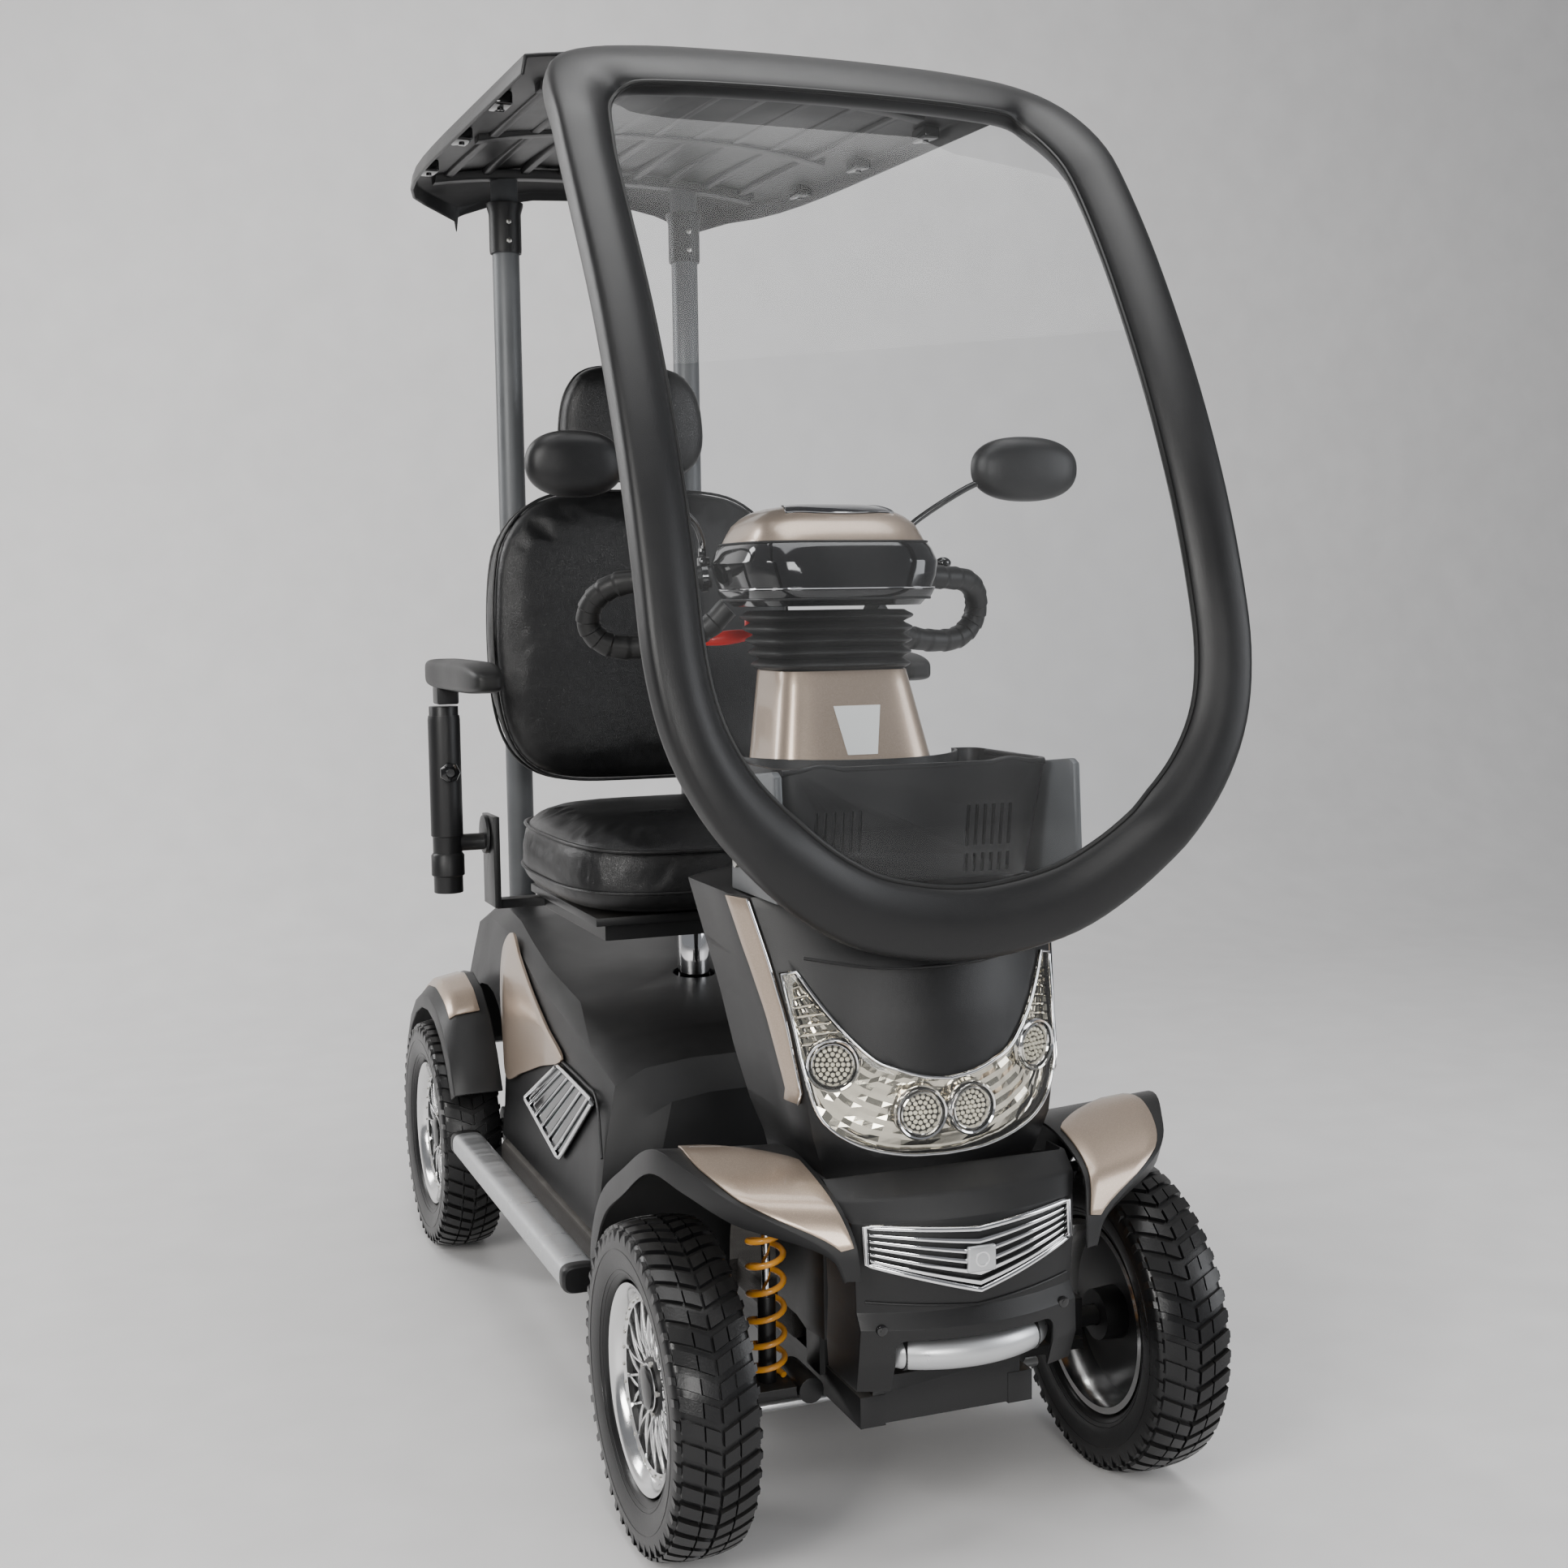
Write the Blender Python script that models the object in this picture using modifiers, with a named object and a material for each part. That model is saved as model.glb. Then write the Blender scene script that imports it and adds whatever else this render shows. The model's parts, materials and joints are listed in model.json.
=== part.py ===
"""Four-wheeled mobility scooter with a weather canopy.

Metres, +Z up.  The scooter faces -Y and the rider's right hand is at -X.  The
origin is on the ground under the middle of the machine.
"""
import math

import bmesh
import bpy
from mathutils import Matrix, Vector

# ---- driving dimensions -----------------------------------------------------------
WHEELBASE = 1.15
FRONT_TRACK = 0.570
REAR_TRACK = 0.584
TYRE_RADIUS = 0.185
TYRE_WIDTH = 0.095
RIM_RADIUS = TYRE_RADIUS - 0.0695
RIM_WIDTH = 0.072
SPINDLE_RADIUS = 0.012
WHEEL_STEPS = 24

CLEARANCE = 0.0005            # between pieces that sit together
PANEL = 0.0035                # wall of a moulded cover

RAIL_BOTTOM = 0.150           # frame rails
RAIL_TOP = 0.185
RAIL_X = 0.090
RAIL_WIDTH = 0.030
UPPER_RAIL_BOTTOM = 0.385
UPPER_RAIL_TOP = 0.410
RISER_TO_REAR_AXLE = 0.295    # the frame steps up this far in front of the rear axle
SWING_PIVOT_FORWARD = 0.024      # from the riser
SWING_PIVOT_HEIGHT = 0.243       # just behind and above the deck

DECK_TOP = 0.226
DECK_HALF_WIDTH = 0.262
DECK_FRONT_GAP = 0.255        # from the front axle back to the deck
DECK_TONGUE_GAP = 0.060       # the narrow tongue under the cowl starts further forward
DECK_TONGUE_HALF = 0.112
DECK_REAR_GAP = 0.225         # from the deck forward of the rear axle

KINGPIN_X = 0.215
ARM_PIVOT_X = 0.128
ARM_HEIGHT = TYRE_RADIUS - 0.020
PIN_RADIUS = 0.008
SPRING_X = 0.168
SPRING_RADIUS = 0.020
SPRING_WIRE = 0.0042
SPRING_TOP = 0.378
TIE_ROD_HEIGHT = 0.112
TIE_ROD_BACK = 0.062

STEERING_LEAN = math.radians(12.5)
STEERING_FOOT = (0.035, 0.250)   # back from the front axle, height
COLUMN_RADIUS = 0.018
HEAD_TUBE_RADIUS = 0.030
HEAD_TUBE_SPAN = (0.300, 0.690)
HOOP_STAY_SPAN = (0.672, 0.688)   # heights of the bar from the head tube to the hoop
TILT_HEIGHT = 0.975
COVER_SPAN = (0.825, TILT_HEIGHT - 0.009)
PADDLE_BACK = 0.150              # throttle paddle behind the tilt pivot
COVER_SWEEP = 0.139              # radius that stays free round the turning cover

SEAT_POST_BACK = 0.745           # from the front axle
SEAT_POST_RADIUS = 0.024
SEAT_POST_SPAN = (0.470, 0.575)
CUSHION_SIZE = (0.500, 0.474, 0.135)
CUSHION_BOTTOM = 0.622
CUSHION_MIDDLE_BACK = 0.702
BACKREST_SIZE = (0.490, 0.100, 0.455)
BACKREST_BOTTOM = 0.770
BACKREST_BACK = 0.985
BACKREST_LEAN = math.radians(4.0)
RECLINE_PIVOT = (0.930, 0.700)
HEADREST_SIZE = (0.240, 0.080, 0.185)
HEADREST_BOTTOM = 1.240
ARMREST_X = 0.330
ARMREST_BACK = 0.925
ARM_TUBE_RADIUS = 0.022
ARM_TUBE_SPAN = (0.615, 0.898)
ARM_PAD_SIZE = (0.056, 0.375, 0.045)
ARM_PAD_BOTTOM = 0.925

HOOP_WIDTH = 0.061
HOOP_DEPTH = 0.046
HOOP_FOOT_WIDTH = 0.078
HOOP_CREST_WIDTH = 0.140
HOOP_CREST_SHIFT = 0.028
SCREEN_THICKNESS = 0.003
SCREEN_FOOT = (-0.190, 0.800)    # foremost line of the screen: y from the axle, height
SCREEN_SWEEP = 0.525             # the screen leans back by SCREEN_SWEEP * rise ** SCREEN_POWER
SCREEN_POWER = 1.9
ROOF_HALF_WIDTH = 0.330
ROOF_FRONT_BACK = 0.345          # from the front axle
ROOF_REAR_BACK = 1.325
ROOF_EDGE_HEIGHT = 1.704
ROOF_EDGE_RISE = 0.026           # from the front to the rear
ROOF_CROWN = 0.022
ROOF_CROWN_GAIN = 0.018
ROOF_THICKNESS = 0.005
POST_X = 0.153
POST_RADIUS = 0.022
POST_BEHIND_AXLE = 0.040

BASKET_WALL = 0.0035
BASKET_SPAN = (0.735, 0.868)

FRONT_AXLE = -WHEELBASE / 2
REAR_AXLE = WHEELBASE / 2
SIDES = (("right", -1), ("left", 1))


# ---- scene and finish helpers ------------------------------------------------------
def new_collection(name):
    group = bpy.data.collections.new(name)
    bpy.context.scene.collection.children.link(group)
    return group


for leftover in list(bpy.data.objects):
    bpy.data.objects.remove(leftover, do_unlink=True)
PARTS = new_collection("mobility_scooter")
CUTTERS = new_collection("cutters")

FINISHES = {   # colour, roughness, metallic
    "champagne": ((0.40, 0.31, 0.24), 0.35, 0.6),
    "matte_black": ((0.022, 0.023, 0.025), 0.55, 0.0),
    "gloss_black": ((0.012, 0.012, 0.013), 0.12, 0.0),
    "grey_paint": ((0.13, 0.135, 0.145), 0.45, 0.3),
    "frame_black": ((0.03, 0.03, 0.03), 0.5, 0.2),
    "satin_silver": ((0.48, 0.50, 0.52), 0.38, 0.9),
    "chrome": ((0.80, 0.80, 0.80), 0.08, 1.0),
    "alloy": ((0.70, 0.70, 0.70), 0.22, 1.0),
    "tyre": ((0.020, 0.020, 0.021), 0.75, 0.0),
    "leather": ((0.018, 0.018, 0.019), 0.42, 0.0),
    "spring_orange": ((0.75, 0.33, 0.03), 0.4, 0.0),
    "lever_red": ((0.65, 0.03, 0.03), 0.35, 0.0),
    "clear": ((0.85, 0.87, 0.88), 0.05, 0.0),
    "deck_grey": ((0.085, 0.075, 0.068), 0.7, 0.0),
}


def dress(part, finish):
    """Give the part its own material."""
    colour, roughness, metallic = FINISHES[finish]
    material = bpy.data.materials.new(part.name + "_" + finish)
    material.use_nodes = True
    shader = material.node_tree.nodes["Principled BSDF"]
    shader.inputs["Base Color"].default_value = (*colour, 1.0)
    shader.inputs["Roughness"].default_value = roughness
    shader.inputs["Metallic"].default_value = metallic
    part.data.materials.clear()
    part.data.materials.append(material)
    return part


def place(name, data, finish, group=None):
    part = bpy.data.objects.new(name, data)
    (group or PARTS).objects.link(part)
    if finish:
        dress(part, finish)
    return part


def from_bmesh(name, bm, finish, group=None):
    mesh = bpy.data.meshes.new(name)
    bm.to_mesh(mesh)
    bm.free()
    mesh.shade_smooth()
    mesh.set_sharp_from_angle(angle=math.radians(35))
    return place(name, mesh, finish, group)


def evaluated_mesh(part):
    bpy.context.view_layer.update()
    seen = part.evaluated_get(bpy.context.evaluated_depsgraph_get())
    return bpy.data.meshes.new_from_object(seen)


def hide(tool):
    """Keep a cutter or a joined piece out of the model."""
    for group in list(tool.users_collection):
        group.objects.unlink(tool)
    CUTTERS.objects.link(tool)
    tool.hide_render = True
    tool.display_type = "WIRE"


def combine(part, tools, operation="UNION"):
    """Join the tools to the part, or cut them from it, one after another."""
    for tool in tools:
        step = part.modifiers.new(tool.name, "BOOLEAN")
        step.operation = operation
        step.solver = "EXACT"
        step.object = tool
        hide(tool)
    return part


def settle(part):
    """Turn the part's modifiers into plain mesh, so that it can itself be a tool."""
    mesh = evaluated_mesh(part)
    part.modifiers.clear()
    part.data = mesh
    return part


def soften(part, width, segments=2, angle=35):
    """Round the part's edges."""
    bevel = part.modifiers.new("round_edges", "BEVEL")
    bevel.width = width
    bevel.segments = segments
    bevel.limit_method = "ANGLE"
    bevel.angle_limit = math.radians(angle)
    return part


def thicken(part, wall, offset=-1.0):
    solid = part.modifiers.new("wall", "SOLIDIFY")
    solid.thickness = wall
    solid.offset = offset
    solid.use_even_offset = True
    return part


# ---- shape helpers -------------------------------------------------------------------
def block(name, low, high, finish=None, edge=0.0, segments=2, turn=None, group=None):
    """Box between two corners, with rounded edges, turned about its middle."""
    bm = bmesh.new()
    bmesh.ops.create_cube(bm, size=1.0)
    low, high = Vector(low), Vector(high)
    bmesh.ops.scale(bm, vec=high - low, verts=bm.verts)
    if turn:
        bmesh.ops.rotate(bm, matrix=turn, verts=bm.verts)
    bmesh.ops.translate(bm, vec=(low + high) / 2, verts=bm.verts)
    part = from_bmesh(name, bm, finish, group)
    if edge:
        soften(part, edge, segments)
    return part


def rod(name, start, end, radius, finish=None, sides=20, end_radius=None, group=None):
    """Round bar or cone between two points."""
    start, end = Vector(start), Vector(end)
    bm = bmesh.new()
    bmesh.ops.create_cone(bm, cap_ends=True, segments=sides, radius1=radius,
                          radius2=radius if end_radius is None else end_radius,
                          depth=(end - start).length)
    turn = Vector((0, 0, 1)).rotation_difference(end - start).to_matrix().to_4x4()
    bmesh.ops.transform(bm, matrix=Matrix.Translation((start + end) / 2) @ turn, verts=bm.verts)
    return from_bmesh(name, bm, finish, group)


def ball(name, centre, size, finish=None, sides=16, rings=10):
    """Ellipsoid of the given full size."""
    bm = bmesh.new()
    bmesh.ops.create_uvsphere(bm, u_segments=sides, v_segments=rings, radius=0.5)
    bmesh.ops.scale(bm, vec=Vector(size), verts=bm.verts)
    bmesh.ops.translate(bm, vec=Vector(centre), verts=bm.verts)
    return from_bmesh(name, bm, finish)


def turned(name, profile, centre, outward, finish, steps=32):
    """Ring turned about an X axis.  The profile holds (out, radius) pairs, and its
    outer side runs from the outboard face inwards."""
    mesh = bpy.data.meshes.new(name)
    count = len(profile)
    edges = [(i, (i + 1) % count) for i in range(count)]
    mesh.from_pydata([(radius, 0.0, out) for out, radius in profile], edges, [])
    part = place(name, mesh, finish)
    spin = part.modifiers.new("turn", "SCREW")
    spin.steps = steps
    spin.render_steps = steps
    spin.use_merge_vertices = True
    spin.merge_threshold = 0.00001
    part.location = centre
    part.rotation_euler = (0.0, outward * math.pi / 2, 0.0)
    return part


def smooth_path(points, per_span, closed=False):
    """Catmull-Rom curve through the points."""
    points = [Vector(p) for p in points]
    count = len(points)
    path = []
    for i in range(count if closed else count - 1):
        if closed:
            a, b, c, d = (points[(i + k) % count] for k in (-1, 0, 1, 2))
        else:
            a, b, c, d = (points[min(max(i + k, 0), count - 1)] for k in (-1, 0, 1, 2))
        for step in range(per_span):
            t = step / per_span
            path.append(0.5 * (2 * b + (c - a) * t + (2 * a - 5 * b + 4 * c - d) * t ** 2
                               + (3 * b - a - 3 * c + d) * t ** 3))
    if not closed:
        path.append(points[-1])
    return path


def tube(name, points, radius, finish=None, group=None, resolution=2):
    """Round tube along a list of points."""
    curve = bpy.data.curves.new(name, "CURVE")
    curve.dimensions = "3D"
    curve.bevel_depth = radius
    curve.bevel_resolution = resolution
    curve.use_fill_caps = True
    spline = curve.splines.new("POLY")
    spline.points.add(len(points) - 1)
    for slot, point in zip(spline.points, points):
        slot.co = (*point, 1.0)
    return place(name, curve, finish, group)


def meshed(part):
    """Turn a curve object into a mesh object with welded caps."""
    mesh = evaluated_mesh(part)
    bm = bmesh.new()
    bm.from_mesh(mesh)
    bmesh.ops.remove_doubles(bm, verts=bm.verts, dist=0.00001)
    bm.to_mesh(mesh)
    bm.free()
    name, matrix, group = part.name, part.matrix_world.copy(), part.users_collection[0]
    bpy.data.objects.remove(part, do_unlink=True)
    solid = bpy.data.objects.new(name, mesh)
    solid.matrix_world = matrix
    group.objects.link(solid)
    return solid


def skin(rows, ring=False, loop=False, cap=False, away_from=None):
    """Surface through rows of points.  ring closes each row, loop joins the last row
    to the first, cap fills both ends.  The faces look away from the given point."""
    bm = bmesh.new()
    grid = [[bm.verts.new(point) for point in row] for row in rows]
    across = len(grid[0])
    for i in range(len(grid) if loop else len(grid) - 1):
        here, there = grid[i], grid[(i + 1) % len(grid)]
        for j in range(across if ring else across - 1):
            k = (j + 1) % across
            bm.faces.new((here[j], here[k], there[k], there[j]))
    if cap:
        bm.faces.new(list(reversed(grid[0])))
        bm.faces.new(grid[-1])
    if ring and (cap or loop):
        bmesh.ops.recalc_face_normals(bm, faces=bm.faces)
    elif away_from is not None:
        bm.normal_update()
        facing = sum((face.calc_center_median() - Vector(away_from)).dot(face.normal)
                     * face.calc_area() for face in bm.faces)
        if facing < 0:
            bmesh.ops.reverse_faces(bm, faces=bm.faces)
    return bm


def rounded_ring(half_x, half_y, corner, per_corner=3):
    """Points round a rounded rectangle, as (x, y) pairs."""
    points = []
    for sign_x, sign_y, start in ((1, 1, 0), (-1, 1, 90), (-1, -1, 180), (1, -1, 270)):
        for step in range(per_corner + 1):
            angle = math.radians(start + 90 * step / per_corner)
            points.append((sign_x * (half_x - corner) + corner * math.cos(angle),
                           sign_y * (half_y - corner) + corner * math.sin(angle)))
    return points


def between(stations, height):
    """Values of a row of stations at one height, by straight interpolation."""
    if height <= stations[0][0]:
        return stations[0][1:]
    for low, high in zip(stations, stations[1:]):
        if height <= high[0]:
            share = (height - low[0]) / (high[0] - low[0])
            return tuple(a + (b - a) * share for a, b in zip(low[1:], high[1:]))
    return stations[-1][1:]


def steering_axis(height):
    """Point of the steering axis at one height."""
    back, foot = STEERING_FOOT
    return Vector((0.0, FRONT_AXLE + back + (height - foot) * math.tan(STEERING_LEAN), height))


# ---- frame, deck and power ----------------------------------------------------------
def make_chassis():
    riser = REAR_AXLE - RISER_TO_REAR_AXLE
    front_end = FRONT_AXLE - 0.120
    rear_end = REAR_AXLE + 0.140
    frame = block("chassis_frame", (-RAIL_X - RAIL_WIDTH / 2, FRONT_AXLE - 0.03, RAIL_BOTTOM),
                  (RAIL_X + RAIL_WIDTH / 2, FRONT_AXLE + 0.03, RAIL_TOP), "frame_black")
    pieces = []

    def bar(low, high):
        pieces.append(block("frame_bar", low, high))

    for side in (-1, 1):
        inner, outer = sorted((side * (RAIL_X - RAIL_WIDTH / 2), side * (RAIL_X + RAIL_WIDTH / 2)))
        bar((inner, front_end, RAIL_BOTTOM), (outer, riser + 0.03, RAIL_TOP))
        bar((inner, riser, RAIL_BOTTOM), (outer, riser + 0.03, UPPER_RAIL_TOP))
        bar((inner, riser, UPPER_RAIL_BOTTOM), (outer, rear_end, UPPER_RAIL_TOP))
        tower_in, tower_out = sorted((side * 0.096, side * 0.112))
        bar((tower_in, FRONT_AXLE - 0.02, RAIL_TOP - 0.01),
            (tower_out, FRONT_AXLE + 0.02, SPRING_TOP + 0.012))
        seat_in, seat_out = sorted((side * 0.100, side * (SPRING_X + 0.024)))
        bar((seat_in, FRONT_AXLE - 0.02, SPRING_TOP), (seat_out, FRONT_AXLE + 0.02, SPRING_TOP + 0.012))
    post_y = REAR_AXLE + POST_BEHIND_AXLE
    post_edge = POST_X + POST_RADIUS + 0.004
    bar((-post_edge, post_y - 0.028, UPPER_RAIL_BOTTOM), (post_edge, post_y + 0.028, UPPER_RAIL_TOP))
    bar((-RAIL_X, riser + 0.001, RAIL_TOP + 0.03), (RAIL_X, riser + 0.029, RAIL_TOP + 0.055))
    seat_y = FRONT_AXLE + SEAT_POST_BACK
    bar((-RAIL_X, seat_y - 0.035, RAIL_BOTTOM + 0.002), (RAIL_X, seat_y + 0.035, RAIL_TOP - 0.002))
    bar((-RAIL_X, front_end + 0.001, RAIL_BOTTOM + 0.002), (RAIL_X, front_end + 0.02, RAIL_TOP + 0.02))
    head_back = steering_axis(SPRING_TOP).y
    bar((-0.100, FRONT_AXLE - 0.018, SPRING_TOP - 0.02), (0.100, FRONT_AXLE + 0.016, SPRING_TOP + 0.01))
    bar((-0.034, FRONT_AXLE, SPRING_TOP - 0.019), (0.034, head_back, SPRING_TOP + 0.009))
    pieces.append(rod("frame_seat_tube", (0, seat_y, RAIL_BOTTOM + 0.01),
                      (0, seat_y, SEAT_POST_SPAN[0] - CLEARANCE), SEAT_POST_RADIUS + 0.006, sides=24))
    head_low, head_high = (steering_axis(h) for h in HEAD_TUBE_SPAN)
    pieces.append(rod("frame_head_tube", head_low, head_high, HEAD_TUBE_RADIUS, sides=24))
    mount = hoop_foot()
    mount_back = mount.y + HOOP_DEPTH / 2 + 0.012
    head_top = steering_axis(HEAD_TUBE_SPAN[1] - 0.03)
    stay_low, stay_high = HOOP_STAY_SPAN
    bar((-0.022, mount_back, stay_low), (0.022, head_top.y - 0.012, stay_high))
    bar((-0.022, mount_back, stay_low), (0.022, mount_back + 0.012, mount.z + 0.012))
    combine(frame, pieces)
    bore = rod("head_bore", steering_axis(HEAD_TUBE_SPAN[0] - 0.08),
               steering_axis(HEAD_TUBE_SPAN[1] + 0.08), COLUMN_RADIUS + CLEARANCE, sides=24)
    combine(frame, [bore], "DIFFERENCE")
    return frame


def make_deck_and_power():
    deck_front = FRONT_AXLE + DECK_FRONT_GAP
    deck_rear = REAR_AXLE - DECK_REAR_GAP
    deck = block("floor_deck", (-DECK_HALF_WIDTH, deck_front, RAIL_TOP + CLEARANCE),
                 (DECK_HALF_WIDTH, deck_rear, DECK_TOP), "deck_grey", edge=0.010)
    tongue = block("deck_tongue", (-DECK_TONGUE_HALF, FRONT_AXLE + DECK_TONGUE_GAP, RAIL_TOP + 0.002),
                   (DECK_TONGUE_HALF, deck_front + 0.030, DECK_TOP - 0.002), edge=0.006)
    combine(settle(deck), [tongue])
    seat_y = FRONT_AXLE + SEAT_POST_BACK
    well = rod("seat_tube_hole", (0, seat_y, RAIL_BOTTOM), (0, seat_y, DECK_TOP + 0.02),
               SEAT_POST_RADIUS + 0.010, sides=24)
    riser = REAR_AXLE - RISER_TO_REAR_AXLE
    slots = []
    for side in (-1, 1):
        inner, outer = sorted((side * (RAIL_X - RAIL_WIDTH / 2 - 0.004),
                               side * (RAIL_X + RAIL_WIDTH / 2 + 0.004)))
        slots.append(block("riser_slot", (inner, riser - 0.004, RAIL_BOTTOM),
                           (outer, deck_rear + 0.02, DECK_TOP + 0.02)))
    slots.append(block("cross_slot", (-RAIL_X, riser - 0.004, RAIL_BOTTOM),
                       (RAIL_X, deck_rear + 0.02, DECK_TOP + 0.02)))
    combine(deck, [well] + slots, "DIFFERENCE")
    battery = block("battery_pack", (-0.175, seat_y - 0.235, DECK_TOP + CLEARANCE),
                    (0.175, seat_y - 0.045, DECK_TOP + 0.175), "matte_black", edge=0.006, segments=1)
    return deck, battery


# ---- body covers ----------------------------------------------------------------------
# height, front centre from the axle, half width, sweep back at the sides, rear half width,
# rear face from the axle
COWL_STATIONS = (
    (0.228, -0.060, 0.118, 0.010, 0.118, 0.130),
    (0.400, -0.080, 0.124, 0.015, 0.124, 0.134),
    (0.430, -0.112, 0.130, 0.030, 0.130, 0.136),
    (0.470, -0.124, 0.144, 0.036, 0.145, 0.142),
    (0.530, -0.128, 0.153, 0.042, 0.160, 0.152),
    (0.600, -0.116, 0.160, 0.052, 0.172, 0.166),
    (0.660, -0.098, 0.170, 0.058, 0.184, 0.182),
    (0.726, -0.074, 0.184, 0.060, 0.196, 0.204),
    (0.731, 0.036, 0.106, 0.030, 0.106, 0.238),
    (0.809, 0.055, 0.098, 0.028, 0.098, 0.253),
)
COWL_FRONT_SHARES = (0.0, 0.3, 0.6, 0.85, 1.0)


def cowl_face(x, height):
    """y of the front cowl's outer face."""
    centre, half_width, sweep, _, _ = between(COWL_STATIONS, height)
    return FRONT_AXLE + centre + sweep * min(abs(x) / half_width, 1.0) ** 2


def make_front_cowl():
    rows = []
    for height, centre, half, sweep, rear_half, rear in COWL_STATIONS:
        side = [(half * share, centre + sweep * share ** 2) for share in COWL_FRONT_SHARES]
        side += [(half * 0.45 + rear_half * 0.55 + 0.006, centre + sweep + 0.040),
                 (rear_half, centre + sweep + 0.085), (rear_half, rear - 0.035),
                 (rear_half - 0.030, rear)]
        ring = [(x, y) for x, y in side] + [(-x, y) for x, y in reversed(side[1:])]
        rows.append([(x, FRONT_AXLE + y, height) for x, y in ring])
    bm = skin(rows, ring=True, away_from=(0, FRONT_AXLE + 0.05, 0.50))
    cowl = thicken(from_bmesh("front_cowl", bm, "matte_black"), PANEL)
    window = make_headlight("headlight_window", 0.0015, 0.015, 0.040, None)
    stay_low, stay_high = HOOP_STAY_SPAN
    stay_hole = block("hoop_stay_hole", (-0.026, FRONT_AXLE - 0.20, stay_low - 0.004),
                      (0.026, FRONT_AXLE, stay_high + 0.004))
    spring_hole = block("spring_seat_hole", (-0.20, FRONT_AXLE - 0.028, SPRING_TOP - 0.028),
                        (0.20, FRONT_AXLE + 0.028, SPRING_TOP + 0.018))
    combine(cowl, [window, stay_hole, spring_hole], "DIFFERENCE")
    return cowl


HEADLIGHT_OUTER = ((0.0, 0.446), (0.05, 0.449), (0.10, 0.463), (0.135, 0.489),
                   (0.150, 0.530), (0.157, 0.585), (0.164, 0.645))
HEADLIGHT_INNER = ((0.0, 0.532), (0.03, 0.536), (0.058, 0.545), (0.082, 0.556),
                   (0.108, 0.583), (0.131, 0.615), (0.150, 0.648))


def make_headlight(name, grow, proud, depth, finish):
    """U-shaped lamp whose front follows the face of the cowl and stands proud of it."""
    half = []
    for (ox, oz), (ix, iz) in zip(HEADLIGHT_OUTER, HEADLIGHT_INNER):
        outer, inner = Vector((ox, 0, oz)), Vector((ix, 0, iz))
        outward = (outer - inner).normalized() * grow
        half.append([(outer + outward).lerp(inner - outward, share) for share in (0.0, 0.5, 1.0)])
    for point in half[-1]:
        point.z += grow
    mirrored = [[Vector((-p.x, 0, p.z)) for p in row] for row in reversed(half[1:])]
    rows = []
    for edge in mirrored + half:
        front = [Vector((p.x, cowl_face(p.x, p.z) - proud, p.z)) for p in edge]
        back = [p + Vector((0, depth, 0)) for p in reversed(front)]
        rows.append(front + back)
    return from_bmesh(name, skin(rows, ring=True, cap=True), finish)


# back-top, brow, grille, chin and foot of the nose: height, centre y, half width, sweep
NOSE_STATIONS = (
    (0.434, -0.121, 0.146, 0.000),
    (0.416, -0.166, 0.143, 0.020),
    (0.396, -0.190, 0.132, 0.026),
    (0.350, -0.198, 0.130, 0.030),
    (0.300, -0.196, 0.128, 0.030),
    (0.284, -0.207, 0.128, 0.030),
    (0.246, -0.205, 0.130, 0.030),
    (0.213, -0.190, 0.128, 0.026),
)
NOSE_BACK = -0.086
NOSE_OPENING = (0.094, 0.272)    # half width and top of the opening round the bumper bar


def nose_face(x, height):
    stations = tuple(sorted(NOSE_STATIONS))
    centre, half_width, sweep = between(stations, height)
    return FRONT_AXLE + centre + sweep * min(abs(x) / half_width, 1.0) ** 2


def make_nose():
    rows = []
    for height, centre, half, sweep in NOSE_STATIONS:
        side = [(half * share, centre + sweep * share ** 2) for share in (0.0, 0.35, 0.7, 1.0)]
        side.append((half, NOSE_BACK))
        row = [(-x, y) for x, y in reversed(side[1:])] + side
        rows.append([(x, FRONT_AXLE + y, height) for x, y in row])
    bm = skin(rows, away_from=(0, FRONT_AXLE, 0.30))
    nose = thicken(from_bmesh("front_nose", bm, "matte_black"), PANEL)
    half_width, top = NOSE_OPENING
    opening = block("nose_opening", (-half_width, FRONT_AXLE - 0.30, 0.15),
                    (half_width, FRONT_AXLE - 0.10, top))
    combine(nose, [opening], "DIFFERENCE")

    grille_rows = []
    for x in (-0.121, -0.08, -0.04, 0.0, 0.04, 0.08, 0.121):
        drop = 1.0 - abs(x) / 0.121
        top_z = 0.394 - 0.010 * drop
        low_z = 0.355 - 0.036 * drop
        grille_rows.append([(x, nose_face(x, z) - 0.003, z) for z in (top_z, (top_z + low_z) / 2, low_z)])
    bm = skin(grille_rows, away_from=(0, FRONT_AXLE, 0.36))
    grille = thicken(from_bmesh("front_grille", bm, "chrome"), 0.006, offset=1.0)

    bar_path = []
    for step in range(9):
        share = step / 4 - 1.0
        bar_path.append((share * (half_width - 0.010), FRONT_AXLE - 0.188 + 0.030 * share ** 2, 0.250))
    bar = tube("bumper_bar", bar_path, 0.0185, "satin_silver", resolution=4)
    return nose, grille, bar


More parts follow.
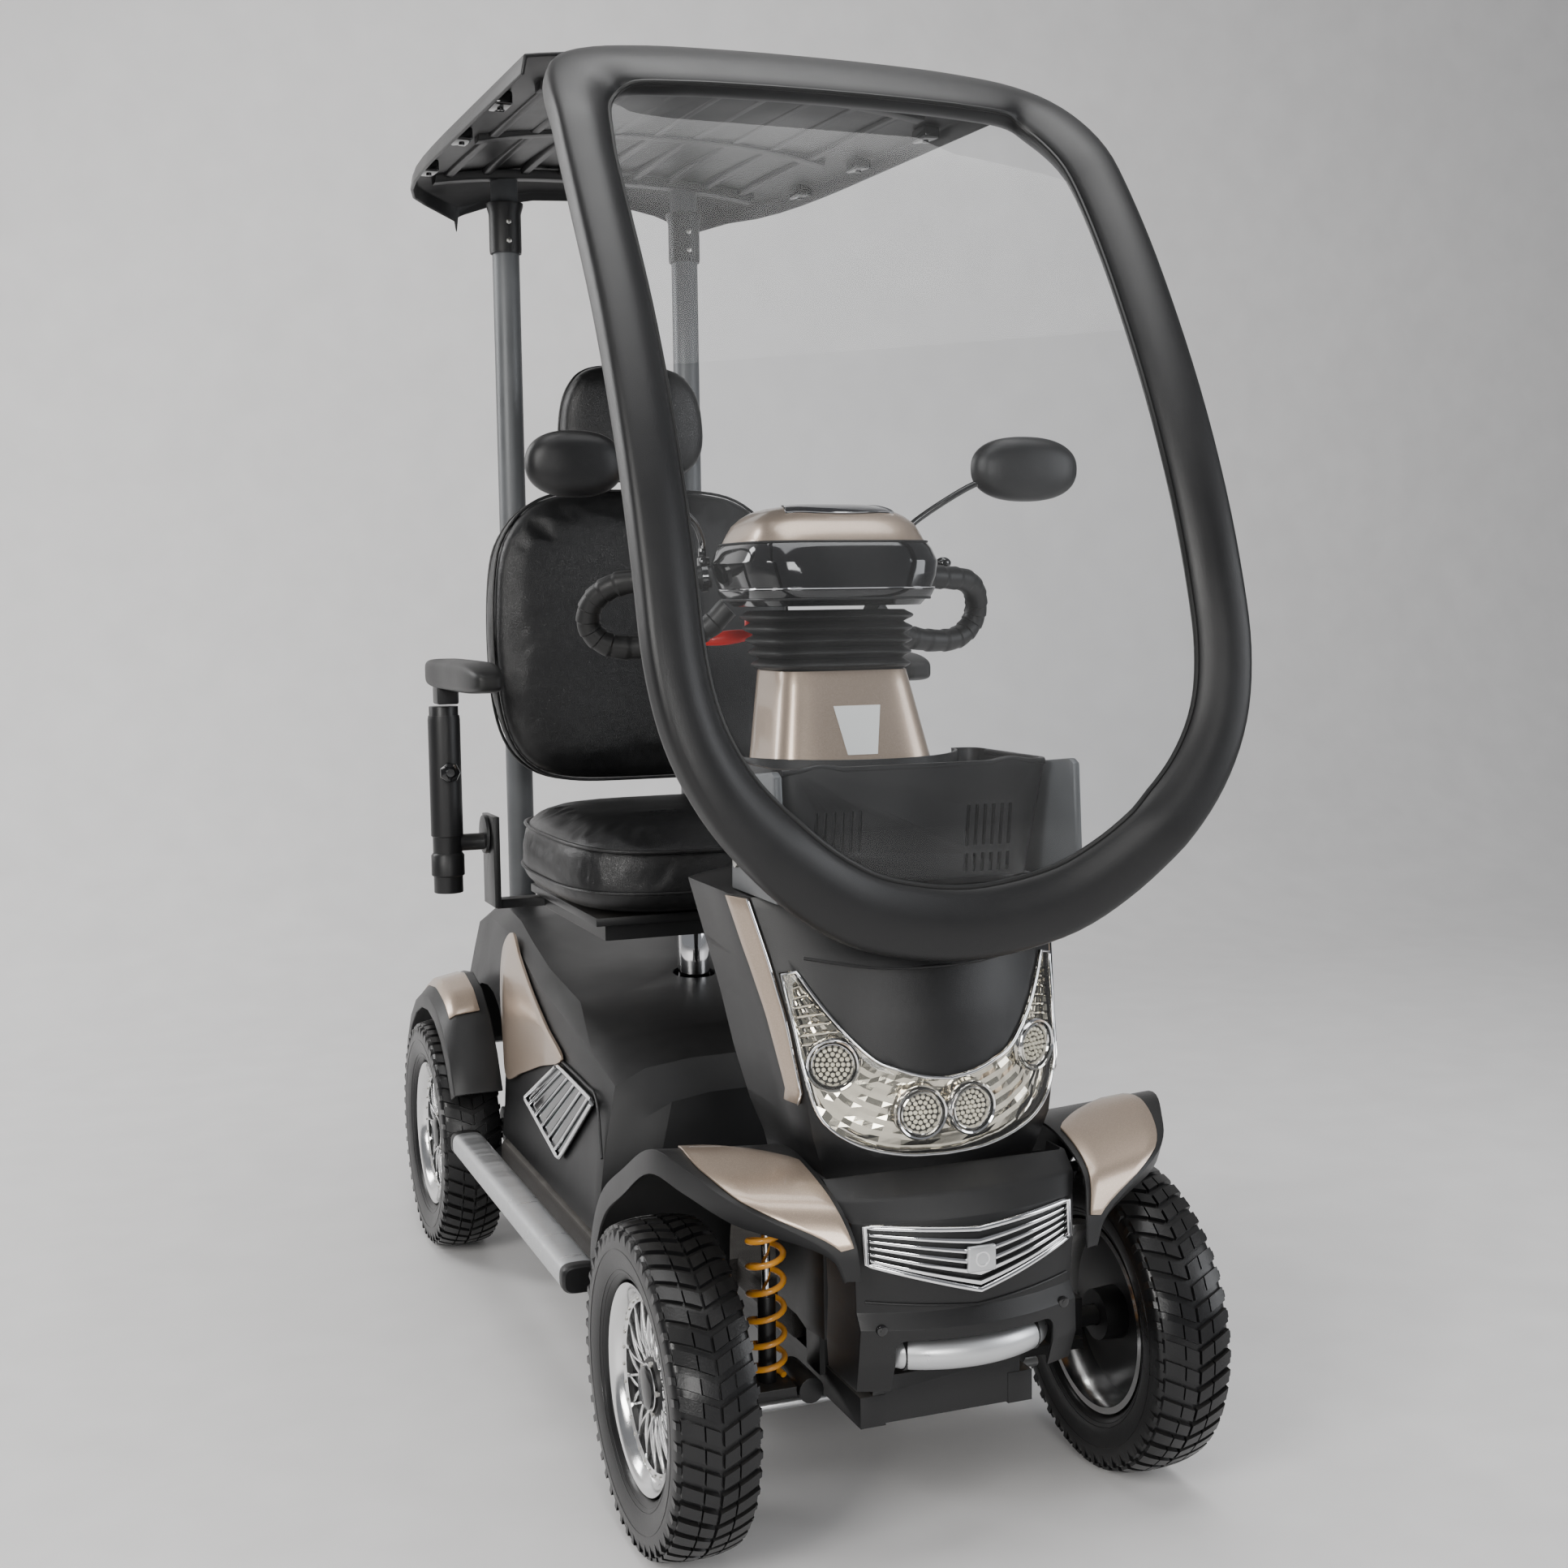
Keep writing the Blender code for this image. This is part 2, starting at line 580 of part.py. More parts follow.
# inner x, inner y, inner z, outer x, outer y, outer z, all from the front axle and the ground
FRONT_FENDER_STATIONS = (
    (0.134, 0.224, 0.226, 0.308, 0.234, 0.222),
    (0.134, 0.214, 0.290, 0.311, 0.219, 0.287),
    (0.134, 0.168, 0.362, 0.312, 0.167, 0.358),
    (0.140, 0.086, 0.412, 0.312, 0.075, 0.412),
    (0.150, -0.010, 0.444, 0.310, -0.032, 0.463),
    (0.152, -0.083, 0.446, 0.289, -0.094, 0.452),
    (0.146, -0.160, 0.421, 0.252, -0.147, 0.426),
    (0.137, -0.188, 0.383, 0.168, -0.182, 0.378),
    (0.134, -0.194, 0.344, 0.148, -0.190, 0.344),
)
FENDER_LIP = 0.028


def make_front_fender(word, side):
    axle = Vector((side * 0.25, FRONT_AXLE, TYRE_RADIUS))
    rows = []
    for ix, iy, iz, ox, oy, oz in FRONT_FENDER_STATIONS:
        inner = Vector((side * ix, FRONT_AXLE + iy, iz))
        outer = Vector((side * ox, FRONT_AXLE + oy, oz))
        inwards = Vector((0, axle.y - outer.y, axle.z - outer.z)).normalized()
        lip = outer + inwards * FENDER_LIP * min(1.0, (ox - ix) / 0.1) + Vector((side * 0.002, 0, 0))
        rows.append([inner, inner.lerp(outer, 0.5), inner.lerp(outer, 0.93), outer + inwards * 0.006,
                     lip])
    dense = []
    columns = [smooth_path([row[j] for row in rows], 2) for j in range(len(rows[0]))]
    for i in range(len(columns[0])):
        dense.append([column[i] for column in columns])
    bm = skin(dense, away_from=axle)
    return thicken(from_bmesh("front_fender_" + word, bm, "matte_black"), PANEL)


REAR_FENDER_RADIUS = 0.234
REAR_FENDER_SPAN = (-28, 152)    # degrees up from the rearward direction
REAR_FENDER_X = (0.251, 0.326)


def make_rear_fender(word, side):
    axle = Vector((side * 0.28, REAR_AXLE, TYRE_RADIUS))
    rows = []
    start, end = REAR_FENDER_SPAN
    count = 12
    inner_x, outer_x = REAR_FENDER_X
    for step in range(count + 1):
        angle = math.radians(start + (end - start) * step / count)
        arm = Vector((0, math.cos(angle), math.sin(angle)))
        crown = 0.030 * max(0.0, math.sin(angle)) ** 4
        rows.append([
            Vector((side * inner_x, REAR_AXLE, TYRE_RADIUS)) + arm * (REAR_FENDER_RADIUS + crown),
            Vector((side * (outer_x - 0.022), REAR_AXLE,
                    TYRE_RADIUS)) + arm * (REAR_FENDER_RADIUS + crown * 0.6),
            Vector((side * outer_x, REAR_AXLE, TYRE_RADIUS)) + arm * (REAR_FENDER_RADIUS - 0.006),
            Vector((side * (outer_x + 0.002), REAR_AXLE,
                    TYRE_RADIUS)) + arm * (REAR_FENDER_RADIUS - 0.028),
        ])
    bm = skin(rows, away_from=axle)
    return thicken(from_bmesh("rear_fender_" + word, bm, "matte_black"), PANEL)


# from the front axle for the first four stations, from the rear axle for the others:
# y, top height, top half width
BODY_FRONT_STATIONS = ((0.400, 0.405, 0.160), (0.435, 0.445, 0.185), (0.520, 0.470, 0.200),
                       (0.680, 0.490, 0.206))
BODY_REAR_STATIONS = ((-0.300, 0.508, 0.206), (-0.190, 0.532, 0.205), (-0.100, 0.552, 0.202),
                      (0.060, 0.560, 0.196), (0.120, 0.540, 0.190), (0.150, 0.490, 0.184))
BODY_SIDE_FOOT = (0.2595, 0.232)   # half width and height where the side wall starts
BODY_SIDE_SLOPE = 0.179
BODY_LOWEST = 0.234


def body_side(height):
    """Half width of the rear body's side wall."""
    foot_x, foot_z = BODY_SIDE_FOOT
    return foot_x - BODY_SIDE_SLOPE * (height - foot_z)


def body_stations():
    stations = [(FRONT_AXLE + y, z, x) for y, z, x in BODY_FRONT_STATIONS]
    return stations + [(REAR_AXLE + y, z, x) for y, z, x in BODY_REAR_STATIONS]


def make_rear_body():
    rows = []
    for y, top, half in body_stations():
        side_top = top - 0.030
        side = [(0.0, top), (half * 0.6, top - 0.002), (half - 0.012, top - 0.010),
                (min(body_side(side_top), half + 0.030), side_top),
                (body_side(0.330), 0.330), (body_side(BODY_LOWEST), BODY_LOWEST)]
        row = [(-x, z) for x, z in reversed(side[1:])] + side
        rows.append([(x, y, z) for x, z in row])
    first, last = rows[0], rows[-1]
    rows.insert(0, [(p[0], FRONT_AXLE + BODY_FRONT_STATIONS[0][0] - 0.018,
                     BODY_LOWEST + (p[2] - BODY_LOWEST) * 0.04) for p in first])
    rows.append([(p[0] * 0.97, p[1] + 0.012,
                  BODY_LOWEST + 0.03 + (p[2] - BODY_LOWEST) * 0.15) for p in last])
    bm = skin(rows, away_from=(0, (FRONT_AXLE + REAR_AXLE) / 2 + 0.25, 0.2))
    body = thicken(from_bmesh("rear_body_cover", bm, "matte_black"), PANEL)
    seat_y = FRONT_AXLE + SEAT_POST_BACK
    cutters = [rod("seat_post_hole", (0, seat_y, 0.40), (0, seat_y, 0.60), SEAT_POST_RADIUS + 0.008,
                   sides=24)]
    for side in (-1, 1):
        cutters.append(rod("canopy_post_hole", (side * POST_X, REAR_AXLE + POST_BEHIND_AXLE, 0.43),
                           (side * POST_X, REAR_AXLE + POST_BEHIND_AXLE,
                            0.65), POST_RADIUS + 0.003, sides=24))
        cutters.append(rod("wheel_well", (side * 0.20, REAR_AXLE, TYRE_RADIUS),
                           (side * 0.40, REAR_AXLE, TYRE_RADIUS), REAR_FENDER_RADIUS + 0.004, sides=32))
    combine(body, cutters, "DIFFERENCE")
    return body


# champagne side panel: y from the front axle, height
SIDE_PANEL_TOP = ((0.640, 0.412), (0.740, 0.436), (0.850, 0.466), (0.950, 0.503), (1.000, 0.524))
SIDE_PANEL_LOW = ((0.652, 0.404), (0.745, 0.376), (0.850, 0.338), (0.920, 0.314), (0.935, 0.330))


def make_side_panel(word, side):
    rows = []
    for (top_y, top_z), (low_y, low_z) in zip(SIDE_PANEL_TOP, SIDE_PANEL_LOW):
        row = []
        for share in (0.0, 0.5, 1.0):
            z = top_z + (low_z - top_z) * share
            y = top_y + (low_y - top_y) * share
            crown = 0.003 * (1 - (2 * share - 1) ** 2)
            row.append((side * (body_side(z) + 0.006 + crown), FRONT_AXLE + y, z))
        rows.append(row)
    bm = skin(rows, away_from=(0, 0.3, 0.4))
    return thicken(from_bmesh("side_panel_" + word, bm, "champagne"), 0.0030)


def make_step_bar(word, side):
    y0, y1 = FRONT_AXLE + 0.262, REAR_AXLE - 0.205
    x = side * 0.3120
    return block("step_bar_" + word, (x - 0.024, y0, 0.204), (x + 0.024, y1, 0.240), "satin_silver",
                 edge=0.012, segments=3)


def make_rear_bumper():
    y = REAR_AXLE + 0.205
    path = [(-0.20, y - 0.012, 0.300), (-0.17, y - 0.006, 0.300), (0.0, y, 0.300),
            (0.17, y - 0.006, 0.300), (0.20, y - 0.012, 0.300)]
    return tube("rear_bumper", smooth_path(path, 2), 0.021, "matte_black", resolution=2)


# ---- canopy ---------------------------------------------------------------------------
# right half of the hoop's centre line: x, height
HOOP_STATIONS = ((0.0, 0.707), (0.100, 0.722), (0.166, 0.754), (0.226, 0.803), (0.272, 0.856),
                 (0.303, 0.918), (0.317, 0.990), (0.319, 1.080), (0.319, 1.220), (0.319, 1.360),
                 (0.320, 1.480), (0.317, 1.565), (0.303, 1.625), (0.266, 1.657), (0.190, 1.668),
                 (0.095, 1.672), (0.0, 1.673))
CREST_TURN = math.radians(24)    # the crest bends back from the screen towards the roof


def screen_y(height):
    """y of the windscreen's surface, straight across its width."""
    front, foot = SCREEN_FOOT
    rise = height - foot
    lean = SCREEN_SWEEP * max(rise, 0.0) ** SCREEN_POWER
    return FRONT_AXLE + front + lean + 0.2 * max(-rise, 0.0)


def hoop_foot():
    """Centre of the hoop's lowest point."""
    x, z = HOOP_STATIONS[0]
    return Vector((x, screen_y(z), z))


def hoop_width(height, x):
    if height > 1.60:
        share = min((height - 1.60) / 0.085, 1.0) * (1.0 if abs(x) < 0.27 else 0.55)
        return HOOP_WIDTH + (HOOP_CREST_WIDTH - HOOP_WIDTH) * share
    if height < 0.90:
        return HOOP_WIDTH + (HOOP_FOOT_WIDTH - HOOP_WIDTH) * min((0.90 - height) / 0.18, 1.0)
    return HOOP_WIDTH


HOOP_SECTION = ((0.50, 0.10), (0.42, 0.42), (0.12, 0.50), (-0.20, 0.42), (-0.50, 0.12),
                (-0.50, -0.16), (-0.34, -0.42), (0.0, -0.50), (0.36, -0.42), (0.50, -0.14))


def hoop_centre_line():
    half = [Vector((x, 0, z)) for x, z in HOOP_STATIONS]
    whole = half + [Vector((-p.x, 0, p.z)) for p in reversed(half[1:-1])]
    path = smooth_path(whole, 1, closed=True)
    for point in path:
        point.y = screen_y(point.z)
    return path


def make_hoop():
    path = hoop_centre_line()
    count = len(path)
    rows = []
    for i, point in enumerate(path):
        tangent = (path[(i + 1) % count] - path[i - 1]).normalized()
        slope = (screen_y(point.z + 0.01) - screen_y(point.z - 0.01)) / 0.02
        face = Vector((0, -1, slope)).normalized()
        outward = tangent.cross(face).normalized()
        if outward.dot(point - Vector((0, screen_y(1.2), 1.2))) < 0:
            outward.negate()
        width = hoop_width(point.z, point.x)
        bend = Matrix.Rotation(-CREST_TURN * min(max((point.z - 1.56) / 0.10, 0.0), 1.0), 3, "X")
        outward, face = bend @ outward, bend @ face
        point = point + Vector((0, HOOP_CREST_SHIFT * min(max((point.z - 1.56) / 0.10, 0.0), 1.0), 0))
        rows.append([point + outward * (width * u) + face * (HOOP_DEPTH * v) for u, v in HOOP_SECTION])
    bm = skin(rows, ring=True, loop=True)
    return from_bmesh("canopy_hoop", bm, "matte_black")


def hoop_inner_half(height):
    """Half width of the hoop's opening at one height."""
    side = [(z, x) for x, z in HOOP_STATIONS[:-4]]
    half = between(tuple(side), height)[0]
    return half - HOOP_WIDTH / 2 - 0.004


def make_windscreen():
    rows = []
    heights = [0.755, 0.775, 0.80, 0.84, 0.88, 0.94, 1.02, 1.12, 1.22, 1.32, 1.42, 1.50, 1.56, 1.595]
    for height in heights:
        half = hoop_inner_half(height - 0.030 if height < 0.95 else height + (0.012 if height > 1.5 else 0.0))
        if height < 0.95:
            half -= 0.022
        rows.append([(share * half, screen_y(height), height) for share in (-1, -0.5, 0, 0.5, 1)])
    bm = skin(rows, away_from=(0, FRONT_AXLE + 0.6, 1.1))
    return thicken(from_bmesh("windscreen", bm, "clear"), SCREEN_THICKNESS, offset=0.0)


def roof_height(x, back):
    """Outer face of the roof: back is measured from the front axle."""
    share = (back - ROOF_FRONT_BACK) / (ROOF_REAR_BACK - ROOF_FRONT_BACK)
    crown = (ROOF_CROWN + ROOF_CROWN_GAIN * share) * (1 - (abs(x) / ROOF_HALF_WIDTH) ** 2.4)
    return ROOF_EDGE_HEIGHT + ROOF_EDGE_RISE * share + crown


def make_roof():
    rows = []
    count = 12
    length = ROOF_REAR_BACK - ROOF_FRONT_BACK
    for step in range(count + 1):
        share = 1.0 - (1.0 - step / count) ** 1.25
        half = ROOF_HALF_WIDTH * (1 - (share * 0.985) ** 7) ** (1 / 5)
        back = ROOF_FRONT_BACK + length * share
        drop = 0.016 if step == count else 0.0
        row = []
        for u in (-1.0, -0.985, -0.93, -0.7, -0.35, 0.0, 0.35, 0.7, 0.93, 0.985, 1.0):
            x = u * half
            z = roof_height(x / half * ROOF_HALF_WIDTH, back) - drop
            if abs(u) == 1.0:
                z -= 0.024
            row.append((x, FRONT_AXLE + back, z))
        rows.append(row)
    lip = [(x * 0.985, y + 0.002, z - 0.018) for x, y, z in rows[-1]]
    rows.append(lip)
    bm = skin(rows, away_from=(0, FRONT_AXLE + 0.8, 1.0))
    return thicken(from_bmesh("canopy_roof", bm, "matte_black"), ROOF_THICKNESS)


def make_post(word, side):
    y = REAR_AXLE + POST_BEHIND_AXLE
    top = roof_height(POST_X, POST_BEHIND_AXLE + WHEELBASE) - ROOF_THICKNESS - 0.006
    return rod("canopy_post_" + word, (side * POST_X, y, UPPER_RAIL_TOP + CLEARANCE),
               (side * POST_X, y, top), POST_RADIUS, "grey_paint", sides=24)


# ---- front basket -----------------------------------------------------------------------
def tapered_box(name, low, high, bottom, top):
    """Basket blank: bottom and top are (half width, front y, rear y)."""
    rows = []
    for height, (half, front, rear) in ((low, bottom), (high, top)):
        ring = rounded_ring(half, (rear - front) / 2, 0.020)
        middle = (front + rear) / 2
        rows.append([(x, FRONT_AXLE + middle + y, height) for x, y in ring])
    return from_bmesh(name, skin(rows, ring=True, cap=True), None)


def make_basket():
    low, high = BASKET_SPAN
    wall = BASKET_WALL
    basket = tapered_box("basket", low, high, (0.150, -0.036, 0.120), (0.167, -0.053, 0.140))
    dress(basket, "matte_black")
    over = 0.03
    hollow = tapered_box("basket_hollow", low + wall, high + over,
                         (0.150 - wall, -0.036 + wall, 0.120 - wall),
                         (0.167 - wall + 0.003, -0.053 + wall - 0.003, 0.140 - wall + 0.003))
    reach = 0.10
    axis_low, axis_high = steering_axis(low - reach), steering_axis(high + reach)
    combine(hollow, [rod("hollow_column_room", axis_low, axis_high, COVER_SWEEP + wall, sides=40)],
            "DIFFERENCE")
    settle(hollow)
    room = rod("column_room", axis_low, axis_high, COVER_SWEEP, sides=40)
    combine(basket, [room, hollow], "DIFFERENCE")
    return basket


# ---- steering and tiller ----------------------------------------------------------------
def make_steering():
    head_low, head_high = HEAD_TUBE_SPAN
    foot = steering_axis(head_low - 0.055)
    top = steering_axis(TILT_HEIGHT - 0.028)
    column = rod("steering_column", foot, top, COLUMN_RADIUS, "frame_black", sides=24)
    collar = rod("lower_collar", steering_axis(head_low - 0.050), steering_axis(head_low - 0.004),
                 HEAD_TUBE_RADIUS, sides=20)
    upper = rod("upper_collar", steering_axis(head_high + 0.004), steering_axis(head_high + 0.040),
                HEAD_TUBE_RADIUS, sides=20)
    pitman = block("pitman_arm", (-0.012, foot.y - 0.002, foot.z + 0.006),
                   (0.012, foot.y + 0.070, foot.z + 0.018))
    stay_low = steering_axis(COVER_SPAN[0] + 0.030)
    stays = [rod("cover_stay", stay_low + Vector((-0.0700, 0, 0)), stay_low + Vector((0.0700, 0, 0)),
                 0.006, sides=12)]
    combine(column, [collar, upper, pitman] + stays)

    low, high = COVER_SPAN
    rows = []
    for share in (0.0, 0.5, 1.0):
        height = low + (high - low) * share
        centre = steering_axis(height)
        half_x = 0.108 - 0.026 * share
        half_y = 0.076 - 0.010 * share
        rows.append([(x, centre.y + y, height) for x, y in rounded_ring(half_x, half_y, 0.030)])
    bm = skin(rows, ring=True, away_from=steering_axis((low + high) / 2))
    cover = thicken(from_bmesh("column_cover", bm, "champagne"), 0.003)
    return column, cover


def make_gaiter():
    """Bellows with four folds between the column cover and the tiller head."""
    rows = []
    low, high = COVER_SPAN[1] + 0.002, TILT_HEIGHT + 0.063
    folds = 4
    for step in range(2 * folds + 1):
        height = low + (high - low) * step / (2 * folds)
        centre = steering_axis(height)
        swell = 0.0 if step % 2 == 0 else 0.010
        spread = 0.010 * step / (2 * folds)
        half_x = 0.080 + swell + spread
        half_y = 0.062 + swell + spread
        rows.append([(x, centre.y + y, height) for x, y in rounded_ring(half_x, half_y, 0.030, 2)])
    bm = skin(rows, ring=True, cap=True)
    gaiter = from_bmesh("gaiter", bm, "matte_black")
    socket = rod("gaiter_bore", steering_axis(low - 0.03), steering_axis(high + 0.03), 0.036, sides=20)
    return combine(gaiter, [socket], "DIFFERENCE")


def tiller_point(x, behind, above):
    """Point given from the tilt pivot."""
    pivot = steering_axis(TILT_HEIGHT)
    return Vector((x, pivot.y + behind, pivot.z + above))


def make_tiller():
    pivot = steering_axis(TILT_HEIGHT)
    # height, half width, front y and rear y, all from the tilt pivot
    stations = ((0.0670, 0.104, -0.080, 0.108), (0.0870, 0.122, -0.090, 0.122),
                (0.1200, 0.127, -0.088, 0.128), (0.1430, 0.118, -0.078, 0.122))
    rows = []
    for height, half, front, rear in stations:
        ring = rounded_ring(half, (rear - front) / 2, 0.034)
        rows.append([(x, pivot.y + (front + rear) / 2 + y, pivot.z + height) for x, y in ring])
    head = from_bmesh("tiller_head", skin(rows, ring=True, cap=True), "gloss_black")
    neck = rod("tiller_neck", steering_axis(TILT_HEIGHT - 0.016), steering_axis(TILT_HEIGHT + 0.085),
               0.022, sides=20)
    combine(head, [neck])

    rows = []
    for height, half, front, rear in ((0.1435, 0.114, -0.074, 0.118), (0.1650, 0.104, -0.060, 0.104),
                                      (0.1810, 0.082, -0.036, 0.086), (0.1880, 0.050, -0.010, 0.060)):
        ring = rounded_ring(half, (rear - front) / 2, 0.030)
        rows.append([(x, pivot.y + (front + rear) / 2 + y, pivot.z + height) for x, y in ring])
    visor = from_bmesh("tiller_visor", skin(rows, ring=True, cap=True), "champagne")

    parts = [head, visor]
    for word, side in SIDES:
        path = [tiller_point(side * (0.1275 + CLEARANCE), 0.070, 0.1050),
                tiller_point(side * 0.180, 0.082, 0.1020),
                tiller_point(side * 0.236, 0.105, 0.0970), tiller_point(side * 0.262, 0.128, 0.0750),
                tiller_point(side * 0.262, 0.140, 0.0430), tiller_point(side * 0.232, 0.136, 0.0210),
                tiller_point(side * 0.170, 0.120, 0.0230), tiller_point(side * 0.124, 0.104, 0.0410),
                tiller_point(side * 0.098, 0.094, 0.0650)]
        parts.append(tube("handle_" + word, smooth_path(path, 3), 0.0155, "matte_black", resolution=1))
    return parts


def make_levers():
    brake = rod("brake_lever", tiller_point(0.128, 0.142, 0.1250), tiller_point(0.226, 0.154, 0.1210),
                0.0055, "gloss_black", sides=12)
    end = ball("brake_lever_end", tiller_point(0.228, 0.154, 0.1210), (0.022, 0.016, 0.016),
               sides=12, rings=8)
    boss = block("brake_lever_boss", tiller_point(0.100, 0.1295, 0.1130), tiller_point(0.131, 0.154, 0.1370))
    combine(brake, [end, boss])
    tilt = rod("tilt_lever", tiller_point(-0.052, 0.150, 0.0310), tiller_point(-0.112, 0.154, 0.0250), 0.0085,
               "lever_red", sides=12, end_radius=0.0075)
    stem = rod("tilt_lever_stem", tiller_point(-0.050, 0.150, 0.0270), tiller_point(-0.050, 0.150, 0.0550),
               0.006, sides=12)
    combine(tilt, [stem])
    paddle = block("throttle_paddle", tiller_point(-0.085, PADDLE_BACK - 0.004, 0.0950),
                   tiller_point(0.085, PADDLE_BACK + 0.004, 0.1090), "matte_black", edge=0.003, segments=1)
    paddle_stem = rod("paddle_stem", tiller_point(0, 0.1300, 0.1020), tiller_point(0, PADDLE_BACK, 0.1020),
                      0.005, sides=12)
    combine(settle(paddle), [paddle_stem])
    return brake, tilt, paddle


MIRROR_SIZE = (0.152, 0.030, 0.084)
MIRROR_CLAMP = (0.1335, 0.085, 0.129)   # x, then back from and above the tilt pivot


def make_mirrors():
    """Each mirror is its head and its stalk, which turns in a clamp on the tiller head."""
    left = ball("mirror_left", tiller_point(0.300, 0.0543, 0.2390), MIRROR_SIZE, "gloss_black", sides=20)
    stalk = [tiller_point(0.1335, 0.085, 0.1290), tiller_point(0.1340, 0.086, 0.1510),
             tiller_point(0.156, 0.080, 0.1750),
             tiller_point(0.220, 0.066, 0.2150), tiller_point(0.262, 0.060, 0.2290)]
    combine(left, [meshed(tube("mirror_stalk_left", smooth_path(stalk, 3), 0.0045, None))])
    right = ball("mirror_right", tiller_point(-0.298, 0.0543, 0.2390), (0.120, 0.032, 0.080),
                 "gloss_black", sides=20)
    stalk = [tiller_point(-0.1335, 0.085, 0.1290), tiller_point(-0.1340, 0.086, 0.1510),
             tiller_point(-0.150, 0.082, 0.1770),
             tiller_point(-0.206, 0.068, 0.2130), tiller_point(-0.262, 0.060, 0.2310)]
    combine(right, [meshed(tube("mirror_stalk_right", smooth_path(stalk, 3), 0.0045, None))])
    return left, right


# ---- front suspension and wheels -----------------------------------------------------------
def make_front_corner(word, side):
    def point(x, back, z):
        return Vector((side * x, FRONT_AXLE + back, z))

    def box(name, low, high, finish=None):
        corner_a, corner_b = point(*low), point(*high)
        lows = [min(a, b) for a, b in zip(corner_a, corner_b)]
        highs = [max(a, b) for a, b in zip(corner_a, corner_b)]
        return block(name, lows, highs, finish)

    arm = box("front_arm_" + word, (ARM_PIVOT_X, -0.026, ARM_HEIGHT - 0.008),
              (KINGPIN_X + 0.010, 0.026, ARM_HEIGHT + 0.004), "frame_black")
    barrel = rod("arm_barrel", point(ARM_PIVOT_X, -0.035, ARM_HEIGHT),
                 point(ARM_PIVOT_X, 0.035, ARM_HEIGHT),
                 0.0150, sides=16)
    kingpin = rod("kingpin", point(KINGPIN_X, 0, ARM_HEIGHT - 0.004),
                  point(KINGPIN_X, 0, ARM_HEIGHT + 0.055),
                  PIN_RADIUS, sides=16)
    combine(arm, [barrel, kingpin])

    knuckle_low = ARM_HEIGHT + 0.004 + CLEARANCE
    knuckle = box("knuckle_" + word, (KINGPIN_X - 0.016, -0.016, knuckle_low),
                  (KINGPIN_X + 0.014, 0.016, ARM_HEIGHT + 0.050), "frame_black")
    spindle = rod("spindle", point(KINGPIN_X + 0.010, 0, TYRE_RADIUS),
                  point(FRONT_TRACK / 2 + RIM_WIDTH / 2 - 0.010, 0,
                        TYRE_RADIUS), SPINDLE_RADIUS, sides=20)
    lever = box("steer_lever", (KINGPIN_X - 0.014, 0.010, knuckle_low),
                (KINGPIN_X + 0.002, 0.070, knuckle_low + 0.010))
    combine(knuckle, [spindle, lever])
    hole = rod("kingpin_hole", point(KINGPIN_X, 0, 0.10), point(KINGPIN_X, 0, 0.30),
               PIN_RADIUS + CLEARANCE, sides=16)
    combine(knuckle, [hole], "DIFFERENCE")

    low, high = ARM_HEIGHT + 0.004 + SPRING_WIRE + CLEARANCE, SPRING_TOP - SPRING_WIRE - CLEARANCE
    turns, per_turn = 5, 8
    coil = []
    for step in range(turns * per_turn + 1):
        angle = 2 * math.pi * step / per_turn
        height = low + (high - low) * step / (turns * per_turn)
        coil.append(point(SPRING_X + SPRING_RADIUS * math.cos(angle), SPRING_RADIUS * math.sin(angle),
                          height))
    spring = tube("front_spring_" + word, coil, SPRING_WIRE, "spring_orange", resolution=1)
    return arm, knuckle, spring


def make_wheel(place_word, word, side, track, axle_y):
    centre = (side * track / 2, axle_y, TYRE_RADIUS)
    bead = RIM_RADIUS + CLEARANCE
    half = TYRE_WIDTH / 2
    bead_half = RIM_WIDTH / 2 - 0.002
    tyre_profile = ((half - 0.011, TYRE_RADIUS - 0.006), (0.020, TYRE_RADIUS), (-0.020, TYRE_RADIUS),
                    (-half + 0.011, TYRE_RADIUS - 0.006), (-half, TYRE_RADIUS - 0.028),
                    (-half + 0.004, TYRE_RADIUS - 0.050), (-bead_half, bead), (bead_half, bead),
                    (half - 0.004, TYRE_RADIUS - 0.050), (half, TYRE_RADIUS - 0.028))
    tyre = turned("tyre_%s_%s" % (place_word, word), tyre_profile, centre, side, "tyre", WHEEL_STEPS)
    out = RIM_WIDTH / 2
    bore = SPINDLE_RADIUS + CLEARANCE
    rim_profile = ((out, RIM_RADIUS), (-out, RIM_RADIUS), (-out, RIM_RADIUS - 0.012),
                   (-0.004, RIM_RADIUS - 0.020),
                   (-0.006, 0.036), (-0.018, 0.030), (-0.018, bore), (out - 0.010, bore), (out - 0.010,
                                                                                           0.030),
                   (out - 0.022, 0.036), (out - 0.018, RIM_RADIUS - 0.016), (out, RIM_RADIUS - 0.008))
    rim = turned("rim_%s_%s" % (place_word, word), rim_profile, centre, side, "alloy", WHEEL_STEPS)
    return tyre, rim


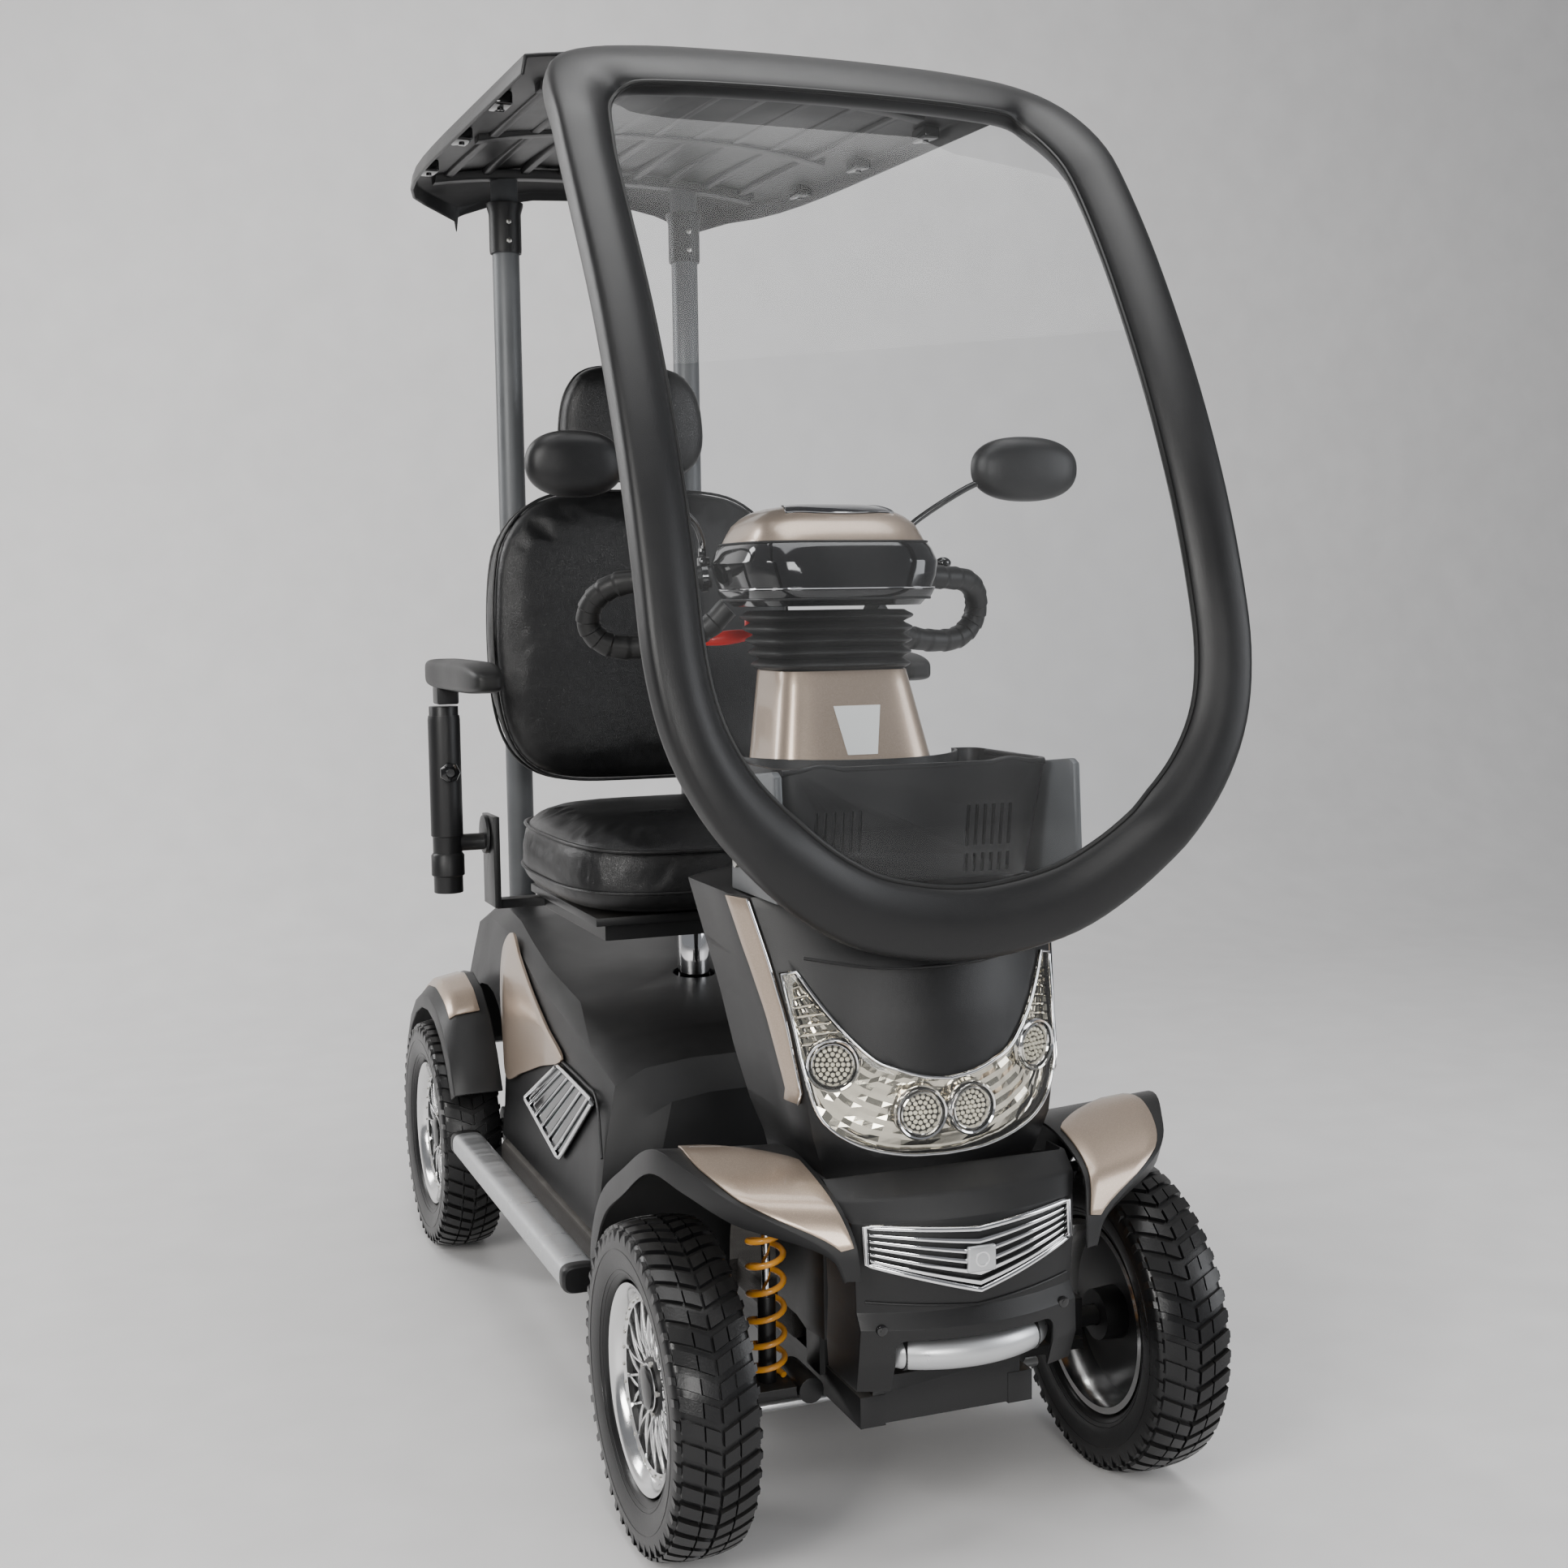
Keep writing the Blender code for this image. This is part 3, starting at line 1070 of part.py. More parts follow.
def make_transaxle():
    """Motor, gearbox and axle tube in one swinging unit."""
    pivot_y = REAR_AXLE - RISER_TO_REAR_AXLE - SWING_PIVOT_FORWARD
    pivot_z = SWING_PIVOT_HEIGHT
    reach = REAR_TRACK / 2 + RIM_WIDTH / 2 - 0.010
    unit = rod("transaxle", (-0.205, REAR_AXLE, TYRE_RADIUS), (0.205, REAR_AXLE, TYRE_RADIUS), 0.030,
               "frame_black", sides=24)
    pieces = [rod("half_shafts", (-reach, REAR_AXLE, TYRE_RADIUS), (reach, REAR_AXLE, TYRE_RADIUS),
                  SPINDLE_RADIUS, sides=20),
              rod("gearbox", (-0.045, REAR_AXLE, TYRE_RADIUS), (0.045, REAR_AXLE, TYRE_RADIUS), 0.062,
                  sides=22),
              rod("motor", (0.001, REAR_AXLE - 0.02, TYRE_RADIUS + 0.006),
                  (0.001, REAR_AXLE - 0.215, TYRE_RADIUS + 0.006),
                  0.048, sides=24),
              rod("pivot_barrel", (-0.145, pivot_y, pivot_z), (0.145, pivot_y, pivot_z),
                  0.012, sides=16)]
    for side in (-1, 1):
        low, high = sorted((side * 0.122, side * 0.138))
        pieces.append(block("swing_plate", (low, pivot_y - 0.004, pivot_z - 0.009),
                            (high, REAR_AXLE - 0.010, pivot_z + 0.008)))
        low, high = sorted((side * 0.1235, side * 0.1365))
        pieces.append(block("swing_end", (low, REAR_AXLE - 0.028, TYRE_RADIUS - 0.005),
                            (high, REAR_AXLE + 0.010, pivot_z + 0.006)))
    combine(unit, pieces)
    return unit


# ---- seat -----------------------------------------------------------------------------------
def make_seat():
    y = FRONT_AXLE + SEAT_POST_BACK
    low, high = SEAT_POST_SPAN
    rod("seat_post", (0, y, low), (0, y, high), SEAT_POST_RADIUS, "chrome", sides=28)
    block("seat_swivel", (-0.095, y - 0.100, high + CLEARANCE), (0.095, y + 0.100, high + 0.012),
          "frame_black",
          edge=0.003, segments=1)

    frame_low = high + 0.012 + CLEARANCE
    frame_high = CUSHION_BOTTOM - CLEARANCE
    frame = block("seat_frame", (-0.190, y - 0.190, frame_low), (0.190, y + 0.170, frame_high - 0.006),
                  "frame_black")
    pieces = [block("seat_pan", (-0.205, y - 0.200, frame_high - 0.012), (0.205, y + 0.170, frame_high))]
    pivot_y, pivot_z = FRONT_AXLE + RECLINE_PIVOT[0], RECLINE_PIVOT[1]
    for side in (-1, 1):
        arm_y = FRONT_AXLE + ARMREST_BACK
        inner, outer = sorted((side * 0.258, side * 0.268))
        pieces.append(block("recline_plate", (inner, pivot_y - 0.045, frame_low + 0.004),
                            (outer, pivot_y + 0.030, pivot_z + 0.030)))
        cross = sorted((side * 0.180, side * 0.264))
        pieces.append(block("plate_foot", (cross[0], pivot_y - 0.040, frame_low + 0.002),
                            (cross[1], pivot_y - 0.012, frame_low + 0.016)))
        pieces.append(rod("arm_bar", (side * 0.262, arm_y, 0.690), (side * ARMREST_X, arm_y, 0.690),
                          0.013, sides=16))
        pieces.append(rod("arm_tube", (side * ARMREST_X, arm_y, ARM_TUBE_SPAN[0]),
                          (side * ARMREST_X, arm_y, ARM_TUBE_SPAN[1]),
                          ARM_TUBE_RADIUS, sides=18))
    combine(frame, pieces)

    cushion_y = FRONT_AXLE + CUSHION_MIDDLE_BACK
    width, depth, height = CUSHION_SIZE
    block("seat_cushion", (-width / 2, cushion_y - depth / 2, CUSHION_BOTTOM),
          (width / 2, cushion_y + depth / 2, CUSHION_BOTTOM + height), "leather", edge=0.045, segments=3)

    width, depth, height = BACKREST_SIZE
    back_y = FRONT_AXLE + BACKREST_BACK
    lean = Matrix.Rotation(-BACKREST_LEAN, 3, "X")
    backrest = block("backrest", (-width / 2, back_y - depth / 2, BACKREST_BOTTOM),
                     (width / 2, back_y + depth / 2,
                      BACKREST_BOTTOM + height), "leather", edge=0.040, segments=3, turn=lean)
    settle(backrest)
    arms = []
    for side in (-1, 1):
        plate = sorted((side * 0.222, side * 0.2500))
        plate_out = sorted((side * 0.246, side * 0.2565))
        arms.append(block("hinge_arm", (plate[0], pivot_y + 0.010, BACKREST_BOTTOM + 0.02),
                          (plate[1], pivot_y + 0.055, BACKREST_BOTTOM + 0.12)))
        arms.append(block("hinge_strap", (plate_out[0], pivot_y - 0.008, pivot_z - 0.008),
                          (plate_out[1], pivot_y + 0.050, BACKREST_BOTTOM + 0.12)))
    combine(backrest, arms)

    width, depth, height = HEADREST_SIZE
    head_y = back_y + 0.030
    headrest = block("headrest", (-width / 2, head_y - depth / 2, HEADREST_BOTTOM),
                     (width / 2, head_y + depth / 2,
                      HEADREST_BOTTOM + height), "leather", edge=0.034, segments=3)
    return headrest


def make_arm_pad(word, side):
    y = FRONT_AXLE + ARMREST_BACK
    width, length, height = ARM_PAD_SIZE
    rear = y + 0.075
    x = side * (ARMREST_X - 0.006)
    pad = block("armrest_pad_" + word, (x - width / 2, rear - length, ARM_PAD_BOTTOM),
                (x + width / 2, rear, ARM_PAD_BOTTOM + height), "matte_black", edge=0.010, segments=2)
    bracket = block("pad_bracket", (side * ARMREST_X - 0.016, y - 0.040, ARM_TUBE_SPAN[1] + 0.004),
                    (side * ARMREST_X + 0.016, y - 0.001, ARM_PAD_BOTTOM + 0.010))
    return combine(settle(pad), [bracket])


# ---- joints ---------------------------------------------------------------------------------
def joint_empty(name, point, members, parent=None):
    """Empty on a joint's axis that carries the pieces of one moving body."""
    empty = bpy.data.objects.new(name, None)
    PARTS.objects.link(empty)
    empty.empty_display_size = 0.04
    if parent:
        empty.parent = parent
        empty.matrix_parent_inverse = Matrix.Translation(-Vector(parent["joint_point"]))
    empty["joint_point"] = tuple(point)
    empty.location = point
    for name_ in members:
        member = bpy.data.objects[name_]
        member.parent = empty
        member.matrix_parent_inverse = Matrix.Translation(-Vector(point))
    return empty


def make_joints():
    steering = joint_empty("steering_axis", steering_axis(0.60),
                           ["steering_column", "column_cover", "gaiter"])
    tilt = joint_empty("tilt_axis", steering_axis(TILT_HEIGHT),
                       ["tiller_head", "tiller_visor", "handle_right", "handle_left"], steering)
    joint_empty("brake_axis", tiller_point(0.115, 0.142, 0.125), ["brake_lever"], tilt)
    joint_empty("tilt_lever_axis", tiller_point(-0.050, 0.150, 0.045), ["tilt_lever"], tilt)
    joint_empty("throttle_axis", tiller_point(0, PADDLE_BACK, 0.102), ["throttle_paddle"], tilt)
    for word, side in SIDES:
        joint_empty("mirror_axis_" + word, tiller_point(side * MIRROR_CLAMP[0], *MIRROR_CLAMP[1:]),
                    ["mirror_" + word], tilt)
        arm = joint_empty("arm_axis_" + word, (side * ARM_PIVOT_X, FRONT_AXLE, ARM_HEIGHT),
                          ["front_arm_" + word, "front_spring_" + word])
        king = joint_empty("kingpin_axis_" + word, (side * KINGPIN_X, FRONT_AXLE, ARM_HEIGHT),
                           ["knuckle_" + word], arm)
        joint_empty("front_wheel_axis_" + word, (side * FRONT_TRACK / 2, FRONT_AXLE, TYRE_RADIUS),
                    ["tyre_front_" + word, "rim_front_" + word], king)
    rear = joint_empty("swing_axis", (0, REAR_AXLE - RISER_TO_REAR_AXLE - SWING_PIVOT_FORWARD,
                                      SWING_PIVOT_HEIGHT), ["transaxle"])
    swivel = joint_empty("swivel_axis", (0, FRONT_AXLE + SEAT_POST_BACK, SEAT_POST_SPAN[1]),
                         ["seat_swivel"])
    slide = joint_empty("seat_slide", (0, FRONT_AXLE + SEAT_POST_BACK, CUSHION_BOTTOM),
                        ["seat_frame", "seat_cushion"], swivel)
    recline = joint_empty("recline_axis", (0, FRONT_AXLE + RECLINE_PIVOT[0], RECLINE_PIVOT[1]),
                          ["backrest"], slide)
    joint_empty("headrest_slide", (0, FRONT_AXLE + BACKREST_BACK + 0.030, HEADREST_BOTTOM),
                ["headrest"], recline)
    for word, side in SIDES:
        joint_empty("rear_wheel_axis_" + word, (side * REAR_TRACK / 2, REAR_AXLE, TYRE_RADIUS),
                    ["tyre_rear_" + word, "rim_rear_" + word], rear)
        joint_empty("arm_pad_axis_" + word, (side * ARMREST_X, FRONT_AXLE + ARMREST_BACK,
                                             ARM_TUBE_SPAN[1]),
                    ["armrest_pad_" + word], slide)
    joint_empty("tie_rod_slide", (0, FRONT_AXLE + TIE_ROD_BACK, TIE_ROD_HEIGHT), ["tie_rod"])


def main():
    make_chassis()
    make_deck_and_power()
    make_front_cowl()
    make_headlight("headlight", 0.0, 0.003, 0.016, "clear")
    make_nose()
    make_rear_body()
    make_rear_bumper()
    make_hoop()
    make_windscreen()
    make_roof()
    make_basket()
    make_steering()
    make_gaiter()
    make_tiller()
    make_levers()
    make_mirrors()
    make_transaxle()
    make_seat()
    rod("tie_rod", (-KINGPIN_X + 0.006, FRONT_AXLE + TIE_ROD_BACK, TIE_ROD_HEIGHT),
        (KINGPIN_X - 0.006, FRONT_AXLE + TIE_ROD_BACK, TIE_ROD_HEIGHT), 0.006, "satin_silver", sides=12)
    for word, side in SIDES:
        make_front_fender(word, side)
        make_rear_fender(word, side)
        make_side_panel(word, side)
        make_step_bar(word, side)
        make_post(word, side)
        make_front_corner(word, side)
        make_wheel("front", word, side, FRONT_TRACK, FRONT_AXLE)
        make_wheel("rear", word, side, REAR_TRACK, REAR_AXLE)
        make_arm_pad(word, side)
    make_joints()


main()
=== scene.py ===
import json
import math

import bmesh
import bpy
import numpy as np
from mathutils import Matrix, Vector
from mathutils.bvhtree import BVHTree


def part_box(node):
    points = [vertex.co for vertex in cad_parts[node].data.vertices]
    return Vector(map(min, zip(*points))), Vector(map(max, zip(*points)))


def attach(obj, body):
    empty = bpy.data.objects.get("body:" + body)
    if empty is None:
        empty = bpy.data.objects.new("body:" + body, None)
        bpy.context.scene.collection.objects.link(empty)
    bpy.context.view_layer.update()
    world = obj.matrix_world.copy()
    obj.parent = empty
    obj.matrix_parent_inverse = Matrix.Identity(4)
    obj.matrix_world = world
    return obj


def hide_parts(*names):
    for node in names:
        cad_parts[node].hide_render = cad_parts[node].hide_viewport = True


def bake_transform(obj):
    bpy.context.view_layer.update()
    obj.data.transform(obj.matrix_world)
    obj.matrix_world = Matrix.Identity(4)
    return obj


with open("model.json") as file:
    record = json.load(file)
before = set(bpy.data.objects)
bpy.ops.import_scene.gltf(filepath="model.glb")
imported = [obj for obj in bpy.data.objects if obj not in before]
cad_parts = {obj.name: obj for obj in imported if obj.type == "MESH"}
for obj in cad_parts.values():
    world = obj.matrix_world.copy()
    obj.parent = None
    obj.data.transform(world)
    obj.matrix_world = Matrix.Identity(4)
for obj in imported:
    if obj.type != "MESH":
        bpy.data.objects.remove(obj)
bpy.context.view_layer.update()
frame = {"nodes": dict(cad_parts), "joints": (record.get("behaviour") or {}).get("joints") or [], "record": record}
NODES = frame["nodes"]
NODE_BODY = {node: body for body, nodes in frame["record"]["behaviour"]["bodies"].items() for node in nodes}
NODE_SLOT = {part["node"]: part["material_slot"] for part in frame["record"]["subparts"]}
SIDES = (("right", -1), ("left", 1))
SHAPED = set()  # CAD nodes that a made piece stands for


def corners(node):
    """Low and high corner of a CAD node's box."""
    return [Vector(corner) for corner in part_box(node)]


# ---- sizes taken from the frame ---------------------------------------------------------------
TYRE_LOW, TYRE_HIGH = corners("tyre_front_left")
AXLE_Y = (TYRE_LOW.y + TYRE_HIGH.y) / 2
AXLE_Z = (TYRE_LOW.z + TYRE_HIGH.z) / 2
TYRE_RADIUS = (TYRE_HIGH.z - TYRE_LOW.z) / 2
PIVOT = Vector(next(j["pos_m"] for j in frame["joints"] if j["name"] == "tiller_tilt"))
LEAN = math.radians(12.5)


def back(distance):
    """y of a point this far behind the front axle."""
    return AXLE_Y + distance


def bulge(value, power):
    """Value raised to a power with its sign kept, for squarish rings."""
    return math.copysign(abs(value) ** power, value)


def column_axis(height):
    return Vector((0.0, PIVOT.y + (height - PIVOT.z) * math.tan(LEAN), height))


# ---- materials --------------------------------------------------------------------------------
def node_graph(name):
    material = bpy.data.materials.new(name)
    material.use_nodes = True
    nodes, links = material.node_tree.nodes, material.node_tree.links
    nodes.clear()
    output = nodes.new("ShaderNodeOutputMaterial")
    shader = nodes.new("ShaderNodeBsdfPrincipled")
    links.new(shader.outputs[0], output.inputs["Surface"])
    coords = nodes.new("ShaderNodeTexCoord")
    return material, nodes, links, shader, coords.outputs["Object"]


def noise(nodes, links, coords, scale, detail=4.0, stretch=None):
    texture = nodes.new("ShaderNodeTexNoise")
    texture.inputs["Scale"].default_value = scale
    texture.inputs["Detail"].default_value = detail
    if stretch:
        mapping = nodes.new("ShaderNodeMapping")
        mapping.inputs["Scale"].default_value = stretch
        links.new(coords, mapping.inputs["Vector"])
        coords = mapping.outputs["Vector"]
    links.new(coords, texture.inputs["Vector"])
    return texture.outputs["Fac"]


def spread(nodes, links, value, low, high, start=0.3, end=0.7):
    fit = nodes.new("ShaderNodeMapRange")
    fit.inputs["From Min"].default_value = start
    fit.inputs["From Max"].default_value = end
    fit.inputs["To Min"].default_value = low
    fit.inputs["To Max"].default_value = high
    links.new(value, fit.inputs["Value"])
    return fit.outputs["Result"]


def finish_material(name, colour, rough, metal=0.0, grain=0.0, relief=0.0, patch=9.0, vary=0.12,
                    tint=0.16, coat=0.0, dust=0.0, flake=0.0, voronoi=False, specular=0.38):
    """Solid surface with uneven sheen, faint colour drift, moulded or painted grain and settled dust."""
    material, nodes, links, shader, coords = node_graph(name)
    broad = noise(nodes, links, coords, patch, 5.0)
    links.new(spread(nodes, links, broad, rough * (1 - vary), min(rough * (1 + vary), 1.0)),
              shader.inputs["Roughness"])
    mix = nodes.new("ShaderNodeMix")
    mix.data_type = "RGBA"
    mix.inputs["A"].default_value = [c * (1 - tint) for c in colour] + [1]
    mix.inputs["B"].default_value = [min(c * (1 + tint), 1.0) for c in colour] + [1]
    links.new(spread(nodes, links, broad, 0.0, 1.0), mix.inputs["Factor"])
    result = mix.outputs["Result"]
    if flake:
        cells = nodes.new("ShaderNodeTexVoronoi")
        cells.inputs["Scale"].default_value = 1800.0
        links.new(coords, cells.inputs["Vector"])
        sparkle = nodes.new("ShaderNodeMix")
        sparkle.data_type = "RGBA"
        sparkle.inputs["B"].default_value = [min(c * 1.7, 1.0) for c in colour] + [1]
        links.new(result, sparkle.inputs["A"])
        separate = nodes.new("ShaderNodeSeparateColor")
        links.new(cells.outputs["Color"], separate.inputs["Color"])
        links.new(spread(nodes, links, separate.outputs["Red"], 0.0, flake, 0.55, 1.0),
                  sparkle.inputs["Factor"])
        result = sparkle.outputs["Result"]
    if dust:
        geometry = nodes.new("ShaderNodeNewGeometry")
        part = nodes.new("ShaderNodeSeparateXYZ")
        links.new(geometry.outputs["Normal"], part.inputs["Vector"])
        settle = nodes.new("ShaderNodeMath")
        settle.operation = "MULTIPLY"
        links.new(spread(nodes, links, part.outputs["Z"], 0.0, dust, 0.35, 1.0), settle.inputs[0])
        links.new(noise(nodes, links, coords, 42.0, 6.0), settle.inputs[1])
        dusty = nodes.new("ShaderNodeMix")
        dusty.data_type = "RGBA"
        dusty.inputs["B"].default_value = (0.36, 0.34, 0.31, 1)
        links.new(result, dusty.inputs["A"])
        links.new(settle.outputs[0], dusty.inputs["Factor"])
        result = dusty.outputs["Result"]
    links.new(result, shader.inputs["Base Color"])
    shader.inputs["Metallic"].default_value = metal
    shader.inputs["Specular IOR Level"].default_value = specular
    shader.inputs["Coat Weight"].default_value = coat
    shader.inputs["Coat Roughness"].default_value = 0.06
    if grain:
        bump = nodes.new("ShaderNodeBump")
        bump.inputs["Strength"].default_value = relief
        bump.inputs["Distance"].default_value = 0.0006
        if voronoi:
            cells = nodes.new("ShaderNodeTexVoronoi")
            cells.inputs["Scale"].default_value = grain
            links.new(coords, cells.inputs["Vector"])
            links.new(cells.outputs["Distance"], bump.inputs["Height"])
        else:
            links.new(noise(nodes, links, coords, grain, 3.0), bump.inputs["Height"])
        links.new(bump.outputs["Normal"], shader.inputs["Normal"])
    return material


def brushed(name, colour, rough, stretch, metal=1.0):
    """Metal with fine lines that run along one axis."""
    material, nodes, links, shader, coords = node_graph(name)
    lines = noise(nodes, links, coords, 60.0, 6.0, stretch)
    links.new(spread(nodes, links, lines, rough * 0.75, rough * 1.3), shader.inputs["Roughness"])
    shader.inputs["Base Color"].default_value = (*colour, 1)
    shader.inputs["Metallic"].default_value = metal
    bump = nodes.new("ShaderNodeBump")
    bump.inputs["Strength"].default_value = 0.12
    bump.inputs["Distance"].default_value = 0.0003
    links.new(lines, bump.inputs["Height"])
    links.new(bump.outputs["Normal"], shader.inputs["Normal"])
    return material


def clear(name, colour, rough, ior, haze=0.0, thin=True):
    """Clear plastic; a thin sheet lets light straight through and keeps its reflections."""
    material, nodes, links, shader, coords = node_graph(name)
    shader.inputs["Base Color"].default_value = (*colour, 1)
    shader.inputs["IOR"].default_value = ior
    film = noise(nodes, links, coords, 7.0, 6.0)
    links.new(spread(nodes, links, film, rough, rough + 0.04), shader.inputs["Roughness"])
    if not thin:
        shader.inputs["Transmission Weight"].default_value = 1.0
        return material
    glassy = nodes.new("ShaderNodeBsdfTransparent")
    glassy.inputs["Color"].default_value = (*colour, 1)
    shine = nodes.new("ShaderNodeBsdfGlossy")
    shine.inputs["Roughness"].default_value = rough + 0.01
    facing = nodes.new("ShaderNodeFresnel")
    facing.inputs["IOR"].default_value = ior
    sheet = nodes.new("ShaderNodeMixShader")
    weaker = nodes.new("ShaderNodeMath")
    weaker.operation = "MULTIPLY"
    weaker.inputs[1].default_value = 0.55
    sides = nodes.new("ShaderNodeNewGeometry")
    outer = nodes.new("ShaderNodeMath")
    outer.operation = "SUBTRACT"
    outer.inputs[0].default_value = 1.0
    links.new(sides.outputs["Backfacing"], outer.inputs[1])
    facing_out = nodes.new("ShaderNodeMath")
    facing_out.operation = "MULTIPLY"
    links.new(facing.outputs[0], facing_out.inputs[0])
    links.new(outer.outputs[0], facing_out.inputs[1])
    links.new(facing_out.outputs[0], weaker.inputs[0])
    links.new(weaker.outputs[0], sheet.inputs[0])
    links.new(glassy.outputs[0], sheet.inputs[1])
    links.new(shine.outputs[0], sheet.inputs[2])
    veil = nodes.new("ShaderNodeBsdfDiffuse")
    veil.inputs["Color"].default_value = (0.8, 0.8, 0.8, 1)
    total = nodes.new("ShaderNodeMixShader")
    links.new(spread(nodes, links, film, haze * 0.4, haze), total.inputs[0])
    links.new(sheet.outputs[0], total.inputs[1])
    links.new(veil.outputs[0], total.inputs[2])
    output = next(n for n in nodes if n.type == "OUTPUT_MATERIAL")
    links.new(total.outputs[0], output.inputs["Surface"])
    nodes.remove(shader)
    return material


def leather(name, colour, rough):
    """Leatherette: pebbled cells and fine creases, with painted shade in the crease hollows, a painted highlight
    on their crests and an uneven soft sheen.
    """
    material, nodes, links, shader, coords = node_graph(name)
    pebbles = nodes.new("ShaderNodeTexVoronoi")
    pebbles.inputs["Scale"].default_value = 520.0
    pebbles.feature = "DISTANCE_TO_EDGE"
    links.new(coords, pebbles.inputs["Vector"])
    wide = noise(nodes, links, coords, 11.0, 6.0)
    crease_relief_and_shade = noise(nodes, links, coords, 85.0, 8.0)
    links.new(spread(nodes, links, wide, rough * 0.8, rough * 1.2), shader.inputs["Roughness"])
    # colour follows the crease relief: painted shade in the hollows and a painted highlight on the crests
    mix = nodes.new("ShaderNodeMix")
    mix.data_type = "RGBA"
    mix.inputs["A"].default_value = [c * 0.75 for c in colour] + [1]
    mix.inputs["B"].default_value = [c * 1.35 for c in colour] + [1]
    links.new(spread(nodes, links, crease_relief_and_shade, 0.0, 1.0), mix.inputs["Factor"])
    links.new(mix.outputs["Result"], shader.inputs["Base Color"])
    shader.inputs["Specular IOR Level"].default_value = 0.42
    grain = nodes.new("ShaderNodeBump")
    grain.inputs["Strength"].default_value = 0.35
    grain.inputs["Distance"].default_value = 0.0004
    links.new(spread(nodes, links, pebbles.outputs["Distance"], 0.0, 1.0, 0.0, 0.25), grain.inputs["Height"])
    fold = nodes.new("ShaderNodeBump")
    fold.inputs["Strength"].default_value = 0.22
    fold.inputs["Distance"].default_value = 0.0012
    links.new(crease_relief_and_shade, fold.inputs["Height"])
    links.new(grain.outputs["Normal"], fold.inputs["Normal"])
    links.new(fold.outputs["Normal"], shader.inputs["Normal"])
    return material


MAT = {
    "matte_black": finish_material("moulded_black", (0.0085, 0.0085, 0.009), 0.38, grain=1500,
                                   relief=0.28, dust=0.03),
    "gloss_black": finish_material("gloss_black", (0.006, 0.006, 0.0065), 0.10, coat=0.6, tint=0.3,
                                   dust=0.03),
    "smoked": finish_material("smoked_panel", (0.012, 0.012, 0.016), 0.05, coat=1.0, tint=0.2),
    "champagne_paint": finish_material("champagne_metallic", (0.44, 0.345, 0.27), 0.33, metal=0.72, coat=0.55,
                                       flake=0.35, tint=0.03, vary=0.06, dust=0.04),
    "grey_paint": finish_material("grey_powder_coat", (0.115, 0.12, 0.125), 0.40, metal=0.2, grain=1300,
                                  relief=0.25),
    "frame_black": finish_material("frame_powder_coat", (0.010, 0.010, 0.0105), 0.36, grain=700,
                                   relief=0.3, dust=0.18),
    "satin_silver": brushed("satin_silver", (0.60, 0.61, 0.62), 0.34, (0.05, 1.0, 1.0), metal=0.85),
    "chrome": finish_material("chrome_plate", (0.86, 0.86, 0.87), 0.07, metal=1.0, tint=0.02, vary=0.4),
    "alloy": brushed("turned_alloy", (0.80, 0.80, 0.80), 0.17, (0.3, 1.0, 1.0)),
    "tyre_rubber": finish_material("tyre_rubber", (0.0075, 0.0075, 0.008), 0.30, grain=420, relief=0.25,
                                   dust=0.07, tint=0.3),
    "leather_black": leather("seat_leatherette", (0.0065, 0.0065, 0.0068), 0.33),
    "spring_orange": finish_material("spring_enamel", (0.78, 0.33, 0.03), 0.32, coat=0.5, dust=0.2),
    "lever_red": finish_material("red_moulding", (0.62, 0.018, 0.014), 0.28, coat=0.25, grain=900,
                                 relief=0.15),
    "clear_plastic": clear("clear_sheet", (0.965, 0.97, 0.975), 0.01, 1.38, haze=0.016),
    "lens": clear("lamp_lens", (0.93, 0.925, 0.90), 0.015, 1.45, haze=0.02),
    "reflector": finish_material("lamp_reflector", (0.83, 0.80, 0.74), 0.09, metal=1.0, tint=0.06, vary=0.5),
    "led": finish_material("lamp_beads", (0.86, 0.83, 0.74), 0.12, coat=1.0, tint=0.10),
    "gaiter_rubber": finish_material("bellows_rubber", (0.009, 0.009, 0.009), 0.45, grain=600, relief=0.3),
    "deck_grey": finish_material("deck_covering", (0.040, 0.036, 0.033), 0.62, grain=520, relief=0.9,
                                 voronoi=True, dust=0.3),
    "battery_case": finish_material("battery_case", (0.03, 0.03, 0.03), 0.55, grain=700, relief=0.4),
    "steel": finish_material("zinc_plated_steel", (0.52, 0.51, 0.48), 0.30, metal=1.0, grain=500,
                             relief=0.15, tint=0.15),
    "bare_label": finish_material("plain_label", (0.78, 0.79, 0.78), 0.35, grain=300, relief=0.05, tint=0.03),
    "mirror_glass": finish_material("mirror_glass", (0.9, 0.9, 0.92), 0.02, metal=1.0, tint=0.01),
}


# ---- mesh tools -------------------------------------------------------------------------------
def shown(name, mesh, node_or_body, material, replaces=(), smooth=True, between=None):
    """Puts a finished mesh in the scene on its CAD body, with its material and slot."""
    piece = bpy.data.objects.new(name, mesh)
    bpy.context.scene.collection.objects.link(piece)
    piece.data.materials.clear()
    piece.data.materials.append(MAT[material])
    if smooth:
        shade(piece)
    if between:
        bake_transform(piece)
    else:
        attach(piece, NODE_BODY.get(node_or_body, node_or_body))
    for node in replaces:
        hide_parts(node)
    SHAPED.update(replaces)
    return piece


def shade(piece, angle=38):
    """Smooth shading with sharp edges kept where faces meet at more than the angle."""
    bm = bmesh.new()
    bm.from_mesh(piece.data)
    for edge in bm.edges:
        edge.smooth = not (len(edge.link_faces) == 2 and edge.calc_face_angle(0.0) > math.radians(angle))
    for face in bm.faces:
        face.smooth = True
    bm.to_mesh(piece.data)
    bm.free()


def to_mesh(name, bm):
    bmesh.ops.recalc_face_normals(bm, faces=bm.faces)
    mesh = bpy.data.meshes.new(name)
    bm.to_mesh(mesh)
    bm.free()
    return mesh


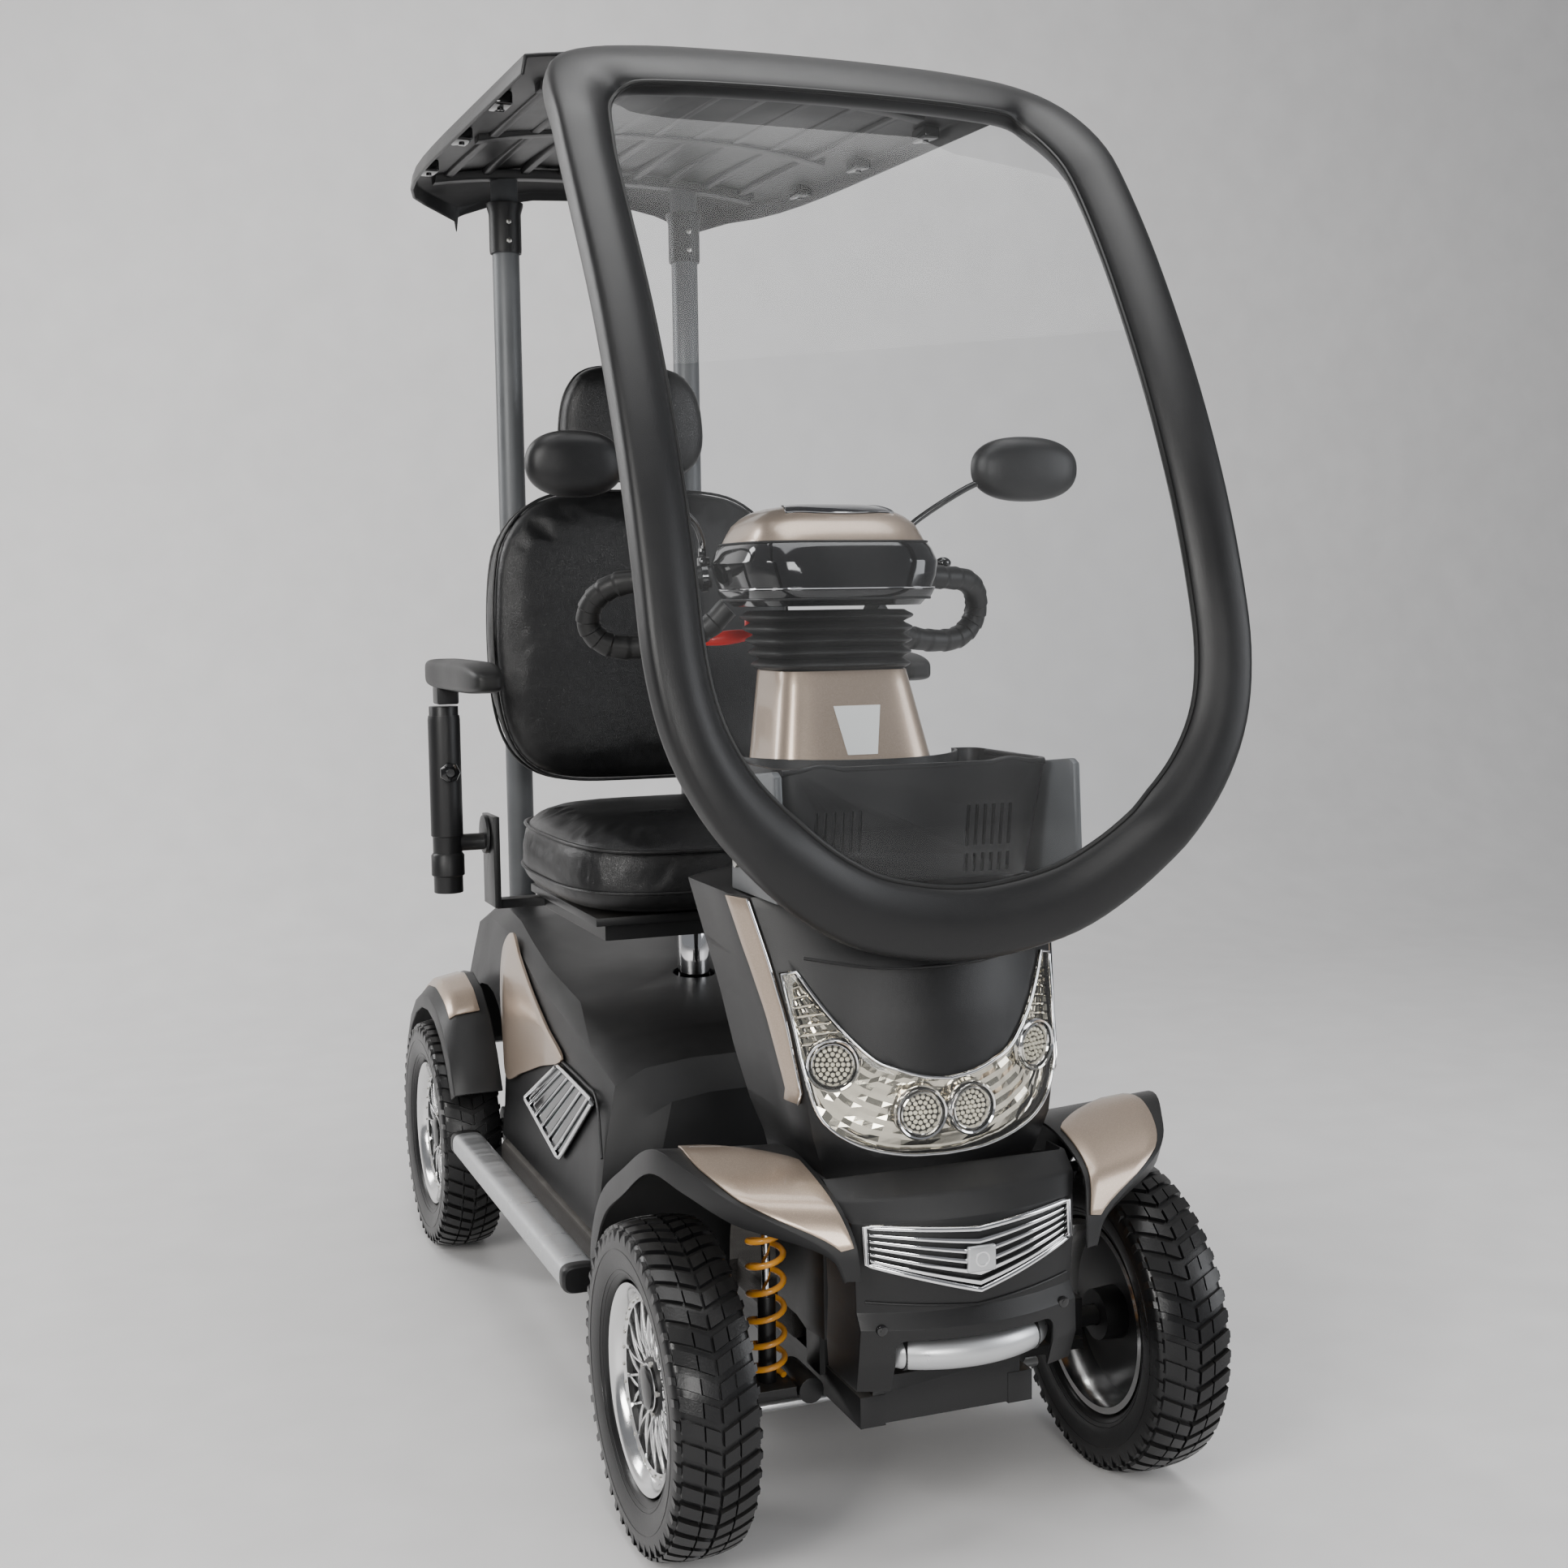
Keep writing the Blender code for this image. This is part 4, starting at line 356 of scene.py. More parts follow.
def worked(mesh, *modifiers):
    """The mesh after modifiers given as (type, {setting: value})."""
    holder = bpy.data.objects.new("holder", mesh)
    bpy.context.scene.collection.objects.link(holder)
    for kind, settings in modifiers:
        modifier = holder.modifiers.new(kind.lower(), kind)
        for setting, value in settings.items():
            setattr(modifier, setting, value)
    graph = bpy.context.evaluated_depsgraph_get()
    result = bpy.data.meshes.new_from_object(holder.evaluated_get(graph), depsgraph=graph)
    result.name = mesh.name
    bpy.data.objects.remove(holder)
    return result


def bevelled(mesh, width, segments=2, angle=32):
    return worked(mesh, ("BEVEL", {"width": width, "segments": segments, "limit_method": "ANGLE",
                                   "angle_limit": math.radians(angle), "harden_normals": False,
                                   "use_clamp_overlap": True}))


def cut(mesh, tools, operation="DIFFERENCE"):
    """The mesh with each tool mesh taken away, or joined."""
    holder = bpy.data.objects.new("holder", mesh)
    bpy.context.scene.collection.objects.link(holder)
    knives = []
    for tool in tools:
        knife = bpy.data.objects.new("tool", tool)
        bpy.context.scene.collection.objects.link(knife)
        knives.append(knife)
        modifier = holder.modifiers.new("cut", "BOOLEAN")
        modifier.object = knife
        modifier.operation = operation
        modifier.solver = "EXACT"
    graph = bpy.context.evaluated_depsgraph_get()
    result = bpy.data.meshes.new_from_object(holder.evaluated_get(graph), depsgraph=graph)
    for item in [holder] + knives:
        bpy.data.objects.remove(item)
    return result


def catmull(points, per, closed=False):
    """Points of a smooth curve through the given ones, as an array."""
    points = np.asarray(points, float)
    count = len(points)
    out = []
    spans = count if closed else count - 1
    for i in range(spans):
        p1, p2 = points[i], points[(i + 1) % count]
        p0 = points[i - 1] if closed or i > 0 else 2 * p1 - p2
        p3 = points[(i + 2) % count] if closed or i + 2 < count else 2 * p2 - p1
        for step in range(per):
            t = step / per
            out.append(0.5 * (2 * p1 + (p2 - p0) * t + (2 * p0 - 5 * p1 + 4 * p2 - p3) * t * t
                              + (3 * p1 - p0 - 3 * p2 + p3) * t ** 3))
    if not closed:
        out.append(points[-1])
    return np.array(out)


def finer(rows, along=1, across=1, loop=False, ring=False):
    """A net of points resampled on a smooth surface through it."""
    rows = np.asarray(rows, float)
    if across > 1:
        rows = np.array([catmull(row, across, ring) for row in rows])
    if along > 1:
        rows = np.stack([catmull(rows[:, i], along, loop) for i in range(rows.shape[1])], axis=1)
    return rows


def net(name, rows, ring=False, loop=False, cap=False, wall=0.0, bevel=0.0):
    """Surface over rows of points; closed across with ring, along with loop, ended with cap."""
    bm = bmesh.new()
    grid = [[bm.verts.new(p) for p in row] for row in rows]
    count, width = len(grid), len(grid[0])
    for i in range(count if loop else count - 1):
        a, b = grid[i], grid[(i + 1) % count]
        for j in range(width if ring else width - 1):
            k = (j + 1) % width
            quad = (a[j], a[k], b[k], b[j])
            if len(set(quad)) == 4:
                bm.faces.new(quad)
    if cap:
        bm.faces.new(list(reversed(grid[0])))
        bm.faces.new(grid[-1])
    mesh = to_mesh(name, bm)
    if wall:
        mesh = worked(mesh, ("SOLIDIFY", {"thickness": abs(wall), "offset": -1.0 if wall > 0 else 1.0,
                                          "use_even_offset": True}))
    return bevelled(mesh, bevel) if bevel else mesh


def solid(name, rows, bevel=0.0):
    """Closed body skinned over rings, with both ends filled."""
    return net(name, rows, ring=True, cap=True, bevel=bevel)


def box_mesh(low, high, bevel=0.0, segments=2):
    bm = bmesh.new()
    bmesh.ops.create_cube(bm, size=1.0)
    low, high = Vector(low), Vector(high)
    for vert in bm.verts:
        vert.co = Vector(((low[i] + high[i]) / 2 + vert.co[i] * abs(high[i] - low[i]) for i in range(3)))
    mesh = to_mesh("block", bm)
    return bevelled(mesh, bevel, segments) if bevel else mesh


def rod_mesh(start, end, radius, sides=32, bevel=0.0, end_radius=None):
    start, end = Vector(start), Vector(end)
    bm = bmesh.new()
    bmesh.ops.create_cone(bm, cap_ends=True, segments=sides, radius1=radius,
                          radius2=radius if end_radius is None else end_radius, depth=(end - start).length)
    turn = Vector((0, 0, 1)).rotation_difference(end - start).to_matrix().to_4x4()
    bmesh.ops.transform(bm, matrix=Matrix.Translation((start + end) / 2) @ turn, verts=bm.verts)
    mesh = to_mesh("rod", bm)
    return bevelled(mesh, bevel, 2, 50) if bevel else mesh


def tube_mesh(points, radius, sides=16, closed=False):
    """Round tube along a path; the radius may be a number or one for each point."""
    points = [Vector(p) for p in points]
    count = len(points)
    radii = [radius] * count if isinstance(radius, (int, float)) else radius
    rows = []
    normal = None
    for i, point in enumerate(points):
        ahead = points[(i + 1) % count] if closed or i + 1 < count else point
        behind = points[i - 1] if closed or i > 0 else point
        tangent = (ahead - behind).normalized()
        if normal is None:
            normal = tangent.orthogonal().normalized()
        normal = (normal - tangent * normal.dot(tangent)).normalized()
        side = tangent.cross(normal)
        rows.append([point + (normal * math.cos(a) + side * math.sin(a)) * radii[i]
                     for a in (2 * math.pi * s / sides for s in range(sides))])
    return net("tube", rows, ring=True, loop=closed, cap=not closed)


def revolve(profile, steps=64, axis="X", centre=(0, 0, 0)):
    """Closed profile of (along, radius) points turned about an axis through the centre."""
    rows = []
    for step in range(steps):
        angle = 2 * math.pi * step / steps
        c, s = math.cos(angle), math.sin(angle)
        if axis == "X":
            row = [(a, r * c, r * s) for a, r in profile]
        elif axis == "Y":
            row = [(r * c, a, r * s) for a, r in profile]
        else:
            row = [(r * c, r * s, a) for a, r in profile]
        rows.append([Vector(p) + Vector(centre) for p in row])
    return net("revolved", rows, ring=True, loop=True)


def moved(mesh, matrix):
    mesh = mesh.copy()
    mesh.transform(matrix)
    if matrix.determinant() < 0:
        mesh.flip_normals()
    return mesh


def joined(name, meshes):
    bm = bmesh.new()
    for mesh in meshes:
        bm.from_mesh(mesh)
    out = bpy.data.meshes.new(name)
    bm.to_mesh(out)
    bm.free()
    return out


def refined(node, bevel=0.0012, segments=2, levels=0, crease=50, material=None, quads=True, angle=38):
    """A CAD node's own shape with its edges rounded and its panels smoothed."""
    mesh = NODES[node].data.copy()
    bm = bmesh.new()
    bm.from_mesh(mesh)
    bmesh.ops.remove_doubles(bm, verts=bm.verts, dist=2e-5)
    bmesh.ops.dissolve_limit(bm, angle_limit=math.radians(1.0), verts=bm.verts, edges=bm.edges)
    if quads:
        bmesh.ops.join_triangles(bm, faces=bm.faces, angle_face_threshold=math.radians(28),
                                 angle_shape_threshold=math.radians(50))
    if levels:
        layer = bm.edges.layers.float.get("crease_edge") or bm.edges.layers.float.new("crease_edge")
        for edge in bm.edges:
            if edge.calc_face_angle(0.0) > math.radians(crease):
                edge[layer] = 0.75
    mesh = to_mesh(node, bm)
    if bevel:
        mesh = bevelled(mesh, bevel, segments)
    if levels:
        mesh = worked(mesh, ("SUBSURF", {"levels": levels, "render_levels": levels}))
    piece = shown("shaped_" + node, mesh, node, material or NODE_SLOT[node], replaces=(node,))
    shade(piece, angle)
    return piece


# ---- Geometry Nodes trees ---------------------------------------------------------------------
def array_tree(name, circular):
    """Tree that repeats its input: Count copies turned round Z, or set out by a Step vector."""
    tree = bpy.data.node_groups.new(name, "GeometryNodeTree")
    face = tree.interface
    face.new_socket("Geometry", in_out="INPUT", socket_type="NodeSocketGeometry")
    face.new_socket("Count", in_out="INPUT", socket_type="NodeSocketInt").default_value = 8
    if circular:
        face.new_socket("Turn", in_out="INPUT", socket_type="NodeSocketFloat").default_value = 2 * math.pi
    else:
        face.new_socket("Step", in_out="INPUT", socket_type="NodeSocketVector").default_value = (0, 0, 0.01)
    face.new_socket("Material", in_out="INPUT", socket_type="NodeSocketMaterial")
    face.new_socket("Geometry", in_out="OUTPUT", socket_type="NodeSocketGeometry")
    nodes, links = tree.nodes, tree.links
    source, sink = nodes.new("NodeGroupInput"), nodes.new("NodeGroupOutput")
    points = nodes.new("GeometryNodePoints")
    index = nodes.new("GeometryNodeInputIndex")
    place = nodes.new("GeometryNodeInstanceOnPoints")
    links.new(source.outputs["Count"], points.inputs["Count"])
    if circular:
        share = nodes.new("ShaderNodeMath")
        share.operation = "DIVIDE"
        links.new(index.outputs[0], share.inputs[0])
        links.new(source.outputs["Count"], share.inputs[1])
        angle = nodes.new("ShaderNodeMath")
        angle.operation = "MULTIPLY"
        links.new(share.outputs[0], angle.inputs[0])
        links.new(source.outputs["Turn"], angle.inputs[1])
        turn = nodes.new("ShaderNodeCombineXYZ")
        links.new(angle.outputs[0], turn.inputs["Z"])
        links.new(turn.outputs[0], place.inputs["Rotation"])
    else:
        scale = nodes.new("ShaderNodeVectorMath")
        scale.operation = "SCALE"
        links.new(source.outputs["Step"], scale.inputs[0])
        links.new(index.outputs[0], scale.inputs["Scale"])
        links.new(scale.outputs[0], points.inputs["Position"])
    links.new(points.outputs[0], place.inputs["Points"])
    links.new(source.outputs["Geometry"], place.inputs["Instance"])
    realize = nodes.new("GeometryNodeRealizeInstances")
    paint = nodes.new("GeometryNodeSetMaterial")
    links.new(place.outputs[0], realize.inputs[0])
    links.new(realize.outputs[0], paint.inputs["Geometry"])
    links.new(source.outputs["Material"], paint.inputs["Material"])
    links.new(paint.outputs[0], sink.inputs[0])
    return tree


RING_TREE = array_tree("repeat_round", True)
ROW_TREE = array_tree("repeat_along", False)


def repeated(mesh, count, material, turn=None, step=None):
    """Plain mesh of the item repeated by a tree; turn is in radians for a full set, step is a vector."""
    tree = ROW_TREE if step is not None else RING_TREE
    holder = bpy.data.objects.new("item", mesh)
    bpy.context.scene.collection.objects.link(holder)
    modifier = holder.modifiers.new("repeat", "NODES")
    modifier.node_group = tree
    sockets = {item.name: item.identifier for item in tree.interface.items_tree if item.in_out == "INPUT"}
    modifier[sockets["Count"]] = count
    modifier[sockets["Material"]] = MAT[material]
    if step is not None:
        modifier[sockets["Step"]] = step
    else:
        modifier[sockets["Turn"]] = turn or 2 * math.pi
    graph = bpy.context.evaluated_depsgraph_get()
    result = bpy.data.meshes.new_from_object(holder.evaluated_get(graph), depsgraph=graph)
    bpy.data.objects.remove(holder)
    return result


Z_TO_X = Matrix.Rotation(math.pi / 2, 4, "Y")


# ---- stage ------------------------------------------------------------------------------------
def make_stage():
    floor_material = finish_material("studio_floor", (0.74, 0.73, 0.725), 0.55, grain=60, relief=0.05,
                                     tint=0.03)
    rows = []
    for step in range(25):
        share = step / 24
        if share < 0.5:
            y, z = -6.0 + share * 2 * 8.2, 0.0
        else:
            bend = min((share - 0.5) / 0.25, 1.0) * math.pi / 2
            y = 2.2 + 1.2 * math.sin(bend)
            z = 1.2 * (1 - math.cos(bend)) + max(share - 0.75, 0.0) / 0.25 * 5.0
        rows.append([(x, y, z) for x in (-9.0, 0.0, 9.0)])
    mesh = net("studio_sweep", rows)
    sweep = bpy.data.objects.new("studio_sweep", mesh)
    bpy.context.scene.collection.objects.link(sweep)
    sweep.data.materials.append(floor_material)
    shade(sweep, 60)

    def lamp(name, place, aim, power, width, height, colour=(1, 1, 1)):
        data = bpy.data.lights.new(name, "AREA")
        data.shape = "RECTANGLE"
        data.size, data.size_y = width, height
        data.energy = power
        data.color = colour
        item = bpy.data.objects.new(name, data)
        item.location = place
        item.rotation_euler = (Vector(aim) - Vector(place)).to_track_quat("-Z", "Y").to_euler()
        bpy.context.scene.collection.objects.link(item)

    lamp("key_left", (-3.4, -3.0, 2.6), (0, 0, 0.8), 150, 1.6, 2.0, (1.0, 0.985, 0.96))
    lamp("fill_right", (3.4, -2.6, 1.8), (0, 0, 0.7), 60, 1.6, 2.2, (0.95, 0.97, 1.0))
    lamp("top_panel", (0.2, -0.6, 4.2), (0, 0, 0), 120, 3.0, 3.0)
    lamp("front_card", (-0.6, -4.6, 1.6), (0, 0, 0.7), 55, 1.2, 0.9, (1.0, 0.99, 0.97))
    lamp("rim_back", (-2.4, 2.0, 2.4), (0, 0.2, 0.8), 60, 0.8, 2.2)
    world = bpy.data.worlds.new("studio")
    world.use_nodes = True
    world.node_tree.nodes["Background"].inputs["Color"].default_value = (0.82, 0.84, 0.88, 1)
    world.node_tree.nodes["Background"].inputs["Strength"].default_value = 0.26
    bpy.context.scene.world = world

    data = bpy.data.cameras.new("camera")
    data.sensor_fit = "HORIZONTAL"
    data.sensor_width = 36.0
    data.lens = 45.1
    camera = bpy.data.objects.new("camera", data)
    yaw, pitch, roll = math.radians(21.05), math.radians(5.37), -0.01376
    look = Vector((math.sin(yaw) * math.cos(pitch), math.cos(yaw) * math.cos(pitch), -math.sin(pitch)))
    right = Vector((math.cos(yaw), -math.sin(yaw), 0.0))
    up = right.cross(look)
    right_rolled = right * math.cos(roll) + up * math.sin(roll)
    up_rolled = up * math.cos(roll) - right * math.sin(roll)
    turn = Matrix((right_rolled, up_rolled, -look)).transposed().to_4x4()
    camera.matrix_world = Matrix.Translation((-0.915, -2.594, 1.051)) @ turn
    bpy.context.scene.collection.objects.link(camera)
    bpy.context.scene.camera = camera


make_stage()

# ---- canopy -----------------------------------------------------------------------------------
HOOP_STATIONS = ((0.0, 0.707), (0.100, 0.722), (0.166, 0.754), (0.226, 0.803), (0.272, 0.856),
                 (0.303, 0.918), (0.317, 0.990), (0.319, 1.080), (0.319, 1.220), (0.319, 1.360),
                 (0.320, 1.480), (0.317, 1.565), (0.303, 1.625), (0.266, 1.657), (0.190, 1.668),
                 (0.095, 1.672), (0.0, 1.673))
HOOP_SECTION = ((0.50, 0.10), (0.42, 0.42), (0.12, 0.50), (-0.20, 0.42), (-0.50, 0.12),
                (-0.50, -0.16), (-0.34, -0.42), (0.0, -0.50), (0.36, -0.42), (0.50, -0.14))
HOOP_DEPTH = 0.046
CREST_TURN = math.radians(24)
CREST_SHIFT = 0.028


def screen_y(height):
    rise = height - 0.800
    return back(-0.190) + 0.525 * max(rise, 0.0) ** 1.9 + 0.2 * max(-rise, 0.0)


def hoop_width(x, height):
    if height > 1.60:
        return 0.061 + 0.079 * min((height - 1.60) / 0.085, 1.0) * (1.0 if abs(x) < 0.27 else 0.55)
    return 0.061 + 0.017 * min(max(0.90 - height, 0.0) / 0.18, 1.0)


def hoop_path(per):
    half = [(x, z) for x, z in HOOP_STATIONS]
    whole = half + [(-x, z) for x, z in reversed(half[1:-1])]
    return [Vector((x, screen_y(z), z)) for x, z in catmull(whole, per, closed=True)]


def make_hoop():
    path = hoop_path(5)
    rows = []
    widths = [hoop_width(p.x, p.z) for p in path]
    span = 5
    for i, point in enumerate(path):
        tangent = (path[(i + 1) % len(path)] - path[i - 1]).normalized()
        slope = (screen_y(point.z + 0.01) - screen_y(point.z - 0.01)) / 0.02
        face = Vector((0, -1, slope)).normalized()
        outward = tangent.cross(face).normalized()
        if outward.dot(point - Vector((0, screen_y(1.2), 1.2))) < 0:
            outward.negate()
        width = sum(widths[(i + k) % len(path)] for k in range(-span, span + 1)) / (2 * span + 1)
        share = min(max((point.z - 1.56) / 0.10, 0.0), 1.0)
        share = share * share * (3 - 2 * share)
        bend = Matrix.Rotation(-CREST_TURN * share, 3, "X")
        outward, face = bend @ outward, bend @ face
        centre = point + Vector((0, CREST_SHIFT * share, 0))
        rows.append([centre + outward * (width * u) + face * (HOOP_DEPTH * v) for u, v in HOOP_SECTION])
    rows = finer(rows, across=3, ring=True)
    shown("hoop_moulding", net("hoop", rows, ring=True, loop=True), "canopy_hoop", "matte_black",
          replaces=("canopy_hoop",))
    groove = []
    for row in rows:
        centre = Vector(row.mean(axis=0))
        inner = Vector(row[13])
        groove.append(inner + (inner - centre).normalized() * 0.0006)
    shown("hoop_screen_seal", tube_mesh(groove, 0.0028, 8, closed=True), "canopy_hoop", "gaiter_rubber")


def make_windscreen():
    side = [(z, x) for x, z in HOOP_STATIONS[:-4]]
    heights = np.linspace(0.752, 1.655, 46)
    table_z, table_x = [z for z, _ in side], [x for _, x in side]
    rows = []
    for height in heights:
        half = float(np.interp(height, table_z, table_x)) - 0.026
        if height > 1.56:
            half = 0.294 - 0.030 * (height - 1.56) / 0.1
        shift = CREST_SHIFT * min(max((height - 1.56) / 0.10, 0.0), 1.0)
        rows.append([(half * share, screen_y(height) + shift, height) for share in np.linspace(-1, 1, 17)])
    shown("screen_sheet", net("screen", rows, wall=0.0028), "windscreen", "clear_plastic",
          replaces=("windscreen",))


def roof_height(x, behind):
    rear = (behind - 0.345) / 0.98
    side = min(abs(x) / 0.330, 1.0)
    crown = 0.022 + 0.018 * math.sin(math.pi * min(max(rear, 0.0), 1.0))
    return 1.704 + 0.026 * rear + crown * (1 - side ** 2.6)


def make_roof():
    mesh = refined("canopy_roof", bevel=0.0025, segments=3, angle=50)
    mesh.name = "roof_shell"
    meshes = []
    for k in range(-4, 5):
        x = k * 0.062
        rows = []
        for behind in np.linspace(0.45, 1.19, 26):
            z = roof_height(x, behind) - 0.006
            swell = 0.5 * (1 + math.cos(2 * math.pi * (behind - 0.45) / 0.74))
            deep = 0.011 - 0.004 * swell
            rows.append([(x - 0.009, back(behind), z), (x - 0.006, back(behind), z - deep),
                         (x + 0.006, back(behind), z - deep), (x + 0.009, back(behind), z)])
        meshes.append(solid("rib", rows, bevel=0.0015))
    shown("roof_ribs", joined("roof_ribs", meshes), "canopy_roof", "matte_black")
    rows = []
    for x in np.linspace(-0.215, 0.215, 24):
        front, rear = 1.7010 - 0.004 * (x / 0.215) ** 2, roof_height(x, 0.375) - 0.0040
        rows.append([(x, -0.292, front), (x, -0.245, (front + rear) / 2 + 0.002), (x, back(0.375), rear),
                     (x, back(0.375), rear - 0.006), (x, -0.245, (front + rear) / 2 - 0.006),
                     (x, -0.292, front - 0.008)])
    shown("roof_front_lip", solid("lip", rows, bevel=0.0015), "canopy_roof", "matte_black")
    clips = []
    for side in (-1, 1):
        for behind in (0.56, 0.80, 1.04):
            z = roof_height(side * 0.305, behind)
            low = (side * 0.305 - 0.012, back(behind) - 0.022, z - 0.024)
            high = (side * 0.305 + 0.012, back(behind) + 0.022, z - 0.006)
            clips.append(box_mesh(low, high, 0.003, 3))
            clips.append(rod_mesh((side * 0.305, back(behind), z - 0.027),
                                  (side * 0.305, back(behind), z - 0.020),
                                  0.0045, 6, 0.0008))
    shown("roof_clips", joined("roof_clips", clips), "canopy_roof", "gloss_black")
    beam = []
    for y in (0.50, 0.86, 1.18):
        rows = []
        for x in np.linspace(-0.27, 0.27, 24):
            z = roof_height(x, y) - 0.005
            rows.append([(x, back(y) - 0.018, z), (x, back(y) - 0.013, z - 0.014),
                         (x, back(y) + 0.013, z - 0.014), (x, back(y) + 0.018, z)])
        beam.append(solid("beam", rows, bevel=0.002))
    shown("roof_cross_ribs", joined("roof_cross_ribs", beam), "canopy_roof", "matte_black")
    for word, side in SIDES:
        low, high = corners("canopy_post_" + word)
        x, y = (low.x + high.x) / 2, (low.y + high.y) / 2
        profile = [(1.617, 0.0232), (1.617, 0.0255), (1.622, 0.0262), (1.680, 0.0262), (1.693, 0.0300),
                   (1.697, 0.0300), (1.697, 0.0232)]
        socket = revolve(profile, 40, "Z", (x, y, 0))
        shown("post_socket_" + word, socket, "canopy_post_" + word, "matte_black")
        screws = [rod_mesh((x, y - 0.0275, z), (x, y - 0.0245, z), 0.0045, 6, 0.0006) for z in (1.635, 1.665)]
        shown("socket_screws_" + word, joined("socket_screws", screws), "canopy_post_" + word, "steel")


# ---- cowl and lamp ----------------------------------------------------------------------------
COWL_STATIONS = (
    (0.228, -0.060, 0.118, 0.010, 0.118, 0.130), (0.400, -0.080, 0.124, 0.015, 0.124, 0.134),
    (0.430, -0.112, 0.130, 0.030, 0.130, 0.136), (0.470, -0.124, 0.144, 0.036, 0.145, 0.142),
    (0.530, -0.128, 0.153, 0.042, 0.160, 0.152), (0.600, -0.116, 0.160, 0.052, 0.172, 0.166),
    (0.660, -0.098, 0.170, 0.058, 0.184, 0.182), (0.726, -0.074, 0.184, 0.060, 0.196, 0.204),
    (0.731, 0.036, 0.106, 0.030, 0.106, 0.238), (0.809, 0.055, 0.098, 0.028, 0.098, 0.253))


def cowl_at(height):
    table = np.array(COWL_STATIONS)
    return [float(np.interp(height, table[:, 0], table[:, i])) for i in range(1, 6)]


def cowl_face(x, height):
    centre, half, sweep = cowl_at(height)[:3]
    return back(centre + sweep * min(abs(x) / half, 1.0) ** 2)


def cowl_ring(height, per=1):
    centre, half, sweep, rear_half, rear = cowl_at(height)
    shares = np.linspace(0, 1, 4 * per + 1)
    side = [(half * share, centre + sweep * share ** 2) for share in shares]
    side += [(half * 0.45 + rear_half * 0.55 + 0.006, centre + sweep + 0.040),
             (rear_half, centre + sweep + 0.085), (rear_half, rear - 0.035), (rear_half - 0.030, rear)]
    return [Vector((x, back(y), height)) for x, y in side]


def cowl_strip_point(height, along, off):
    """Point on the cowl's side, measured back from the shield's edge and lifted off it."""
    ring = cowl_ring(height)[4:]
    for a, b in zip(ring, ring[1:]):
        length = (b - a).length
        if along <= length:
            break
        along -= length
    direction = (b - a).normalized()
    outward = Vector((direction.y, -direction.x, 0))
    if outward.x < 0:
        outward.negate()
    return a + direction * along + outward * off


HEADLIGHT_OUTER = ((0.0, 0.446), (0.05, 0.449), (0.10, 0.463), (0.135, 0.489),
                   (0.150, 0.530), (0.157, 0.585), (0.164, 0.645))
HEADLIGHT_INNER = ((0.0, 0.532), (0.03, 0.536), (0.058, 0.545), (0.082, 0.556),
                   (0.108, 0.583), (0.131, 0.615), (0.150, 0.648))


def lamp_edges(per=4):
    """Matching outer and inner outline points of the U-shaped lamp, from one tip to the other."""
    outer = catmull([(x, z) for x, z in HEADLIGHT_OUTER], per)
    inner = catmull([(x, z) for x, z in HEADLIGHT_INNER], per)
    outer = [(-x, z) for x, z in reversed(outer[1:])] + [tuple(p) for p in outer]
    inner = [(-x, z) for x, z in reversed(inner[1:])] + [tuple(p) for p in inner]
    return outer, inner


def lamp_surface(depth, grow=0.0, across=9, jag=0.0):
    rows = []
    outer, inner = lamp_edges()
    for i, ((ox, oz), (ix, iz)) in enumerate(zip(outer, inner)):
        row = []
        gap = Vector((ox - ix, 0, oz - iz)).normalized() * grow
        for j, share in enumerate(np.linspace(0, 1, across)):
            point = Vector((ox, 0, oz)).lerp(Vector((ix, 0, iz)), share) + gap * (1 - 2 * share)
            bowl = math.sin(math.pi * share) ** 0.5 * jag
            facet = (0.0016 if (i // 3 + j // 2) % 2 else 0.0) * (1 if jag else 0)
            point.y = cowl_face(point.x, point.z) + depth + bowl + facet
            row.append(point)
        rows.append(row)
    return rows


def lamp_window(grow, front, rear):
    rows = []
    for a, b in zip(lamp_surface(front, grow, 5), lamp_surface(rear, grow, 5)):
        rows.append(a + list(reversed(b)))
    for point in rows[0] + rows[-1]:
        point.z += grow
    return solid("lamp_window", rows)


def led_unit(centre, tilt):
    """Bezel, reflector ring and beads of one lamp, looking forward; returned by material."""
    place = Matrix.Translation(centre) @ Matrix.Rotation(tilt, 4, "Z") @ Matrix.Rotation(math.radians(90),
                                                                                         4, "X")
    bezel = revolve([(0.000, 0.0300), (0.006, 0.0300), (0.009, 0.0280), (0.008, 0.0262), (0.001, 0.0250)],
                    48, "Z")
    inner = revolve([(-0.002, 0.0235), (0.006, 0.0235), (0.007, 0.0222), (0.004, 0.0205),
                     (-0.002, 0.0205)], 40, "Z")
    plate = rod_mesh((0, 0, -0.004), (0, 0, 0.0005), 0.0215, 40, 0.0008)
    bead = bmesh.new()
    bmesh.ops.create_icosphere(bead, subdivisions=2, radius=0.0026)
    bead_mesh = to_mesh("bead", bead)
    rings = [moved(bead_mesh, Matrix.Translation((0, 0, 0.0015)))]
    for count, radius in ((6, 0.0058), (12, 0.0114), (18, 0.0170)):
        rings.append(repeated(moved(bead_mesh, Matrix.Translation((radius, 0, 0.0012))), count, "led"))
    cup = revolve([(-0.002, 0.0245), (0.0015, 0.0285), (0.0005, 0.0290), (-0.004, 0.0245)], 24, "Z")
    return {"chrome": [moved(m, place) for m in (bezel, inner)],
            "led": [moved(m, place) for m in rings],
            "matte_black": [moved(plate, place)], "reflector": [moved(cup, place)]}


